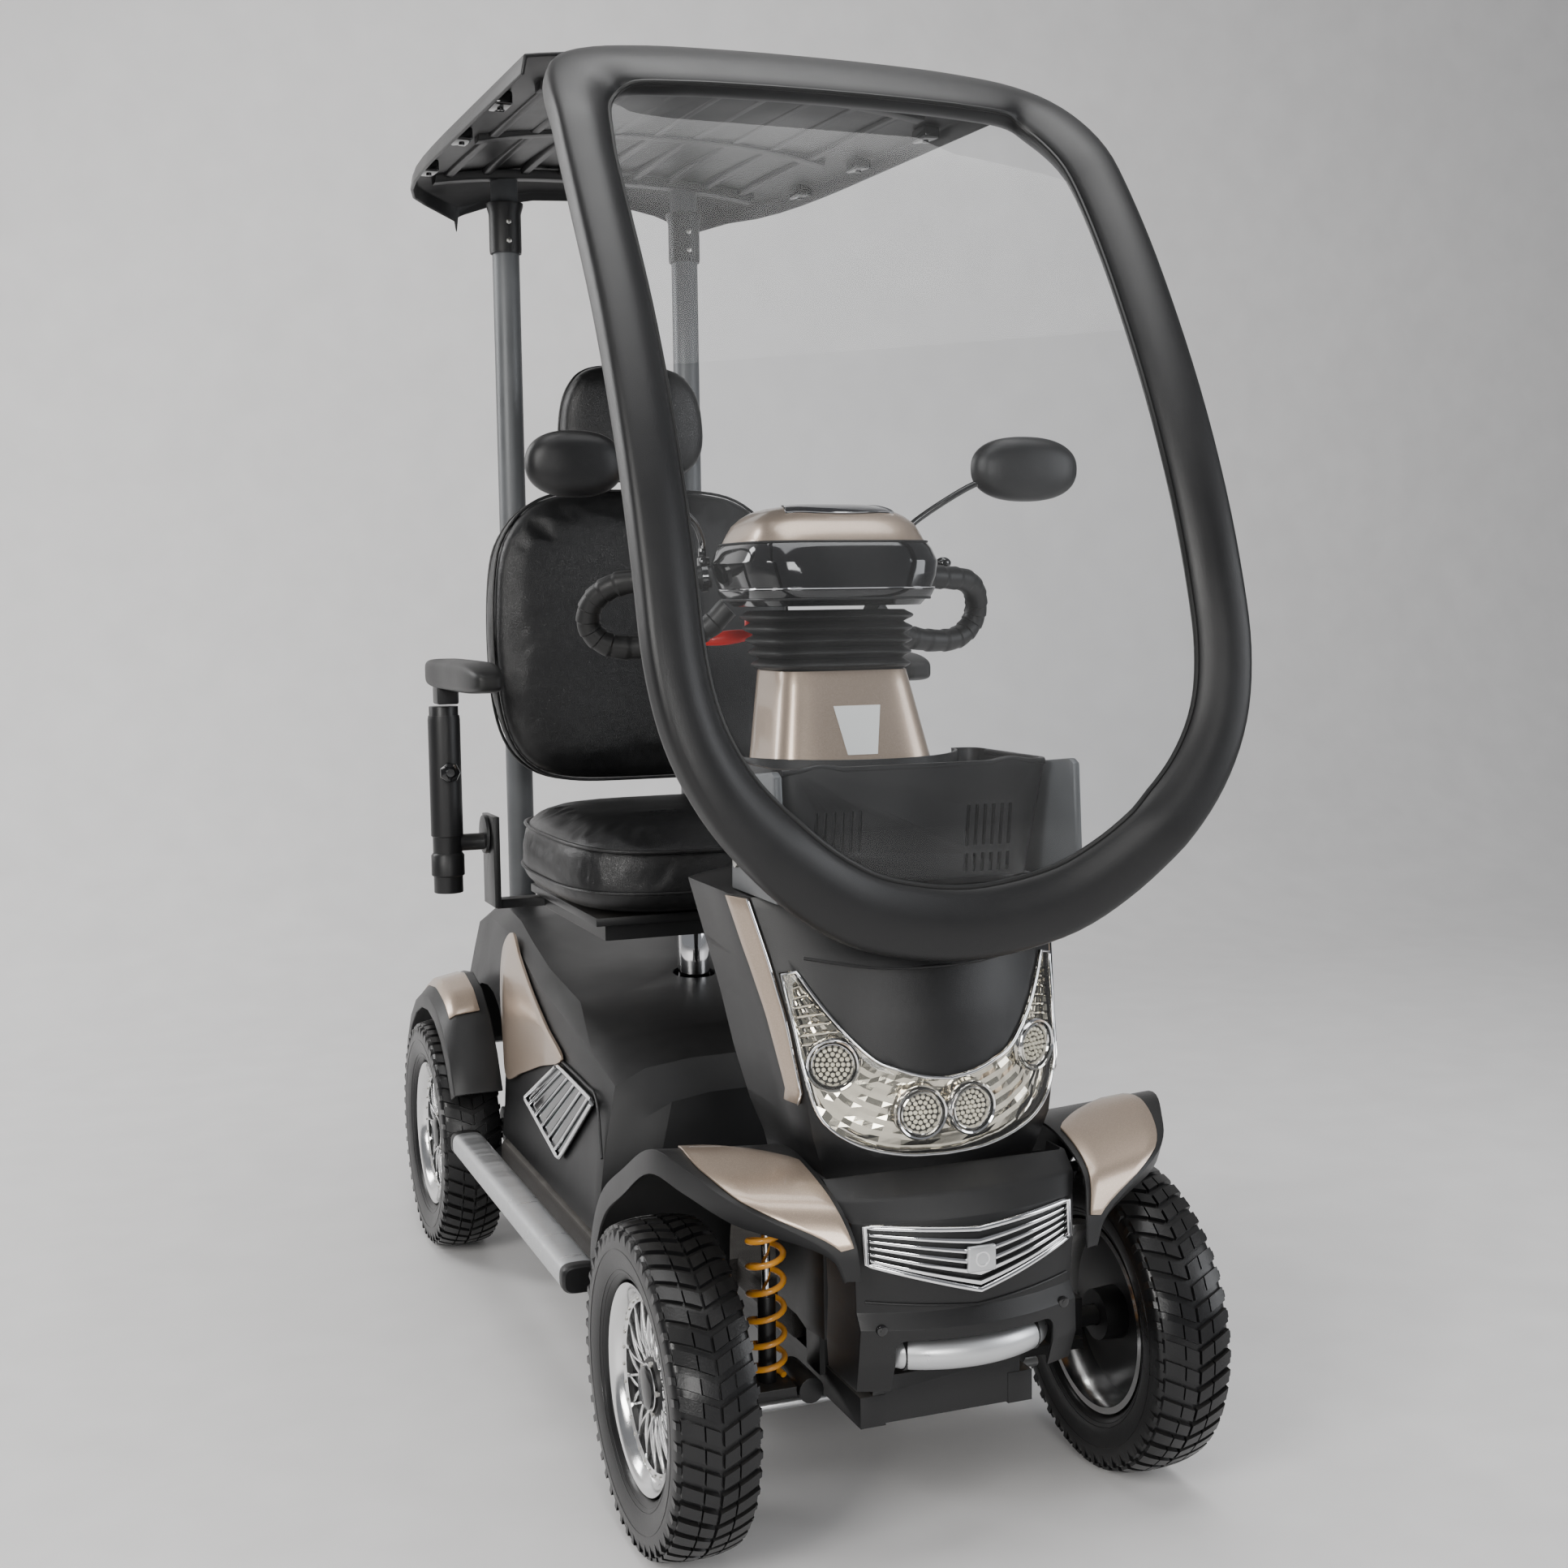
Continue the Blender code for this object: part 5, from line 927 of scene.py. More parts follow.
def make_cowl():
    heights = sorted(set(list(np.linspace(0.228, 0.726, 40)) + [0.731] + list(np.linspace(0.735, 0.809, 6))))
    rows = []
    for height in heights:
        half = cowl_ring(height, 3)
        rows.append([tuple(p) for p in half] + [(-p.x, p.y, p.z) for p in reversed(half[1:])])
    shell = net("cowl", rows, ring=True, wall=0.0035)
    window = lamp_window(0.0012, -0.015, 0.040)
    stay = box_mesh((-0.026, back(-0.20), 0.668), (0.026, back(0), 0.692))
    springs = box_mesh((-0.20, back(-0.028), 0.350), (0.20, back(0.028), 0.396))
    shell = cut(shell, [window, stay, springs])
    shown("cowl_shell", bevelled(shell, 0.0012, 2, 40), "front_cowl", "matte_black", replaces=("front_cowl",))

    for word, side in SIDES:
        rows = []
        for height in np.linspace(0.505, 0.724, 16):
            share = (height - 0.505) / 0.219
            wide = 0.030 + 0.012 * share
            start = 0.004 + (0.010 if share < 0.05 else 0.0)
            strip = [cowl_strip_point(height, start + wide * s, 0.0032) for s in np.linspace(0, 1, 5)]
            strip += [cowl_strip_point(height, start + wide * s, 0.0004) for s in np.linspace(1, 0, 5)]
            rows.append([Vector((side * p.x, p.y, p.z)) for p in strip])
        strip = solid("strip", rows, bevel=0.0007)
        shown("cowl_side_strip_" + word, strip, "front_cowl", "champagne_paint")
        edge = [row[0] for row in rows]
        shown("cowl_strip_edge_" + word, tube_mesh(edge, 0.0013, 8), "front_cowl", "chrome")
        x = side * 0.179
        outline = [(0.050, 0.728), (0.045, 0.850), (0.030, 0.857), (-0.080, 0.869), (-0.090, 0.864),
                   (-0.098, 0.745), (-0.090, 0.728)]
        rows = [[(x - 0.0045, back(y), z) for y, z in outline],
                [(x + 0.0045, back(y), z) for y, z in outline]]
        plate = solid("cheek", rows, bevel=0.0022)
        shown("cowl_cheek_plate_" + word, plate, "front_cowl", "grey_paint")
        bolts = [rod_mesh((x, back(y), z), (x + side * 0.0085, back(y), z), 0.0065, 28, 0.0012)
                 for y, z in ((-0.020, 0.858 - 0.012), (0.030, 0.760), (-0.075, 0.750))]
        shown("cheek_bolts_" + word, joined("cheek_bolts", bolts), "front_cowl", "steel")
    brow = []
    for point in [Vector(p) for p in catmull([(-0.140, 0.662), (-0.07, 0.652), (0, 0.650), (0.07, 0.652),
                                              (0.140, 0.662)], 6) for p in [(p[0], 0, p[1])]]:
        brow.append(Vector((point.x, cowl_face(point.x, point.z) - 0.0005, point.z)))
    shown("cowl_crease", tube_mesh(brow, 0.0018, 8), "front_cowl", "matte_black")


def make_headlamp():
    pairs = zip(lamp_surface(-0.0030, -0.0006, 13), lamp_surface(-0.0006, -0.0006, 13))
    lens = solid("lens", [front + list(reversed(rear)) for front, rear in pairs],
               bevel=0.0005)
    shown("lamp_lens", lens, "headlight", "lens", replaces=("headlight",))
    pairs = zip(lamp_surface(0.0085, -0.001, 15, jag=0.0045), lamp_surface(0.0100, -0.001, 15, jag=0.0045))
    bowl = solid("bowl", [front + list(reversed(rear)) for front, rear in pairs])
    shown("lamp_reflector", bowl, "headlight", "reflector", smooth=False)
    outer, inner = lamp_edges()
    outline = [Vector((x, cowl_face(x, z) - 0.0042, z)) for x, z in outer + list(reversed(inner))]
    shown("lamp_trim", tube_mesh(outline, 0.0019, 10, closed=True), "headlight", "chrome")
    groups = {"chrome": [], "led": [], "reflector": [], "matte_black": []}
    for x, z in ((-0.121, 0.550), (0.121, 0.550), (-0.030, 0.494), (0.030, 0.494)):
        unit = led_unit(Vector((x, cowl_face(x, z) + 0.0065, z)), math.atan2(2 * 0.040 * x / 0.155, 0.155))
        for key, meshes in unit.items():
            groups[key] += meshes
    for key, meshes in groups.items():
        shown("lamp_units_" + key, joined("lamp_units", meshes), "headlight", key)
    fins = []
    for side in (-1, 1):
        for k in range(7):
            t = 0.575 + k * 0.0095
            xo = float(np.interp(t, [z for _, z in HEADLIGHT_OUTER], [x for x, _ in HEADLIGHT_OUTER])) - 0.003
            xi = float(np.interp(t, [z for _, z in HEADLIGHT_INNER], [x for x, _ in HEADLIGHT_INNER])) + 0.004
            if xo - xi < 0.006:
                continue
            a = Vector((side * xi, cowl_face(xi, t) + 0.006, t))
            b = Vector((side * xo, cowl_face(xo, t) + 0.006, t - 0.006))
            fins.append(rod_mesh(a, b, 0.0016, 6))
    shown("lamp_side_fins", joined("lamp_side_fins", fins), "headlight", "reflector")


# ---- nose, grille and bumper ------------------------------------------------------------------
NOSE_STATIONS = (
    (0.434, -0.121, 0.146, 0.000), (0.416, -0.166, 0.143, 0.020), (0.396, -0.190, 0.132, 0.026),
    (0.350, -0.198, 0.130, 0.030), (0.300, -0.196, 0.128, 0.030), (0.284, -0.207, 0.128, 0.030),
    (0.246, -0.205, 0.130, 0.030), (0.213, -0.190, 0.128, 0.026))


def nose_face(x, height):
    table = np.array(sorted(NOSE_STATIONS))
    centre, half, sweep = (float(np.interp(height, table[:, 0], table[:, i])) for i in (1, 2, 3))
    return back(centre + sweep * min(abs(x) / half, 1.0) ** 2)


def make_nose():
    rows = []
    for height, centre, half, sweep in NOSE_STATIONS:
        shares = np.linspace(0, 1, 10)
        side = [(half * share, centre + sweep * share ** 2) for share in shares]
        side += [(half, centre + sweep + 0.004), (half, -0.086)]
        rows.append([(-x, back(y), height) for x, y in reversed(side[1:])] + [(x, back(y), height) for x,
                                                                              y in side])
    dense = []
    for a, b in zip(rows, rows[1:]):
        for s in (0.0, 0.12, 0.88):
            dense.append([tuple(np.array(p) * (1 - s) + np.array(q) * s) for p, q in zip(a, b)])
    dense.append(rows[-1])
    shell = net("nose", dense, wall=0.0035)
    opening = box_mesh((-0.094, back(-0.30), 0.15), (0.094, back(-0.10), 0.272), 0.012, 4)
    shell = bevelled(cut(shell, [opening]), 0.0014, 3, 24)
    shown("nose_shell", shell, "front_nose", "matte_black", replaces=("front_nose",))

    xs = np.linspace(-0.121, 0.121, 41)

    def grille_z(x, share):
        drop = 1.0 - abs(x) / 0.121
        return (0.394 - 0.010 * drop) * (1 - share) + (0.355 - 0.036 * drop) * share

    def band(low, high, proud, thick, reach=0.121):
        rows = []
        for x in np.linspace(-reach, reach, 41):
            points = [(x, nose_face(x, grille_z(x, s)) - proud, grille_z(x, s)) for s in (low, high)]
            behind = [(x, y + thick, z) for x, y, z in reversed(points)]
            rows.append(points + behind)
        return solid("band", rows, bevel=0.0006)

    back_plate = band(0.0, 1.0, 0.0010, 0.002)
    shown("grille_back", back_plate, "front_grille", "matte_black", replaces=("front_grille",))
    frame_path = [Vector((x, nose_face(x, grille_z(x, 0)) - 0.005, grille_z(x, 0))) for x in xs]
    frame_path += [Vector((x, nose_face(x, grille_z(x, 1)) - 0.005, grille_z(x, 1))) for x in reversed(xs)]
    slats = [band(s, s + 0.075, 0.0060, 0.004, 0.117) for s in (0.16, 0.33, 0.50, 0.67, 0.84)]
    slats.append(tube_mesh(frame_path, 0.0032, 10, closed=True))
    shown("grille_bars", joined("grille_bars", slats), "front_grille", "chrome")
    plaque = box_mesh((-0.0165, nose_face(0, 0.352) - 0.0092, 0.340),
                      (0.0165, nose_face(0, 0.352) - 0.003, 0.368),
                      0.0022, 3)
    shown("grille_plaque", plaque, "front_grille", "satin_silver")
    ring = revolve([(0.0, 0.0085), (0.0012, 0.0085), (0.0012, 0.0066), (0.0, 0.0066)], 32, "Y",
                   (0, nose_face(0, 0.354) - 0.0102, 0.354))
    shown("plaque_ring", ring, "front_grille", "chrome")

    screws = []
    for side in (-1, 1):
        x, z = side * 0.108, 0.285
        y = nose_face(x, z)
        screws.append(rod_mesh((x, y + 0.002, z), (x, y - 0.0035, z), 0.0062, 28, 0.0015))
        screws.append(rod_mesh((x, y - 0.002, z), (x, y - 0.0042, z), 0.0026, 6))
    shown("nose_screws", joined("nose_screws", screws), "front_nose", "gloss_black")
    crease = [Vector((x, nose_face(x, 0.312) - 0.0005, 0.312 - 0.010 * (1 - abs(x) / 0.12))) for x in
              np.linspace(-0.12, 0.12, 25)]
    shown("nose_crease", tube_mesh(crease, 0.0016, 8), "front_nose", "matte_black")

    low, high = corners("bumper_bar")
    path = [(share * (high.x - 0.001), back(-0.188) + 0.030 * share ** 2,
             0.250) for share in np.linspace(-1, 1, 25)]
    radii = [0.0182 * (1 - 0.35 * abs(s) ** 10) for s in np.linspace(-1, 1, 25)]
    shown("bumper_tube", tube_mesh(path, radii, 28), "bumper_bar", "satin_silver", replaces=("bumper_bar",))
    grooves = []
    for side in (-1, 1):
        x = side * 0.077
        y = back(-0.188) + 0.030 * (x / high.x) ** 2
        grooves.append(revolve([(-0.003, 0.0176), (-0.003, 0.0188), (0.003, 0.0188), (0.003, 0.0176)], 32,
                               "X",
                               (x, y, 0.250)))
    shown("bumper_collars", joined("bumper_collars", grooves), "bumper_bar", "matte_black")


# ---- fenders ----------------------------------------------------------------------------------
FENDER_STATIONS = (
    (0.134, 0.224, 0.226, 0.308, 0.234, 0.222), (0.134, 0.214, 0.290, 0.311, 0.219, 0.287),
    (0.134, 0.168, 0.362, 0.312, 0.167, 0.358), (0.140, 0.086, 0.412, 0.312, 0.075, 0.412),
    (0.150, -0.010, 0.444, 0.310, -0.032, 0.463), (0.152, -0.083, 0.446, 0.289, -0.094, 0.452),
    (0.146, -0.160, 0.421, 0.252, -0.147, 0.426), (0.137, -0.188, 0.383, 0.168, -0.182, 0.378),
    (0.134, -0.194, 0.344, 0.148, -0.190, 0.344))
INSET = ((4.0, 0.62, 0.80), (4.5, 0.30, 0.86), (5.0, 0.06, 0.90), (5.9, 0.06, 0.93), (6.4, 0.07, 0.88),
         (7.1, 0.12, 0.62))


def make_front_fender(word, side):
    table = finer(np.array(FENDER_STATIONS).reshape(9, 2, 3), along=6)
    rows = []
    for inner, outer in table:
        a = Vector((side * inner[0], back(inner[1]), inner[2]))
        b = Vector((side * outer[0], back(outer[1]), outer[2]))
        inwards = Vector((0, AXLE_Y - b.y, AXLE_Z - b.z)).normalized()
        lip = b + inwards * 0.028 * min(1.0, (outer[0] - inner[0]) / 0.1) + Vector((side * 0.002, 0, 0))
        row = [a.lerp(b, s) for s in np.linspace(0, 1, 9)]
        row.append(b.lerp(lip, 0.5))
        row.append(lip)
        rows.append(row)
    shell = bevelled(net("fender", rows, wall=0.0034), 0.0022, 3, 30)
    shown("fender_shell_" + word, shell, "front_fender_" + word, "matte_black",
          replaces=("front_fender_" + word,))

    def surface(u, v):
        t = u * 6
        i = min(int(t), len(table) - 2)
        f = t - i
        p = table[i][0] * (1 - f) + table[i + 1][0] * f
        q = table[i][1] * (1 - f) + table[i + 1][1] * f
        p = p * (1 - v) + q * v
        return Vector((side * p[0], back(p[1]), p[2]))

    us = [row[0] for row in INSET]
    rows = []
    for u in np.linspace(us[0], us[-1], 22):
        lo = float(np.interp(u, us, [row[1] for row in INSET]))
        hi = float(np.interp(u, us, [row[2] for row in INSET]))
        row = []
        for v in np.linspace(lo, hi, 7):
            p = surface(u, v)
            du, dv = surface(u + 0.05, v) - p, surface(u, v + 0.05) - p
            up = du.cross(dv).normalized()
            if up.dot(p - Vector((side * 0.2, AXLE_Y, AXLE_Z))) < 0:
                up.negate()
            row.append((p + up * 0.0030, p + up * 0.0004))
        rows.append([top for top, _ in row] + [low for _, low in reversed(row)])
    inset = solid("inset", rows, bevel=0.0008)
    shown("fender_inset_" + word, inset, "front_fender_" + word, "champagne_paint")


def make_rear_fender(word):
    refined("rear_fender_" + word, bevel=0.003, segments=3, angle=45)
    low, high = corners("rear_fender_" + word)
    bm = bmesh.new()
    bm.from_mesh(NODES["rear_fender_" + word].data)
    tree = BVHTree.FromBMesh(bm)
    centre = Vector(((low.x + high.x) / 2, -AXLE_Y, AXLE_Z))
    rows = []
    for angle in np.linspace(52, 118, 18):
        a = math.radians(angle)
        ray = Vector((0, math.cos(a), math.sin(a)))
        row = []
        for s in np.linspace(-0.62, 0.62, 6):
            start = centre + Vector((s * (high.x - low.x) / 2, 0, 0)) + ray * 0.5
            hit = tree.ray_cast(start, -ray)[0]
            row.append((hit + ray * 0.0030, hit + ray * 0.0004))
        rows.append([top for top, _ in row] + [under for _, under in reversed(row)])
    bm.free()
    inset = solid("rear_inset", rows, bevel=0.0008)
    shown("rear_inset_" + word, inset, "rear_fender_" + word, "champagne_paint")


# ---- wheels -----------------------------------------------------------------------------------
def tread_block(x0, x1, t0, t1, shift, inner_r, outer_r):
    """Wedge of rubber on the tread: across x0..x1, along the rolling direction t0..t1, slanted by shift."""
    def crown(x):
        return outer_r - 0.0075 * (abs(x) / 0.0475) ** 2.6
    rows = []
    for share in np.linspace(0, 1, 4):
        x = x0 + (x1 - x0) * share
        slant = shift * share
        ring = []
        for t, r in ((t0, inner_r), (t0 + 0.001, crown(x)), (t1 - 0.001, crown(x)), (t1, inner_r)):
            a = (t + slant) / TYRE_RADIUS
            radius = r if r != inner_r else min(inner_r, crown(x) - 0.004)
            ring.append((x, radius * math.sin(a), radius * math.cos(a)))
        rows.append(ring)
    return solid("tread", rows)


def wheel_meshes():
    """Tyre and rim pieces about the origin, axle along X, outer face towards +X, by material."""
    R = TYRE_RADIUS
    profile = [(-0.030, 0.1165), (-0.037, 0.1200), (-0.0435, 0.132), (-0.0470, 0.150), (-0.0468, 0.163),
               (-0.0445, 0.1715), (-0.037, 0.1765), (-0.018, 0.1792), (0.0, 0.1798), (0.018, 0.1792),
               (0.037, 0.1765),
               (0.0445, 0.1715), (0.0468, 0.163), (0.0470, 0.150), (0.0435, 0.132), (0.037, 0.1200),
               (0.030, 0.1165)]
    fine = [tuple(p) for p in catmull(profile, 3)]
    tyre = [revolve(fine, 96)]
    for x in (-1, 1):
        for radius, width in ((0.1255, 0.0012), (0.1300, 0.0008), (0.1530, 0.0008)):
            wall = 0.0400 if radius < 0.128 else (0.0425 if radius < 0.14 else 0.0469)
            tyre.append(revolve([(x * (wall - 0.002), radius - width),
                                 (x * (wall + 0.0007), radius - width * 0.5),
                                 (x * (wall + 0.0007), radius + width * 0.5),
                                 (x * (wall - 0.002), radius + width)],
                                72))
    count = 48
    blocks = [tread_block(0.0018, 0.0180, 0.0, 0.0175, 0.0080, 0.176, R),
              tread_block(0.0200, 0.0425, 0.0090, 0.0265, 0.0100, 0.170, R)]
    blocks += [moved(b, Matrix.Scale(-1, 4, (1, 0, 0))) for b in blocks]
    lug = tread_block(0.0428, 0.0470, 0.0210, 0.0310, 0.002, 0.162, R - 0.0035)
    blocks += [lug, moved(lug, Matrix.Scale(-1, 4, (1, 0, 0)))]
    unit = joined("tread_unit", blocks)
    unit = moved(unit, Z_TO_X.inverted())
    tyre.append(moved(repeated(unit, count, "tyre_rubber"), Z_TO_X))

    barrel = revolve([(-0.036, 0.1155), (-0.036, 0.108), (-0.020, 0.100), (0.018, 0.098), (0.029, 0.1035),
                      (0.0345, 0.1085), (0.036, 0.1150), (0.0335, 0.1155), (0.026, 0.1135),
                      (-0.026, 0.1135)], 96)
    lip = revolve([(0.0150, 0.0930), (0.0150, 0.0985), (0.0215, 0.1000), (0.0238, 0.0972),
                   (0.0215, 0.0925)], 96)
    rivet = moved(rod_mesh((0, 0, 0), (0, 0, 0.0022), 0.0021, 10, 0.0006),
                  Matrix.Translation((0.0962, 0, 0.0225)))
    rivets = moved(repeated(rivet, 30, "steel"), Z_TO_X)
    spokes = []
    for turn in (-1, 1):
        a, b = 0.0, turn * math.radians(20)
        start = Vector((0.029 * math.cos(a), 0.029 * math.sin(a), 0.0175))
        end = Vector((0.0945 * math.cos(b), 0.0945 * math.sin(b), 0.0190))
        middle = start.lerp(end, 0.5) + Vector((0, 0, 0.0035))
        path = catmull([start, middle, end], 5)
        rows = []
        for i, point in enumerate(path):
            p = Vector(point)
            ahead = Vector(path[min(i + 1, len(path) - 1)]) - Vector(path[max(i - 1, 0)])
            across = ahead.cross(Vector((0, 0, 1))).normalized() * 0.0017
            down = Vector((0, 0, -0.006))
            rows.append([p + across * 0.8, p + across + down, p - across + down, p - across * 0.8])
        spokes.append(solid("spoke", rows, bevel=0.0004))
    spoke_set = moved(repeated(joined("spoke_pair", spokes), 18, "alloy"), Z_TO_X)
    dish = revolve([(0.0060, 0.012), (0.0060, 0.099), (0.0035, 0.099), (-0.0025, 0.012)], 64)
    hub = revolve([(-0.030, 0.013), (-0.030, 0.030), (0.010, 0.033), (0.0185, 0.0325), (0.0215, 0.0300),
                   (0.0215, 0.013)], 56)
    cap = revolve([(0.0215, 0.0005), (0.0215, 0.0245), (0.0275, 0.0235), (0.0300, 0.0190),
                   (0.0305, 0.0005)], 48)
    ring = revolve([(0.0212, 0.0245), (0.0238, 0.0262), (0.0245, 0.0250), (0.0240, 0.0236)], 48)
    nut = moved(rod_mesh((0, 0, 0), (0, 0, 0.006), 0.0036, 6, 0.0006),
                Matrix.Translation((0.0282, 0, 0.0185)))
    nuts = moved(repeated(nut, 5, "steel"), Z_TO_X)
    return {"tyre_rubber": tyre, "alloy": [barrel, lip, spoke_set, ring],
            "matte_black": [dish, hub], "gloss_black": [cap], "steel": [rivets, nuts]}


def make_wheels():
    sets = {key: joined(key, meshes) for key, meshes in wheel_meshes().items()}
    for end in ("front", "rear"):
        for word, side in SIDES:
            low, high = corners("tyre_%s_%s" % (end, word))
            turned = Matrix.Rotation(0.4 * side + (0.9 if end == "rear" else 0), 4, "X")
            place = Matrix.Translation((low + high) / 2) @ turned
            if side < 0:
                place = place @ Matrix.Scale(-1, 4, (1, 0, 0))
            for key, mesh in sets.items():
                tyre = key == "tyre_rubber"
                node = ("tyre_%s_%s" if tyre else "rim_%s_%s") % (end, word)
                first = tyre or key == "alloy"
                shown("%s_%s_%s" % (end, word, key), moved(mesh, place), node, key,
                      replaces=(node,) if first else ())


make_hoop()
make_windscreen()
make_roof()
make_cowl()
make_headlamp()
make_nose()
for word, side in SIDES:
    make_front_fender(word, side)
    make_rear_fender(word)
make_wheels()

# ---- basket and column ------------------------------------------------------------------------
def make_basket():
    low, high = corners("basket")
    mesh = NODES["basket"].data.copy()
    bm = bmesh.new()
    bm.from_mesh(mesh)
    bmesh.ops.remove_doubles(bm, verts=bm.verts, dist=2e-5)
    bmesh.ops.dissolve_limit(bm, angle_limit=math.radians(1.0), verts=bm.verts, edges=bm.edges)
    mesh = to_mesh("basket", bm)
    slot_item = box_mesh((-0.0022, -0.02, -0.024), (0.0022, 0.02, 0.024), 0.0020, 3)
    tools = []
    for side in (-1, 1):
        for x, z in ((0.066, 0.795), (0.066, 0.752)):
            start = moved(slot_item, Matrix.Translation((side * x, low.y + 0.006, z)) @ Matrix.Scale(
                1.0 if z > 0.77 else 0.45, 4, (0, 0, 1)))
            tools.append(repeated(start, 6, "matte_black", step=(side * 0.0105, 0, 0)))
    mesh = cut(mesh, [joined("slots", tools)])
    mesh = bevelled(mesh, 0.0008, 2, 40)
    shown("basket_moulding", mesh, "basket", "matte_black", replaces=("basket",))
    rim = []
    for share in np.linspace(-1, 1, 61):
        x = share * (high.x - 0.007)
        rise = 0.5 * (1 + math.cos(math.pi * min(abs(abs(share) - 0.72) / 0.2, 1.0)))
        rim.append(Vector((x, low.y + 0.0035, high.z - 0.0035 + 0.004 * rise)))
    side_rim = []
    for side in (-1, 1):
        side_rim.append([Vector((side * (high.x - 0.004), y, high.z - 0.0035))
                         for y in np.linspace(low.y + 0.02, high.y - 0.04, 12)])
    meshes = [tube_mesh(rim, 0.0036, 10)] + [tube_mesh(p, 0.0036, 10) for p in side_rim]
    shown("basket_rim", joined("basket_rim", meshes), "basket", "matte_black")


def make_column():
    low, high = corners("column_cover")
    rows = []
    for share in np.linspace(0, 1, 9):
        height = low.z + (high.z - low.z) * share
        centre = column_axis(height)
        half_x, half_y = 0.108 - 0.026 * share, 0.076 - 0.010 * share
        ring = []
        for step in range(96):
            a = 2 * math.pi * step / 96
            c, s = math.cos(a), math.sin(a)
            p = 0.42
            ring.append((bulge(c, p) * half_x, centre.y + bulge(s, p) * half_y, height))
        rows.append(ring)
    shell = net("cover", rows, ring=True)
    shell = worked(shell, ("SOLIDIFY", {"thickness": 0.003, "offset": -1.0}))
    shown("column_shell", bevelled(shell, 0.001, 3, 40), "column_cover", "champagne_paint",
          replaces=("column_cover",))
    seam = [Vector((p[0], p[1], p[2] + 0.016)) for p in rows[0]]
    seam = [Vector((p.x * 0.987, column_axis(p.z).y + (p.y - column_axis(low.z).y) * 0.988,
                    p.z)) for p in seam]
    shown("column_seam", tube_mesh(seam, 0.0011, 6, closed=True), "column_cover", "gaiter_rubber")

    def front(x, z):
        share = (z - low.z) / (high.z - low.z)
        half_x, half_y = 0.108 - 0.026 * share, 0.076 - 0.010 * share
        edge = (1 - min(abs(x) / half_x, 0.98) ** (2 / 0.42)) ** (0.42 / 2)
        return column_axis(z).y - half_y * edge

    rows = []
    for z in np.linspace(0.868, 0.925, 10):
        share = (z - 0.868) / 0.057
        half = 0.019 + 0.011 * share
        row = [(x, front(x, z) - 0.0009, z) for x in np.linspace(-half, half, 9)]
        rows.append(row + [(x, y + 0.0007, z) for x, y, z in reversed(row)])
    shown("column_label", solid("label", rows), "column_cover", "bare_label")

    rows = []
    start, end = low.z + 0.1412, 1.0375
    folds = 5
    for step in range(folds * 8 + 1):
        share = step / (folds * 8)
        height = start + (end - start) * share
        centre = column_axis(height)
        swell = 0.0105 * (0.5 - 0.5 * math.cos(2 * math.pi * share * folds)) ** 0.7
        half_x, half_y = 0.080 + swell + 0.010 * share, 0.062 + swell + 0.010 * share
        ring = []
        for k in range(64):
            a = 2 * math.pi * k / 64
            c, s = math.cos(a), math.sin(a)
            ring.append((bulge(c, 0.55) * half_x, centre.y + bulge(s, 0.55) * half_y, height))
        rows.append(ring)
    bellows = worked(net("bellows", rows, ring=True), ("SOLIDIFY", {"thickness": 0.0025, "offset": -1.0}))
    low_point, high_point = column_axis(start + 0.006), column_axis(end - 0.006)
    shown("bellows", bellows, "gaiter", "gaiter_rubber", replaces=("gaiter",),
          between=("steering", "tiller", low_point, high_point))


# ---- tiller -----------------------------------------------------------------------------------
def tiller_ring(half, front_y, rear_y, height, power=0.5, count=96):
    ring = []
    middle, reach = (front_y + rear_y) / 2, (rear_y - front_y) / 2
    for step in range(count):
        a = 2 * math.pi * step / count
        c, s = math.cos(a), math.sin(a)
        ring.append((bulge(c, power) * half, PIVOT.y + middle + bulge(s, power) * reach,
                     height))
    return ring


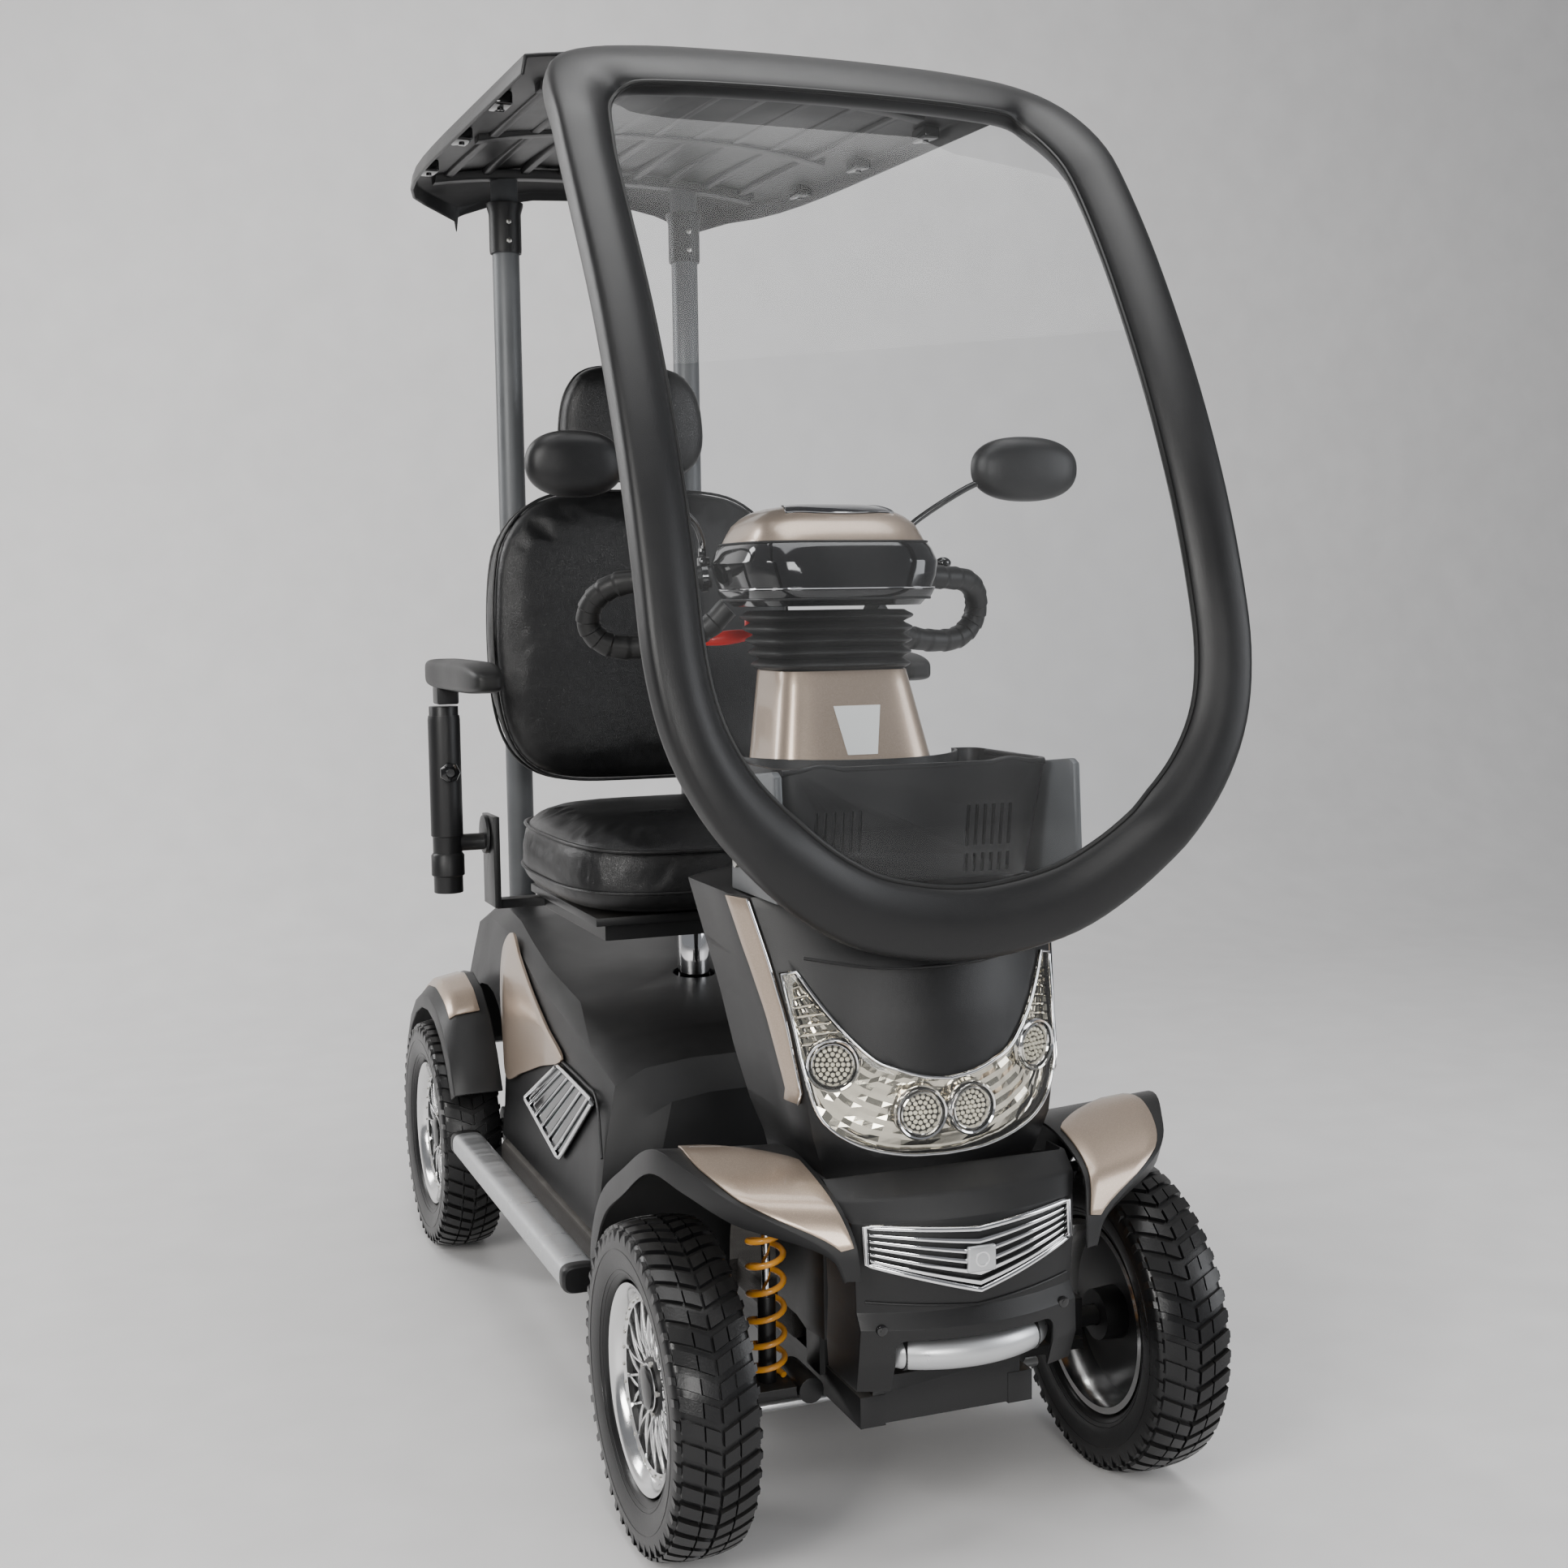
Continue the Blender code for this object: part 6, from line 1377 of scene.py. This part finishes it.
def make_tiller():
    levels = ((1.0425, 0.104, -0.080, 0.108), (1.050, 0.111, -0.084, 0.113), (1.0515, 0.116, -0.087, 0.117),
              (1.062, 0.122, -0.090, 0.122), (1.0635, 0.1185, -0.0875, 0.120), (1.078, 0.124, -0.0895, 0.125),
              (1.095, 0.127, -0.088, 0.128), (1.110, 0.121, -0.082, 0.124), (1.1178, 0.116, -0.077, 0.121))
    rows = [tiller_ring(half, front, rear, z) for z, half, front, rear in levels]
    head = bevelled(solid("head", rows), 0.0012, 3, 20)
    shown("tiller_body", head, "tiller_head", "gloss_black", replaces=("tiller_head",))
    levels = ((1.1187, 0.114, -0.074, 0.118), (1.130, 0.109, -0.067, 0.111), (1.140, 0.104, -0.060, 0.104),
              (1.149, 0.094, -0.049, 0.096), (1.156, 0.082, -0.036, 0.086), (1.1605, 0.066, -0.022, 0.073),
              (1.1628, 0.050, -0.010, 0.060))
    rows = [tiller_ring(half, front, rear, z) for z, half, front, rear in levels]
    hood = bevelled(solid("hood", rows), 0.001, 3, 25)
    shown("tiller_hood", hood, "tiller_visor", "champagne_paint", replaces=("tiller_visor",))

    tree = BVHTree.FromPolygons([v.co for v in hood.vertices], [tuple(p.vertices) for p in hood.polygons])

    def on_hood(x, y, lift):
        hit = tree.ray_cast(Vector((x, y, 1.3)), Vector((0, 0, -1)))[0]
        return (hit + Vector((0, 0, lift))) if hit else None

    rows = []
    for s in np.linspace(0, 1, 14):
        y = PIVOT.y - 0.046 + 0.075 * s
        half = 0.070 - 0.022 * s
        row = []
        for x in np.linspace(-half, half, 15):
            p = on_hood(x, y + 0.010 * (x / 0.07) ** 2, 0.0)
            row.append(p)
        rows.append([tuple(p + Vector((0, 0, 0.0018))) for p in row]
                    + [tuple(p - Vector((0, 0, 0.0010))) for p in reversed(row)])
    smoked = solid("smoked", rows, bevel=0.0006)
    shown("hood_smoked_panel", smoked, "tiller_visor", "smoked")
    count = len(rows[0]) // 2
    outline = [Vector(rows[0][j]) for j in range(count)]
    outline += [Vector(row[count - 1]) for row in rows[1:]]
    outline += [Vector(p) for p in reversed(rows[-1][:count - 1])]
    outline += [Vector(row[0]) for row in reversed(rows[1:-1])]
    shown("hood_trim", tube_mesh(outline, 0.0009, 6, closed=True), "tiller_visor", "chrome")

    # ribs and seam round the head
    for name, height, half, front, rear, radius, look in (
            ("head_seam", 1.1183, 0.1165, -0.0770, 0.1205, 0.0012, "gaiter_rubber"),
            ("head_step", 1.0508, 0.1155, -0.0868, 0.1170, 0.0016, "matte_black"),
            ("head_chrome_line", 1.0632, 0.1213, -0.0893, 0.1215, 0.0009, "chrome")):
        ring = [Vector(p) for p in tiller_ring(half, front, rear, height)]
        shown(name, tube_mesh(ring, radius, 8, closed=True), "tiller_head", look)

    # rider's side of the head: display, dial and switches
    y = PIVOT.y + 0.1265
    face = []
    panel = box_mesh((-0.092, y - 0.004, 1.078), (0.092, y + 0.0020, 1.113), 0.0035, 4)
    shown("console_panel", panel, "tiller_head", "smoked")
    screen = box_mesh((-0.034, y + 0.0018, 1.084), (0.034, y + 0.0030, 1.109), 0.0012, 3)
    shown("console_display", screen, "tiller_head", "mirror_glass")
    for x in (-0.078, -0.056, 0.056):
        face.append(box_mesh((x - 0.008, y + 0.001, 1.092), (x + 0.008, y + 0.0055, 1.104), 0.0018, 3))
    shown("console_switches", joined("console_switches", face), "tiller_head", "matte_black")
    dial = revolve([(0.0, 0.0115), (0.002, 0.0125), (0.010, 0.0110), (0.0115, 0.0095), (0.0115, 0.0005),
                    (0.0, 0.0005)],
                   40, "Y", (0.078, y + 0.0005, 1.098))
    shown("speed_dial", dial, "tiller_head", "matte_black")

    for word, side in SIDES:
        path = [(side * 0.128, PIVOT.y + 0.070, 1.080), (side * 0.180, PIVOT.y + 0.082, 1.077),
                (side * 0.236, PIVOT.y + 0.105, 1.072), (side * 0.262, PIVOT.y + 0.128, 1.050),
                (side * 0.262, PIVOT.y + 0.140, 1.018), (side * 0.232, PIVOT.y + 0.136, 0.996),
                (side * 0.170, PIVOT.y + 0.120, 0.998), (side * 0.124, PIVOT.y + 0.104, 1.016),
                (side * 0.098, PIVOT.y + 0.094, 1.0420)]
        points = catmull(path, 22)
        radii = []
        for i in range(len(points)):
            wrap = (i / 9.0) % 1.0
            covered = 8 < i < len(points) - 14
            radii.append(0.0140 + (0.0016 * wrap if covered else 0.0))
        shown("handle_grip_" + word, tube_mesh(points, radii, 24), "handle_" + word, "gaiter_rubber",
              replaces=("handle_" + word,))
        flange = [Vector(points[2]), Vector(points[5])]
        shown("handle_flange_" + word, tube_mesh(flange, 0.0185, 28), "handle_" + word, "gloss_black")


def make_levers():
    y = PIVOT.y + 0.142
    arm = tube_mesh(catmull([(0.118, y, 1.100), (0.140, y + 0.002, 1.1005), (0.180, y + 0.007, 1.0985),
                             (0.214, y + 0.0105, 1.0965)], 6), 0.0052, 16)
    ball = bmesh.new()
    bmesh.ops.create_uvsphere(ball, u_segments=24, v_segments=16, radius=1.0)
    bmesh.ops.scale(ball, vec=(0.0112, 0.0080, 0.0080), verts=ball.verts)
    bmesh.ops.translate(ball, vec=(0.2270, y + 0.012, 1.096), verts=ball.verts)
    boss = box_mesh((0.100, y - 0.0125, 1.088), (0.131, y + 0.012, 1.112), 0.0035, 3)
    shown("brake_lever_arm", joined("brake", [arm, to_mesh("ball", ball), boss]), "brake_lever",
          "gloss_black",
          replaces=("brake_lever",))
    pin = rod_mesh((0.115, y, 1.085), (0.115, y, 1.115), 0.004, 20, 0.0008)
    shown("brake_pin", pin, "tiller_head", "steel")
    rows = []
    for s in np.linspace(0, 1, 14):
        x = -0.052 - 0.062 * s
        yy, z = PIVOT.y + 0.150 + 0.004 * s, 1.006 - 0.006 * s
        r = 0.0070 + 0.0022 * math.sin(math.pi * min(s * 1.15, 1.0))
        if s > 0.93:
            r *= 0.55
        rows.append([(x, yy + math.cos(a) * r * 0.8, z + math.sin(a) * r)
                     for a in np.linspace(0, 2 * math.pi, 25)[:-1]])
    grip = solid("grip", rows)
    stem = rod_mesh((-0.050, PIVOT.y + 0.150, 1.002), (-0.050, PIVOT.y + 0.150, 1.030), 0.0055, 20, 0.001)
    shown("tilt_lever_grip", joined("tilt", [grip, stem]), "tilt_lever", "lever_red",
          replaces=("tilt_lever",))
    refined("throttle_paddle", bevel=0.0015, segments=3)


def make_mirrors():
    for word, side in SIDES:
        centre = Vector((0.300 if side > 0 else -0.298, back(0.250), 1.214))
        half_x, half_z = (0.0755, 0.0415) if side > 0 else (0.0595, 0.0395)
        rows = []
        for y, share in ((0.0120, 0.0), (0.0122, 0.90), (0.0132, 0.955), (0.0140, 0.985), (0.0125, 1.0),
                         (0.0060, 0.995),
                         (-0.0020, 0.94), (-0.0085, 0.80), (-0.0125, 0.58), (-0.0142, 0.30), (-0.0148, 0.0)):
            ring = []
            for k in range(64):
                a = 2 * math.pi * k / 64
                c, s = math.cos(a), math.sin(a)
                ring.append((centre.x + bulge(c, 0.85) * half_x * max(share, 0.002),
                             centre.y + y, centre.z + bulge(s, 0.85) * half_z * max(share, 0.002)))
            rows.append(ring)
        shown("mirror_shell_" + word, solid("shell", rows), "mirror_" + word,
              "matte_black",
              replaces=("mirror_" + word,))
        glass = []
        for y, share in ((0.0123, 0.001), (0.0126, 0.88), (0.0118, 0.885), (0.0115, 0.001)):
            glass.append([(centre.x + bulge(math.cos(a), 0.85) * half_x * share,
                           centre.y + y, centre.z + bulge(math.sin(a), 0.85) * half_z * share)
                          for a in np.linspace(0, 2 * math.pi, 65)[:-1]])
        shown("mirror_glass_" + word, solid("glass", glass), "mirror_" + word,
              "mirror_glass")
        if side > 0:
            stalk = [(0.1335, PIVOT.y + 0.085, 1.1045), (0.1340, PIVOT.y + 0.086, 1.126),
                     (0.156, PIVOT.y + 0.080, 1.150), (0.220, PIVOT.y + 0.066, 1.190),
                     (0.262, PIVOT.y + 0.060, 1.204)]
        else:
            stalk = [(-0.1335, PIVOT.y + 0.085, 1.1045), (-0.1340, PIVOT.y + 0.086, 1.126),
                     (-0.150, PIVOT.y + 0.082, 1.152), (-0.206, PIVOT.y + 0.068, 1.188),
                     (-0.262, PIVOT.y + 0.060, 1.206)]
        meshes = [tube_mesh(catmull(stalk, 8), 0.0043, 14),
                  rod_mesh(Vector(stalk[0]), Vector(stalk[0]) + Vector((0, 0, 0.010)), 0.0052, 6, 0.0006)]
        shown("mirror_stalk_" + word, joined("mirror_stalk", meshes), "mirror_" + word, "gloss_black")
        clamp = box_mesh((side * 0.1262, PIVOT.y + 0.076, 1.092),
                         (side * 0.1390, PIVOT.y + 0.094, 1.1036), 0.002, 2)
        shown("mirror_clamp_" + word, clamp, "tiller_head", "gloss_black")


# ---- seat -------------------------------------------------------------------------------------
def cushion_form(low, high, power):
    """Crowned closed form that fills a box; a higher power makes it squarer."""
    centre = (low + high) / 2
    half = (high - low) / 2
    bm = bmesh.new()
    bmesh.ops.create_cube(bm, size=2.0)
    bmesh.ops.subdivide_edges(bm, edges=bm.edges, cuts=17, use_grid_fill=True)
    for vert in bm.verts:
        n = vert.co.copy()
        length = (abs(n.x) ** power + abs(n.y) ** power + abs(n.z) ** power) ** (1 / power)
        p = n / max(length, 1e-6)
        vert.co = Vector((p.x * half.x, p.y * half.y, p.z * half.z)) + centre
    return to_mesh("cushion", bm)


def stuffed(name, mesh, node, pin, press, cap):
    """Pad with its cover blown out and settled by a cloth run, then fixed as a plain mesh."""
    mesh = worked(mesh, ("REMESH", {"mode": "VOXEL", "voxel_size": 0.0065, "use_smooth_shade": True}))
    item = bpy.data.objects.new(name + "_work", mesh)
    bpy.context.scene.collection.objects.link(item)
    before = np.array([v.co for v in mesh.vertices])
    group = item.vertex_groups.new(name="held")
    group.add([v.index for v in mesh.vertices if pin(v.co)], 1.0, "REPLACE")
    cloth = item.modifiers.new("cloth", "CLOTH")
    cloth.settings.quality = 5
    cloth.settings.use_pressure = True
    cloth.settings.uniform_pressure_force = press
    cloth.settings.tension_stiffness = 30
    cloth.settings.compression_stiffness = 22
    cloth.settings.shear_stiffness = 12
    cloth.settings.bending_stiffness = 4
    cloth.settings.effector_weights.gravity = 0.0
    cloth.settings.vertex_group_mass = "held"
    scene = bpy.context.scene
    scene.frame_start, scene.frame_end = 1, 20
    for step in range(1, 19):
        scene.frame_set(step)
    graph = bpy.context.evaluated_depsgraph_get()
    result = bpy.data.meshes.new_from_object(item.evaluated_get(graph), depsgraph=graph)
    scene.frame_set(1)
    after = np.array([v.co for v in result.vertices])
    shift = after - before
    size = np.linalg.norm(shift, axis=1, keepdims=True)
    shift *= np.minimum(1.0, cap / np.maximum(size, 1e-9))
    result.vertices.foreach_set("co", (before + shift).ravel())
    bpy.data.objects.remove(item)
    mesh = result
    piece = shown(name, mesh, node, "leather_black", replaces=(node,))
    for polygon in piece.data.polygons:
        polygon.use_smooth = True
    sharp = piece.data.attributes.get("sharp_edge")
    if sharp:
        piece.data.attributes.remove(sharp)
    return piece


def seam_ring(centre, half, power, level, axis, count=120, grow=1.0):
    """Closed line on a rounded box, at a level from -1 to 1 along the axis."""
    points = []
    shrink = (1 - abs(level) ** power) ** (1 / power)
    others = [i for i in range(3) if i != axis]
    for step in range(count):
        a = 2 * math.pi * step / count
        c, s = math.cos(a), math.sin(a)
        e = (abs(c) ** power + abs(s) ** power) ** (-1 / power)
        p = [0, 0, 0]
        p[axis] = level * half[axis] * grow
        p[others[0]] = c * e * half[others[0]] * shrink * grow
        p[others[1]] = s * e * half[others[1]] * shrink * grow
        points.append(Vector(centre) + Vector(p))
    return points


def make_seat():
    low, high = corners("seat_cushion")
    low, high = low + Vector((0.002, 0.002, 0)), high - Vector((0.002, 0.002, 0.004))
    power = 4.2
    base = cushion_form(low, high, power)
    for vert in base.vertices:
        share = (vert.co.z - low.z) / (high.z - low.z)
        front = max((low.y + 0.16 - vert.co.y) / 0.16, 0.0)
        vert.co.z -= 0.014 * front ** 2 * share
        vert.co.x *= 1.0 - 0.05 * max((vert.co.y - high.y + 0.2) / 0.2, 0.0)
    stuffed("seat_cushion_pad", base, "seat_cushion", lambda p: p.z < low.z + 0.045, 3.5, 0.004)
    centre, half = (low + high) / 2, (high - low) / 2
    piping = []
    for level, radius in ((0.58, 0.0026), (-0.34, 0.0024)):
        ring = seam_ring(centre, half, power, level, 2, grow=1.002)
        for p in ring:
            share = (p.z - low.z) / (high.z - low.z)
            front = max((low.y + 0.16 - p.y) / 0.16, 0.0)
            p.z -= 0.014 * front ** 2 * share
            p.x *= 1.0 - 0.05 * max((p.y - high.y + 0.2) / 0.2, 0.0)
        piping.append(tube_mesh(ring, radius, 8, closed=True))
    shown("seat_cushion_piping", joined("piping", piping), "seat_cushion", "leather_black")

    low, high = corners("backrest")
    lean = math.radians(4.0)
    centre = Vector((0, back(0.985), 0.9975))
    half = Vector((0.243, 0.050, 0.2265))
    power_back = 4.6
    bm = bmesh.new()
    shape = cushion_form(-half, half, power_back)
    for vert in shape.vertices:
        share = (vert.co.z + half.z) / (2 * half.z)
        taper = 0.93 + 0.07 * math.sin(math.pi * min(max(share * 1.05, 0), 1))
        vert.co.x *= taper * (1.0 - 0.06 * max(share - 0.8, 0) / 0.2)
        vert.co.y += 0.010 * (vert.co.x / half.x) ** 2 * (-1 if vert.co.y < 0 else -0.3)
    turn = Matrix.Translation(centre) @ Matrix.Rotation(-lean, 4, "X")
    pad = moved(shape, turn)
    bm.free()
    stuffed("backrest_pad", pad, "backrest", lambda p: p.y > centre.y + 0.020, 3.0, 0.003)
    rings = []
    for level in (-0.30, 0.42):
        ring = seam_ring((0, 0, 0), half, power_back, level, 1, grow=1.0)
        for p in ring:
            share = (p.z + half.z) / (2 * half.z)
            taper = 0.93 + 0.07 * math.sin(math.pi * min(max(share * 1.05, 0), 1))
            p.x *= taper * (1.0 - 0.06 * max(share - 0.8, 0) / 0.2)
            p.y += 0.010 * (p.x / half.x) ** 2 * (-1 if p.y < 0 else -0.3)
        rings.append(tube_mesh([turn @ p for p in ring], 0.0024, 8, closed=True))
    shown("backrest_piping", joined("piping", rings), "backrest", "leather_black")
    shell = cushion_form(Vector((-0.215, 0.022, -0.190)), Vector((0.215, 0.0535, 0.200)), 6.0)
    shown("backrest_shell", moved(shell, turn), "backrest", "matte_black")
    stalks = []
    for x in (-0.062, 0.062):
        a = centre + Vector((x, 0.006, 0.200))
        stalks.append(rod_mesh(a, (x, back(1.015), 1.262), 0.0055, 20, 0.0008))
    shown("headrest_stalks", joined("headrest_stalks", stalks), "headrest", "chrome")
    sleeves = [rod_mesh((x, back(1.0135) - 0.006, 1.214), (x, back(1.0135) - 0.005, 1.232), 0.0095, 24, 0.002)
               for x in (-0.062, 0.062)]
    shown("headrest_sleeves", joined("headrest_sleeves", sleeves), "backrest", "matte_black")

    low, high = corners("headrest")
    low, high = low + Vector((0.003, 0.002, 0.002)), high - Vector((0.003, 0.002, 0.003))
    pad = cushion_form(low, high, 3.4)
    for vert in pad.vertices:
        vert.co.y += 0.016 * (vert.co.x / 0.12) ** 2 * (-0.5) + 0.004
        share = (vert.co.z - low.z) / (high.z - low.z)
        vert.co.x *= 0.90 + 0.10 * math.sin(math.pi * min(share + 0.15, 1.0))
    stuffed("headrest_pad", pad, "headrest", lambda p: p.y > high.y - 0.022, 3.0, 0.0025)
    ring = seam_ring((low + high) / 2, (high - low) / 2, 3.4, 0.15, 1, grow=1.001)
    for p in ring:
        p.y += 0.016 * (p.x / 0.12) ** 2 * (-0.5) + 0.004
        share = (p.z - low.z) / (high.z - low.z)
        p.x *= 0.90 + 0.10 * math.sin(math.pi * min(share + 0.15, 1.0))
    shown("headrest_piping", tube_mesh(ring, 0.0022, 8, closed=True), "headrest", "leather_black")

    for word, side in SIDES:
        low, high = corners("armrest_pad_" + word)
        top = 0.925
        pad = cushion_form(Vector((low.x + 0.001, low.y + 0.001, top)),
                           Vector((high.x - 0.001, high.y - 0.001, high.z)), 4.5)
        for vert in pad.vertices:
            front = max((low.y + 0.09 - vert.co.y) / 0.09, 0.0)
            vert.co.z -= 0.010 * front ** 2 * (vert.co.z - top) / 0.045
        x = side * 0.330
        bracket = box_mesh((x - 0.016, back(0.925) - 0.040, 0.902),
                           (x + 0.016, back(0.925) - 0.001, 0.934), 0.003, 3)
        shown("arm_pad_" + word, pad, "armrest_pad_" + word, "gaiter_rubber",
              replaces=("armrest_pad_" + word,))
        shown("arm_pad_bracket_" + word, bracket, "armrest_pad_" + word, "frame_black")
        y = back(0.925)
        sleeve = revolve([(0.700, 0.0222), (0.702, 0.0242), (0.878, 0.0242), (0.884, 0.0232),
                          (0.884, 0.0222)], 32, "Z",
                         (x, y, 0))
        foot = revolve([(0.640, 0.0222), (0.642, 0.0250), (0.672, 0.0250), (0.676, 0.0222)], 32, "Z",
                       (x, y, 0))
        shown("arm_sleeve_" + word, joined("arm_sleeve", [sleeve, foot]), "seat_frame", "matte_black")
        knob = revolve([(0.0, 0.0145), (0.003, 0.0160), (0.010, 0.0155), (0.013, 0.0120), (0.013, 0.0005),
                        (0.0, 0.0005)],
                       7, "Y", (x, y - 0.0385, 0.800))
        shown("arm_knob_" + word, bevelled(knob, 0.0015, 3), "seat_frame", "gloss_black")
        cap = revolve([(0.0, 0.0060), (0.0022, 0.0055), (0.0024, 0.0005), (0.0, 0.0005)], 24, "Y",
                      (x, y - 0.0410, 0.800))
        stud = rod_mesh((x, y - 0.026, 0.800), (x, y - 0.020, 0.800), 0.006, 20)
        shown("arm_knob_cap_" + word, joined("knob_cap", [cap, stud]), "seat_frame", "chrome")
        cover_x = side * 0.2700
        dial = revolve([(0.0, 0.0300), (side * 0.004, 0.0290), (side * 0.0055, 0.0200),
                        (side * 0.0056, 0.0005), (0.0, 0.0005)],
                       40, "X", (cover_x, back(0.930), 0.700))
        shown("recline_cap_" + word, dial, "seat_frame", "matte_black")
    refined("seat_frame", bevel=0.0020, segments=2)
    refined("seat_swivel", bevel=0.0015, segments=2)


# ---- front suspension -------------------------------------------------------------------------
def make_springs():
    for word, _ in SIDES:
        node = "front_spring_" + word
        low, high = corners(node)
        x, y = (low.x + high.x) / 2, (low.y + high.y) / 2
        wire, turns = 0.0036, 7
        radius = (high.y - low.y) / 2 - wire - 0.0005
        path = []
        for step in range(turns * 20 + 1):
            share = step / (turns * 20)
            angle = 2 * math.pi * turns * share
            flat = share + 0.018 * math.sin(2 * math.pi * share) * -1
            path.append((x + radius * math.cos(angle), y + radius * math.sin(angle),
                         low.z + wire + (high.z - low.z - 2 * wire) * flat))
        span = ((x, y, high.z - 0.012), (x, y, low.z + 0.012))
        shown("coil_" + word, tube_mesh(path, wire, 12), node, "spring_orange", replaces=(node,),
              between=("root", "front_arm_" + word, *span))
        damper = [rod_mesh((x, y, low.z), (x, y, low.z + 0.100), 0.0105, 28, 0.001),
                  rod_mesh((x, y, low.z + 0.100), (x, y, high.z - 0.012), 0.0050, 20)]
        shown("damper_" + word, damper[0], "front_arm_" + word, "frame_black")
        shown("damper_shaft_" + word, damper[1], "front_arm_" + word, "chrome")
        cap = revolve([(high.z - 0.006, 0.004), (high.z - 0.006, 0.0235), (high.z - 0.001, 0.0235),
                       (high.z - 0.001, 0.004)], 32, "Z", (x, y, 0))
        shown("spring_cap_" + word, cap, "chassis_frame", "frame_black")


# ---- rear body and deck -----------------------------------------------------------------------
def body_side(height, side, lift=0.0):
    return side * (0.262 - 0.179 * (height - 0.232) + lift)


def side_patch(outline, side, lift, thick, rings=5):
    """Plate with the outline given as (distance behind the front axle, height), laid on the body's side."""
    points = catmull(outline, 6, closed=True)
    centre = points.mean(axis=0)
    front_rows, back_rows = [], []
    for share in np.linspace(1.0, 0.02, rings):
        ring = centre + (points - centre) * share
        front_rows.append([(body_side(z, side, lift + thick), back(y), z) for y, z in ring])
        back_rows.append([(body_side(z, side, lift), back(y), z) for y, z in ring])
    rows = list(reversed(front_rows)) + back_rows
    return solid("patch", rows, bevel=0.0006)


def make_body():
    refined("rear_body_cover", bevel=0.006, segments=4, angle=50)
    for word, side in SIDES:
        swoosh = [(0.640, 0.408), (0.740, 0.434), (0.850, 0.466), (0.950, 0.502), (1.015, 0.530),
                  (1.060, 0.500),
                  (1.040, 0.440), (0.980, 0.375), (0.920, 0.322), (0.840, 0.345), (0.745, 0.376)]
        panel = side_patch(swoosh, side, 0.0006, 0.0045)
        shown("side_panel_skin_" + word, panel, "side_panel_" + word, "champagne_paint",
              replaces=("side_panel_" + word,))
        vent_corners = [(0.655, 0.397), (0.463, 0.390), (0.579, 0.283), (0.800, 0.318)]

        def on_side(y, z, lift):
            return Vector((body_side(z, side, lift), back(y), z))

        path = []
        for a, b in zip(vent_corners, vent_corners[1:] + vent_corners[:1]):
            path += [on_side(a[0] + (b[0] - a[0]) * t, a[1] + (b[1] - a[1]) * t,
                             0.0045) for t in np.linspace(0.04, 0.96, 8)]
        rim = tube_mesh(path, 0.0034, 10, closed=True)
        slats = []
        for k in range(5):
            s = (k + 0.7) / 5.4
            a = (0.463 + (0.655 - 0.463) * s, 0.390 + 0.007 * s)
            b = (0.579 + (0.800 - 0.579) * s, 0.283 + 0.035 * s)
            rows = []
            for t in np.linspace(0.03, 0.97, 10):
                y, z = a[0] + (b[0] - a[0]) * t, a[1] + (b[1] - a[1]) * t
                rows.append([on_side(y - 0.007, z, 0.0030), on_side(y - 0.005, z, 0.0065),
                             on_side(y + 0.006, z, 0.0050),
                             on_side(y + 0.007, z, 0.0020)])
            slats.append(solid("slat", rows, bevel=0.0008))
        shown("vent_bars_" + word, joined("vent", [rim] + slats), "rear_body_cover", "chrome")
        rows = []
        for t in np.linspace(0, 1, 10):
            a = (0.463 + (0.655 - 0.463) * t, 0.390 + 0.007 * t)
            b = (0.579 + (0.800 - 0.579) * t, 0.283 + 0.035 * t)
            line = [(a[0] + (b[0] - a[0]) * u, a[1] + (b[1] - a[1]) * u) for u in np.linspace(0, 1, 8)]
            rows.append([on_side(y, z, 0.0022) for y, z in line] + [on_side(y, z, 0.0004) for y,
                                                                    z in reversed(line)])
        plate = solid("vent_back", rows)
        shown("vent_back_" + word, plate, "rear_body_cover", "gloss_black")
        crease = [on_side(y, z, 0.0005) for y, z in ((0.40, 0.330), (0.46, 0.392), (0.52, 0.400),
                                                     (0.655, 0.404))]
        shown("body_crease_" + word, tube_mesh(catmull(crease, 6), 0.0020, 8), "rear_body_cover",
              "matte_black")

        low, high = corners("step_bar_" + word)
        x = (low.x + high.x) / 2
        wide, tall = (high.x - low.x) / 2 - 0.0005, (high.z - low.z) / 2 - 0.0005
        z = (low.z + high.z) / 2
        rows = []
        for y in np.linspace(low.y + 0.012, high.y - 0.012, 12):
            rows.append([(x + bulge(math.cos(a), 0.6) * wide, y,
                          z + bulge(math.sin(a), 0.6) * tall)
                         for a in np.linspace(0, 2 * math.pi, 41)[:-1]])
        shown("step_bar_tube_" + word, solid("step", rows), "step_bar_" + word,
              "satin_silver",
              replaces=("step_bar_" + word,))
        caps = []
        for y0, y1 in ((low.y + 0.0005, low.y + 0.024), (high.y - 0.024, high.y - 0.0005)):
            rows = []
            for s in np.linspace(0, 1, 7):
                y = y0 + (y1 - y0) * s
                edge = min(s, 1 - s)
                g = 1.0 if edge > 0.2 else 0.86 + 0.14 * edge / 0.2
                rows.append([(x + bulge(math.cos(a), 0.6) * (wide + 0.0006) * g, y,
                              z + bulge(math.sin(a), 0.6) * (tall + 0.0006) * g)
                             for a in np.linspace(0, 2 * math.pi, 41)[:-1]])
            caps.append(solid("cap", rows))
        shown("step_bar_caps_" + word, joined("step_caps", caps), "step_bar_" + word, "matte_black")
    refined("floor_deck", bevel=0.0025, segments=3, material="deck_grey")


make_basket()
make_column()
make_tiller()
make_levers()
make_mirrors()
make_seat()
make_springs()
make_body()

# ---- the rest of the frame, with rounded edges ------------------------------------------------
for node in NODES:
    if node not in SHAPED:
        refined(node, bevel=0.0010, segments=2)
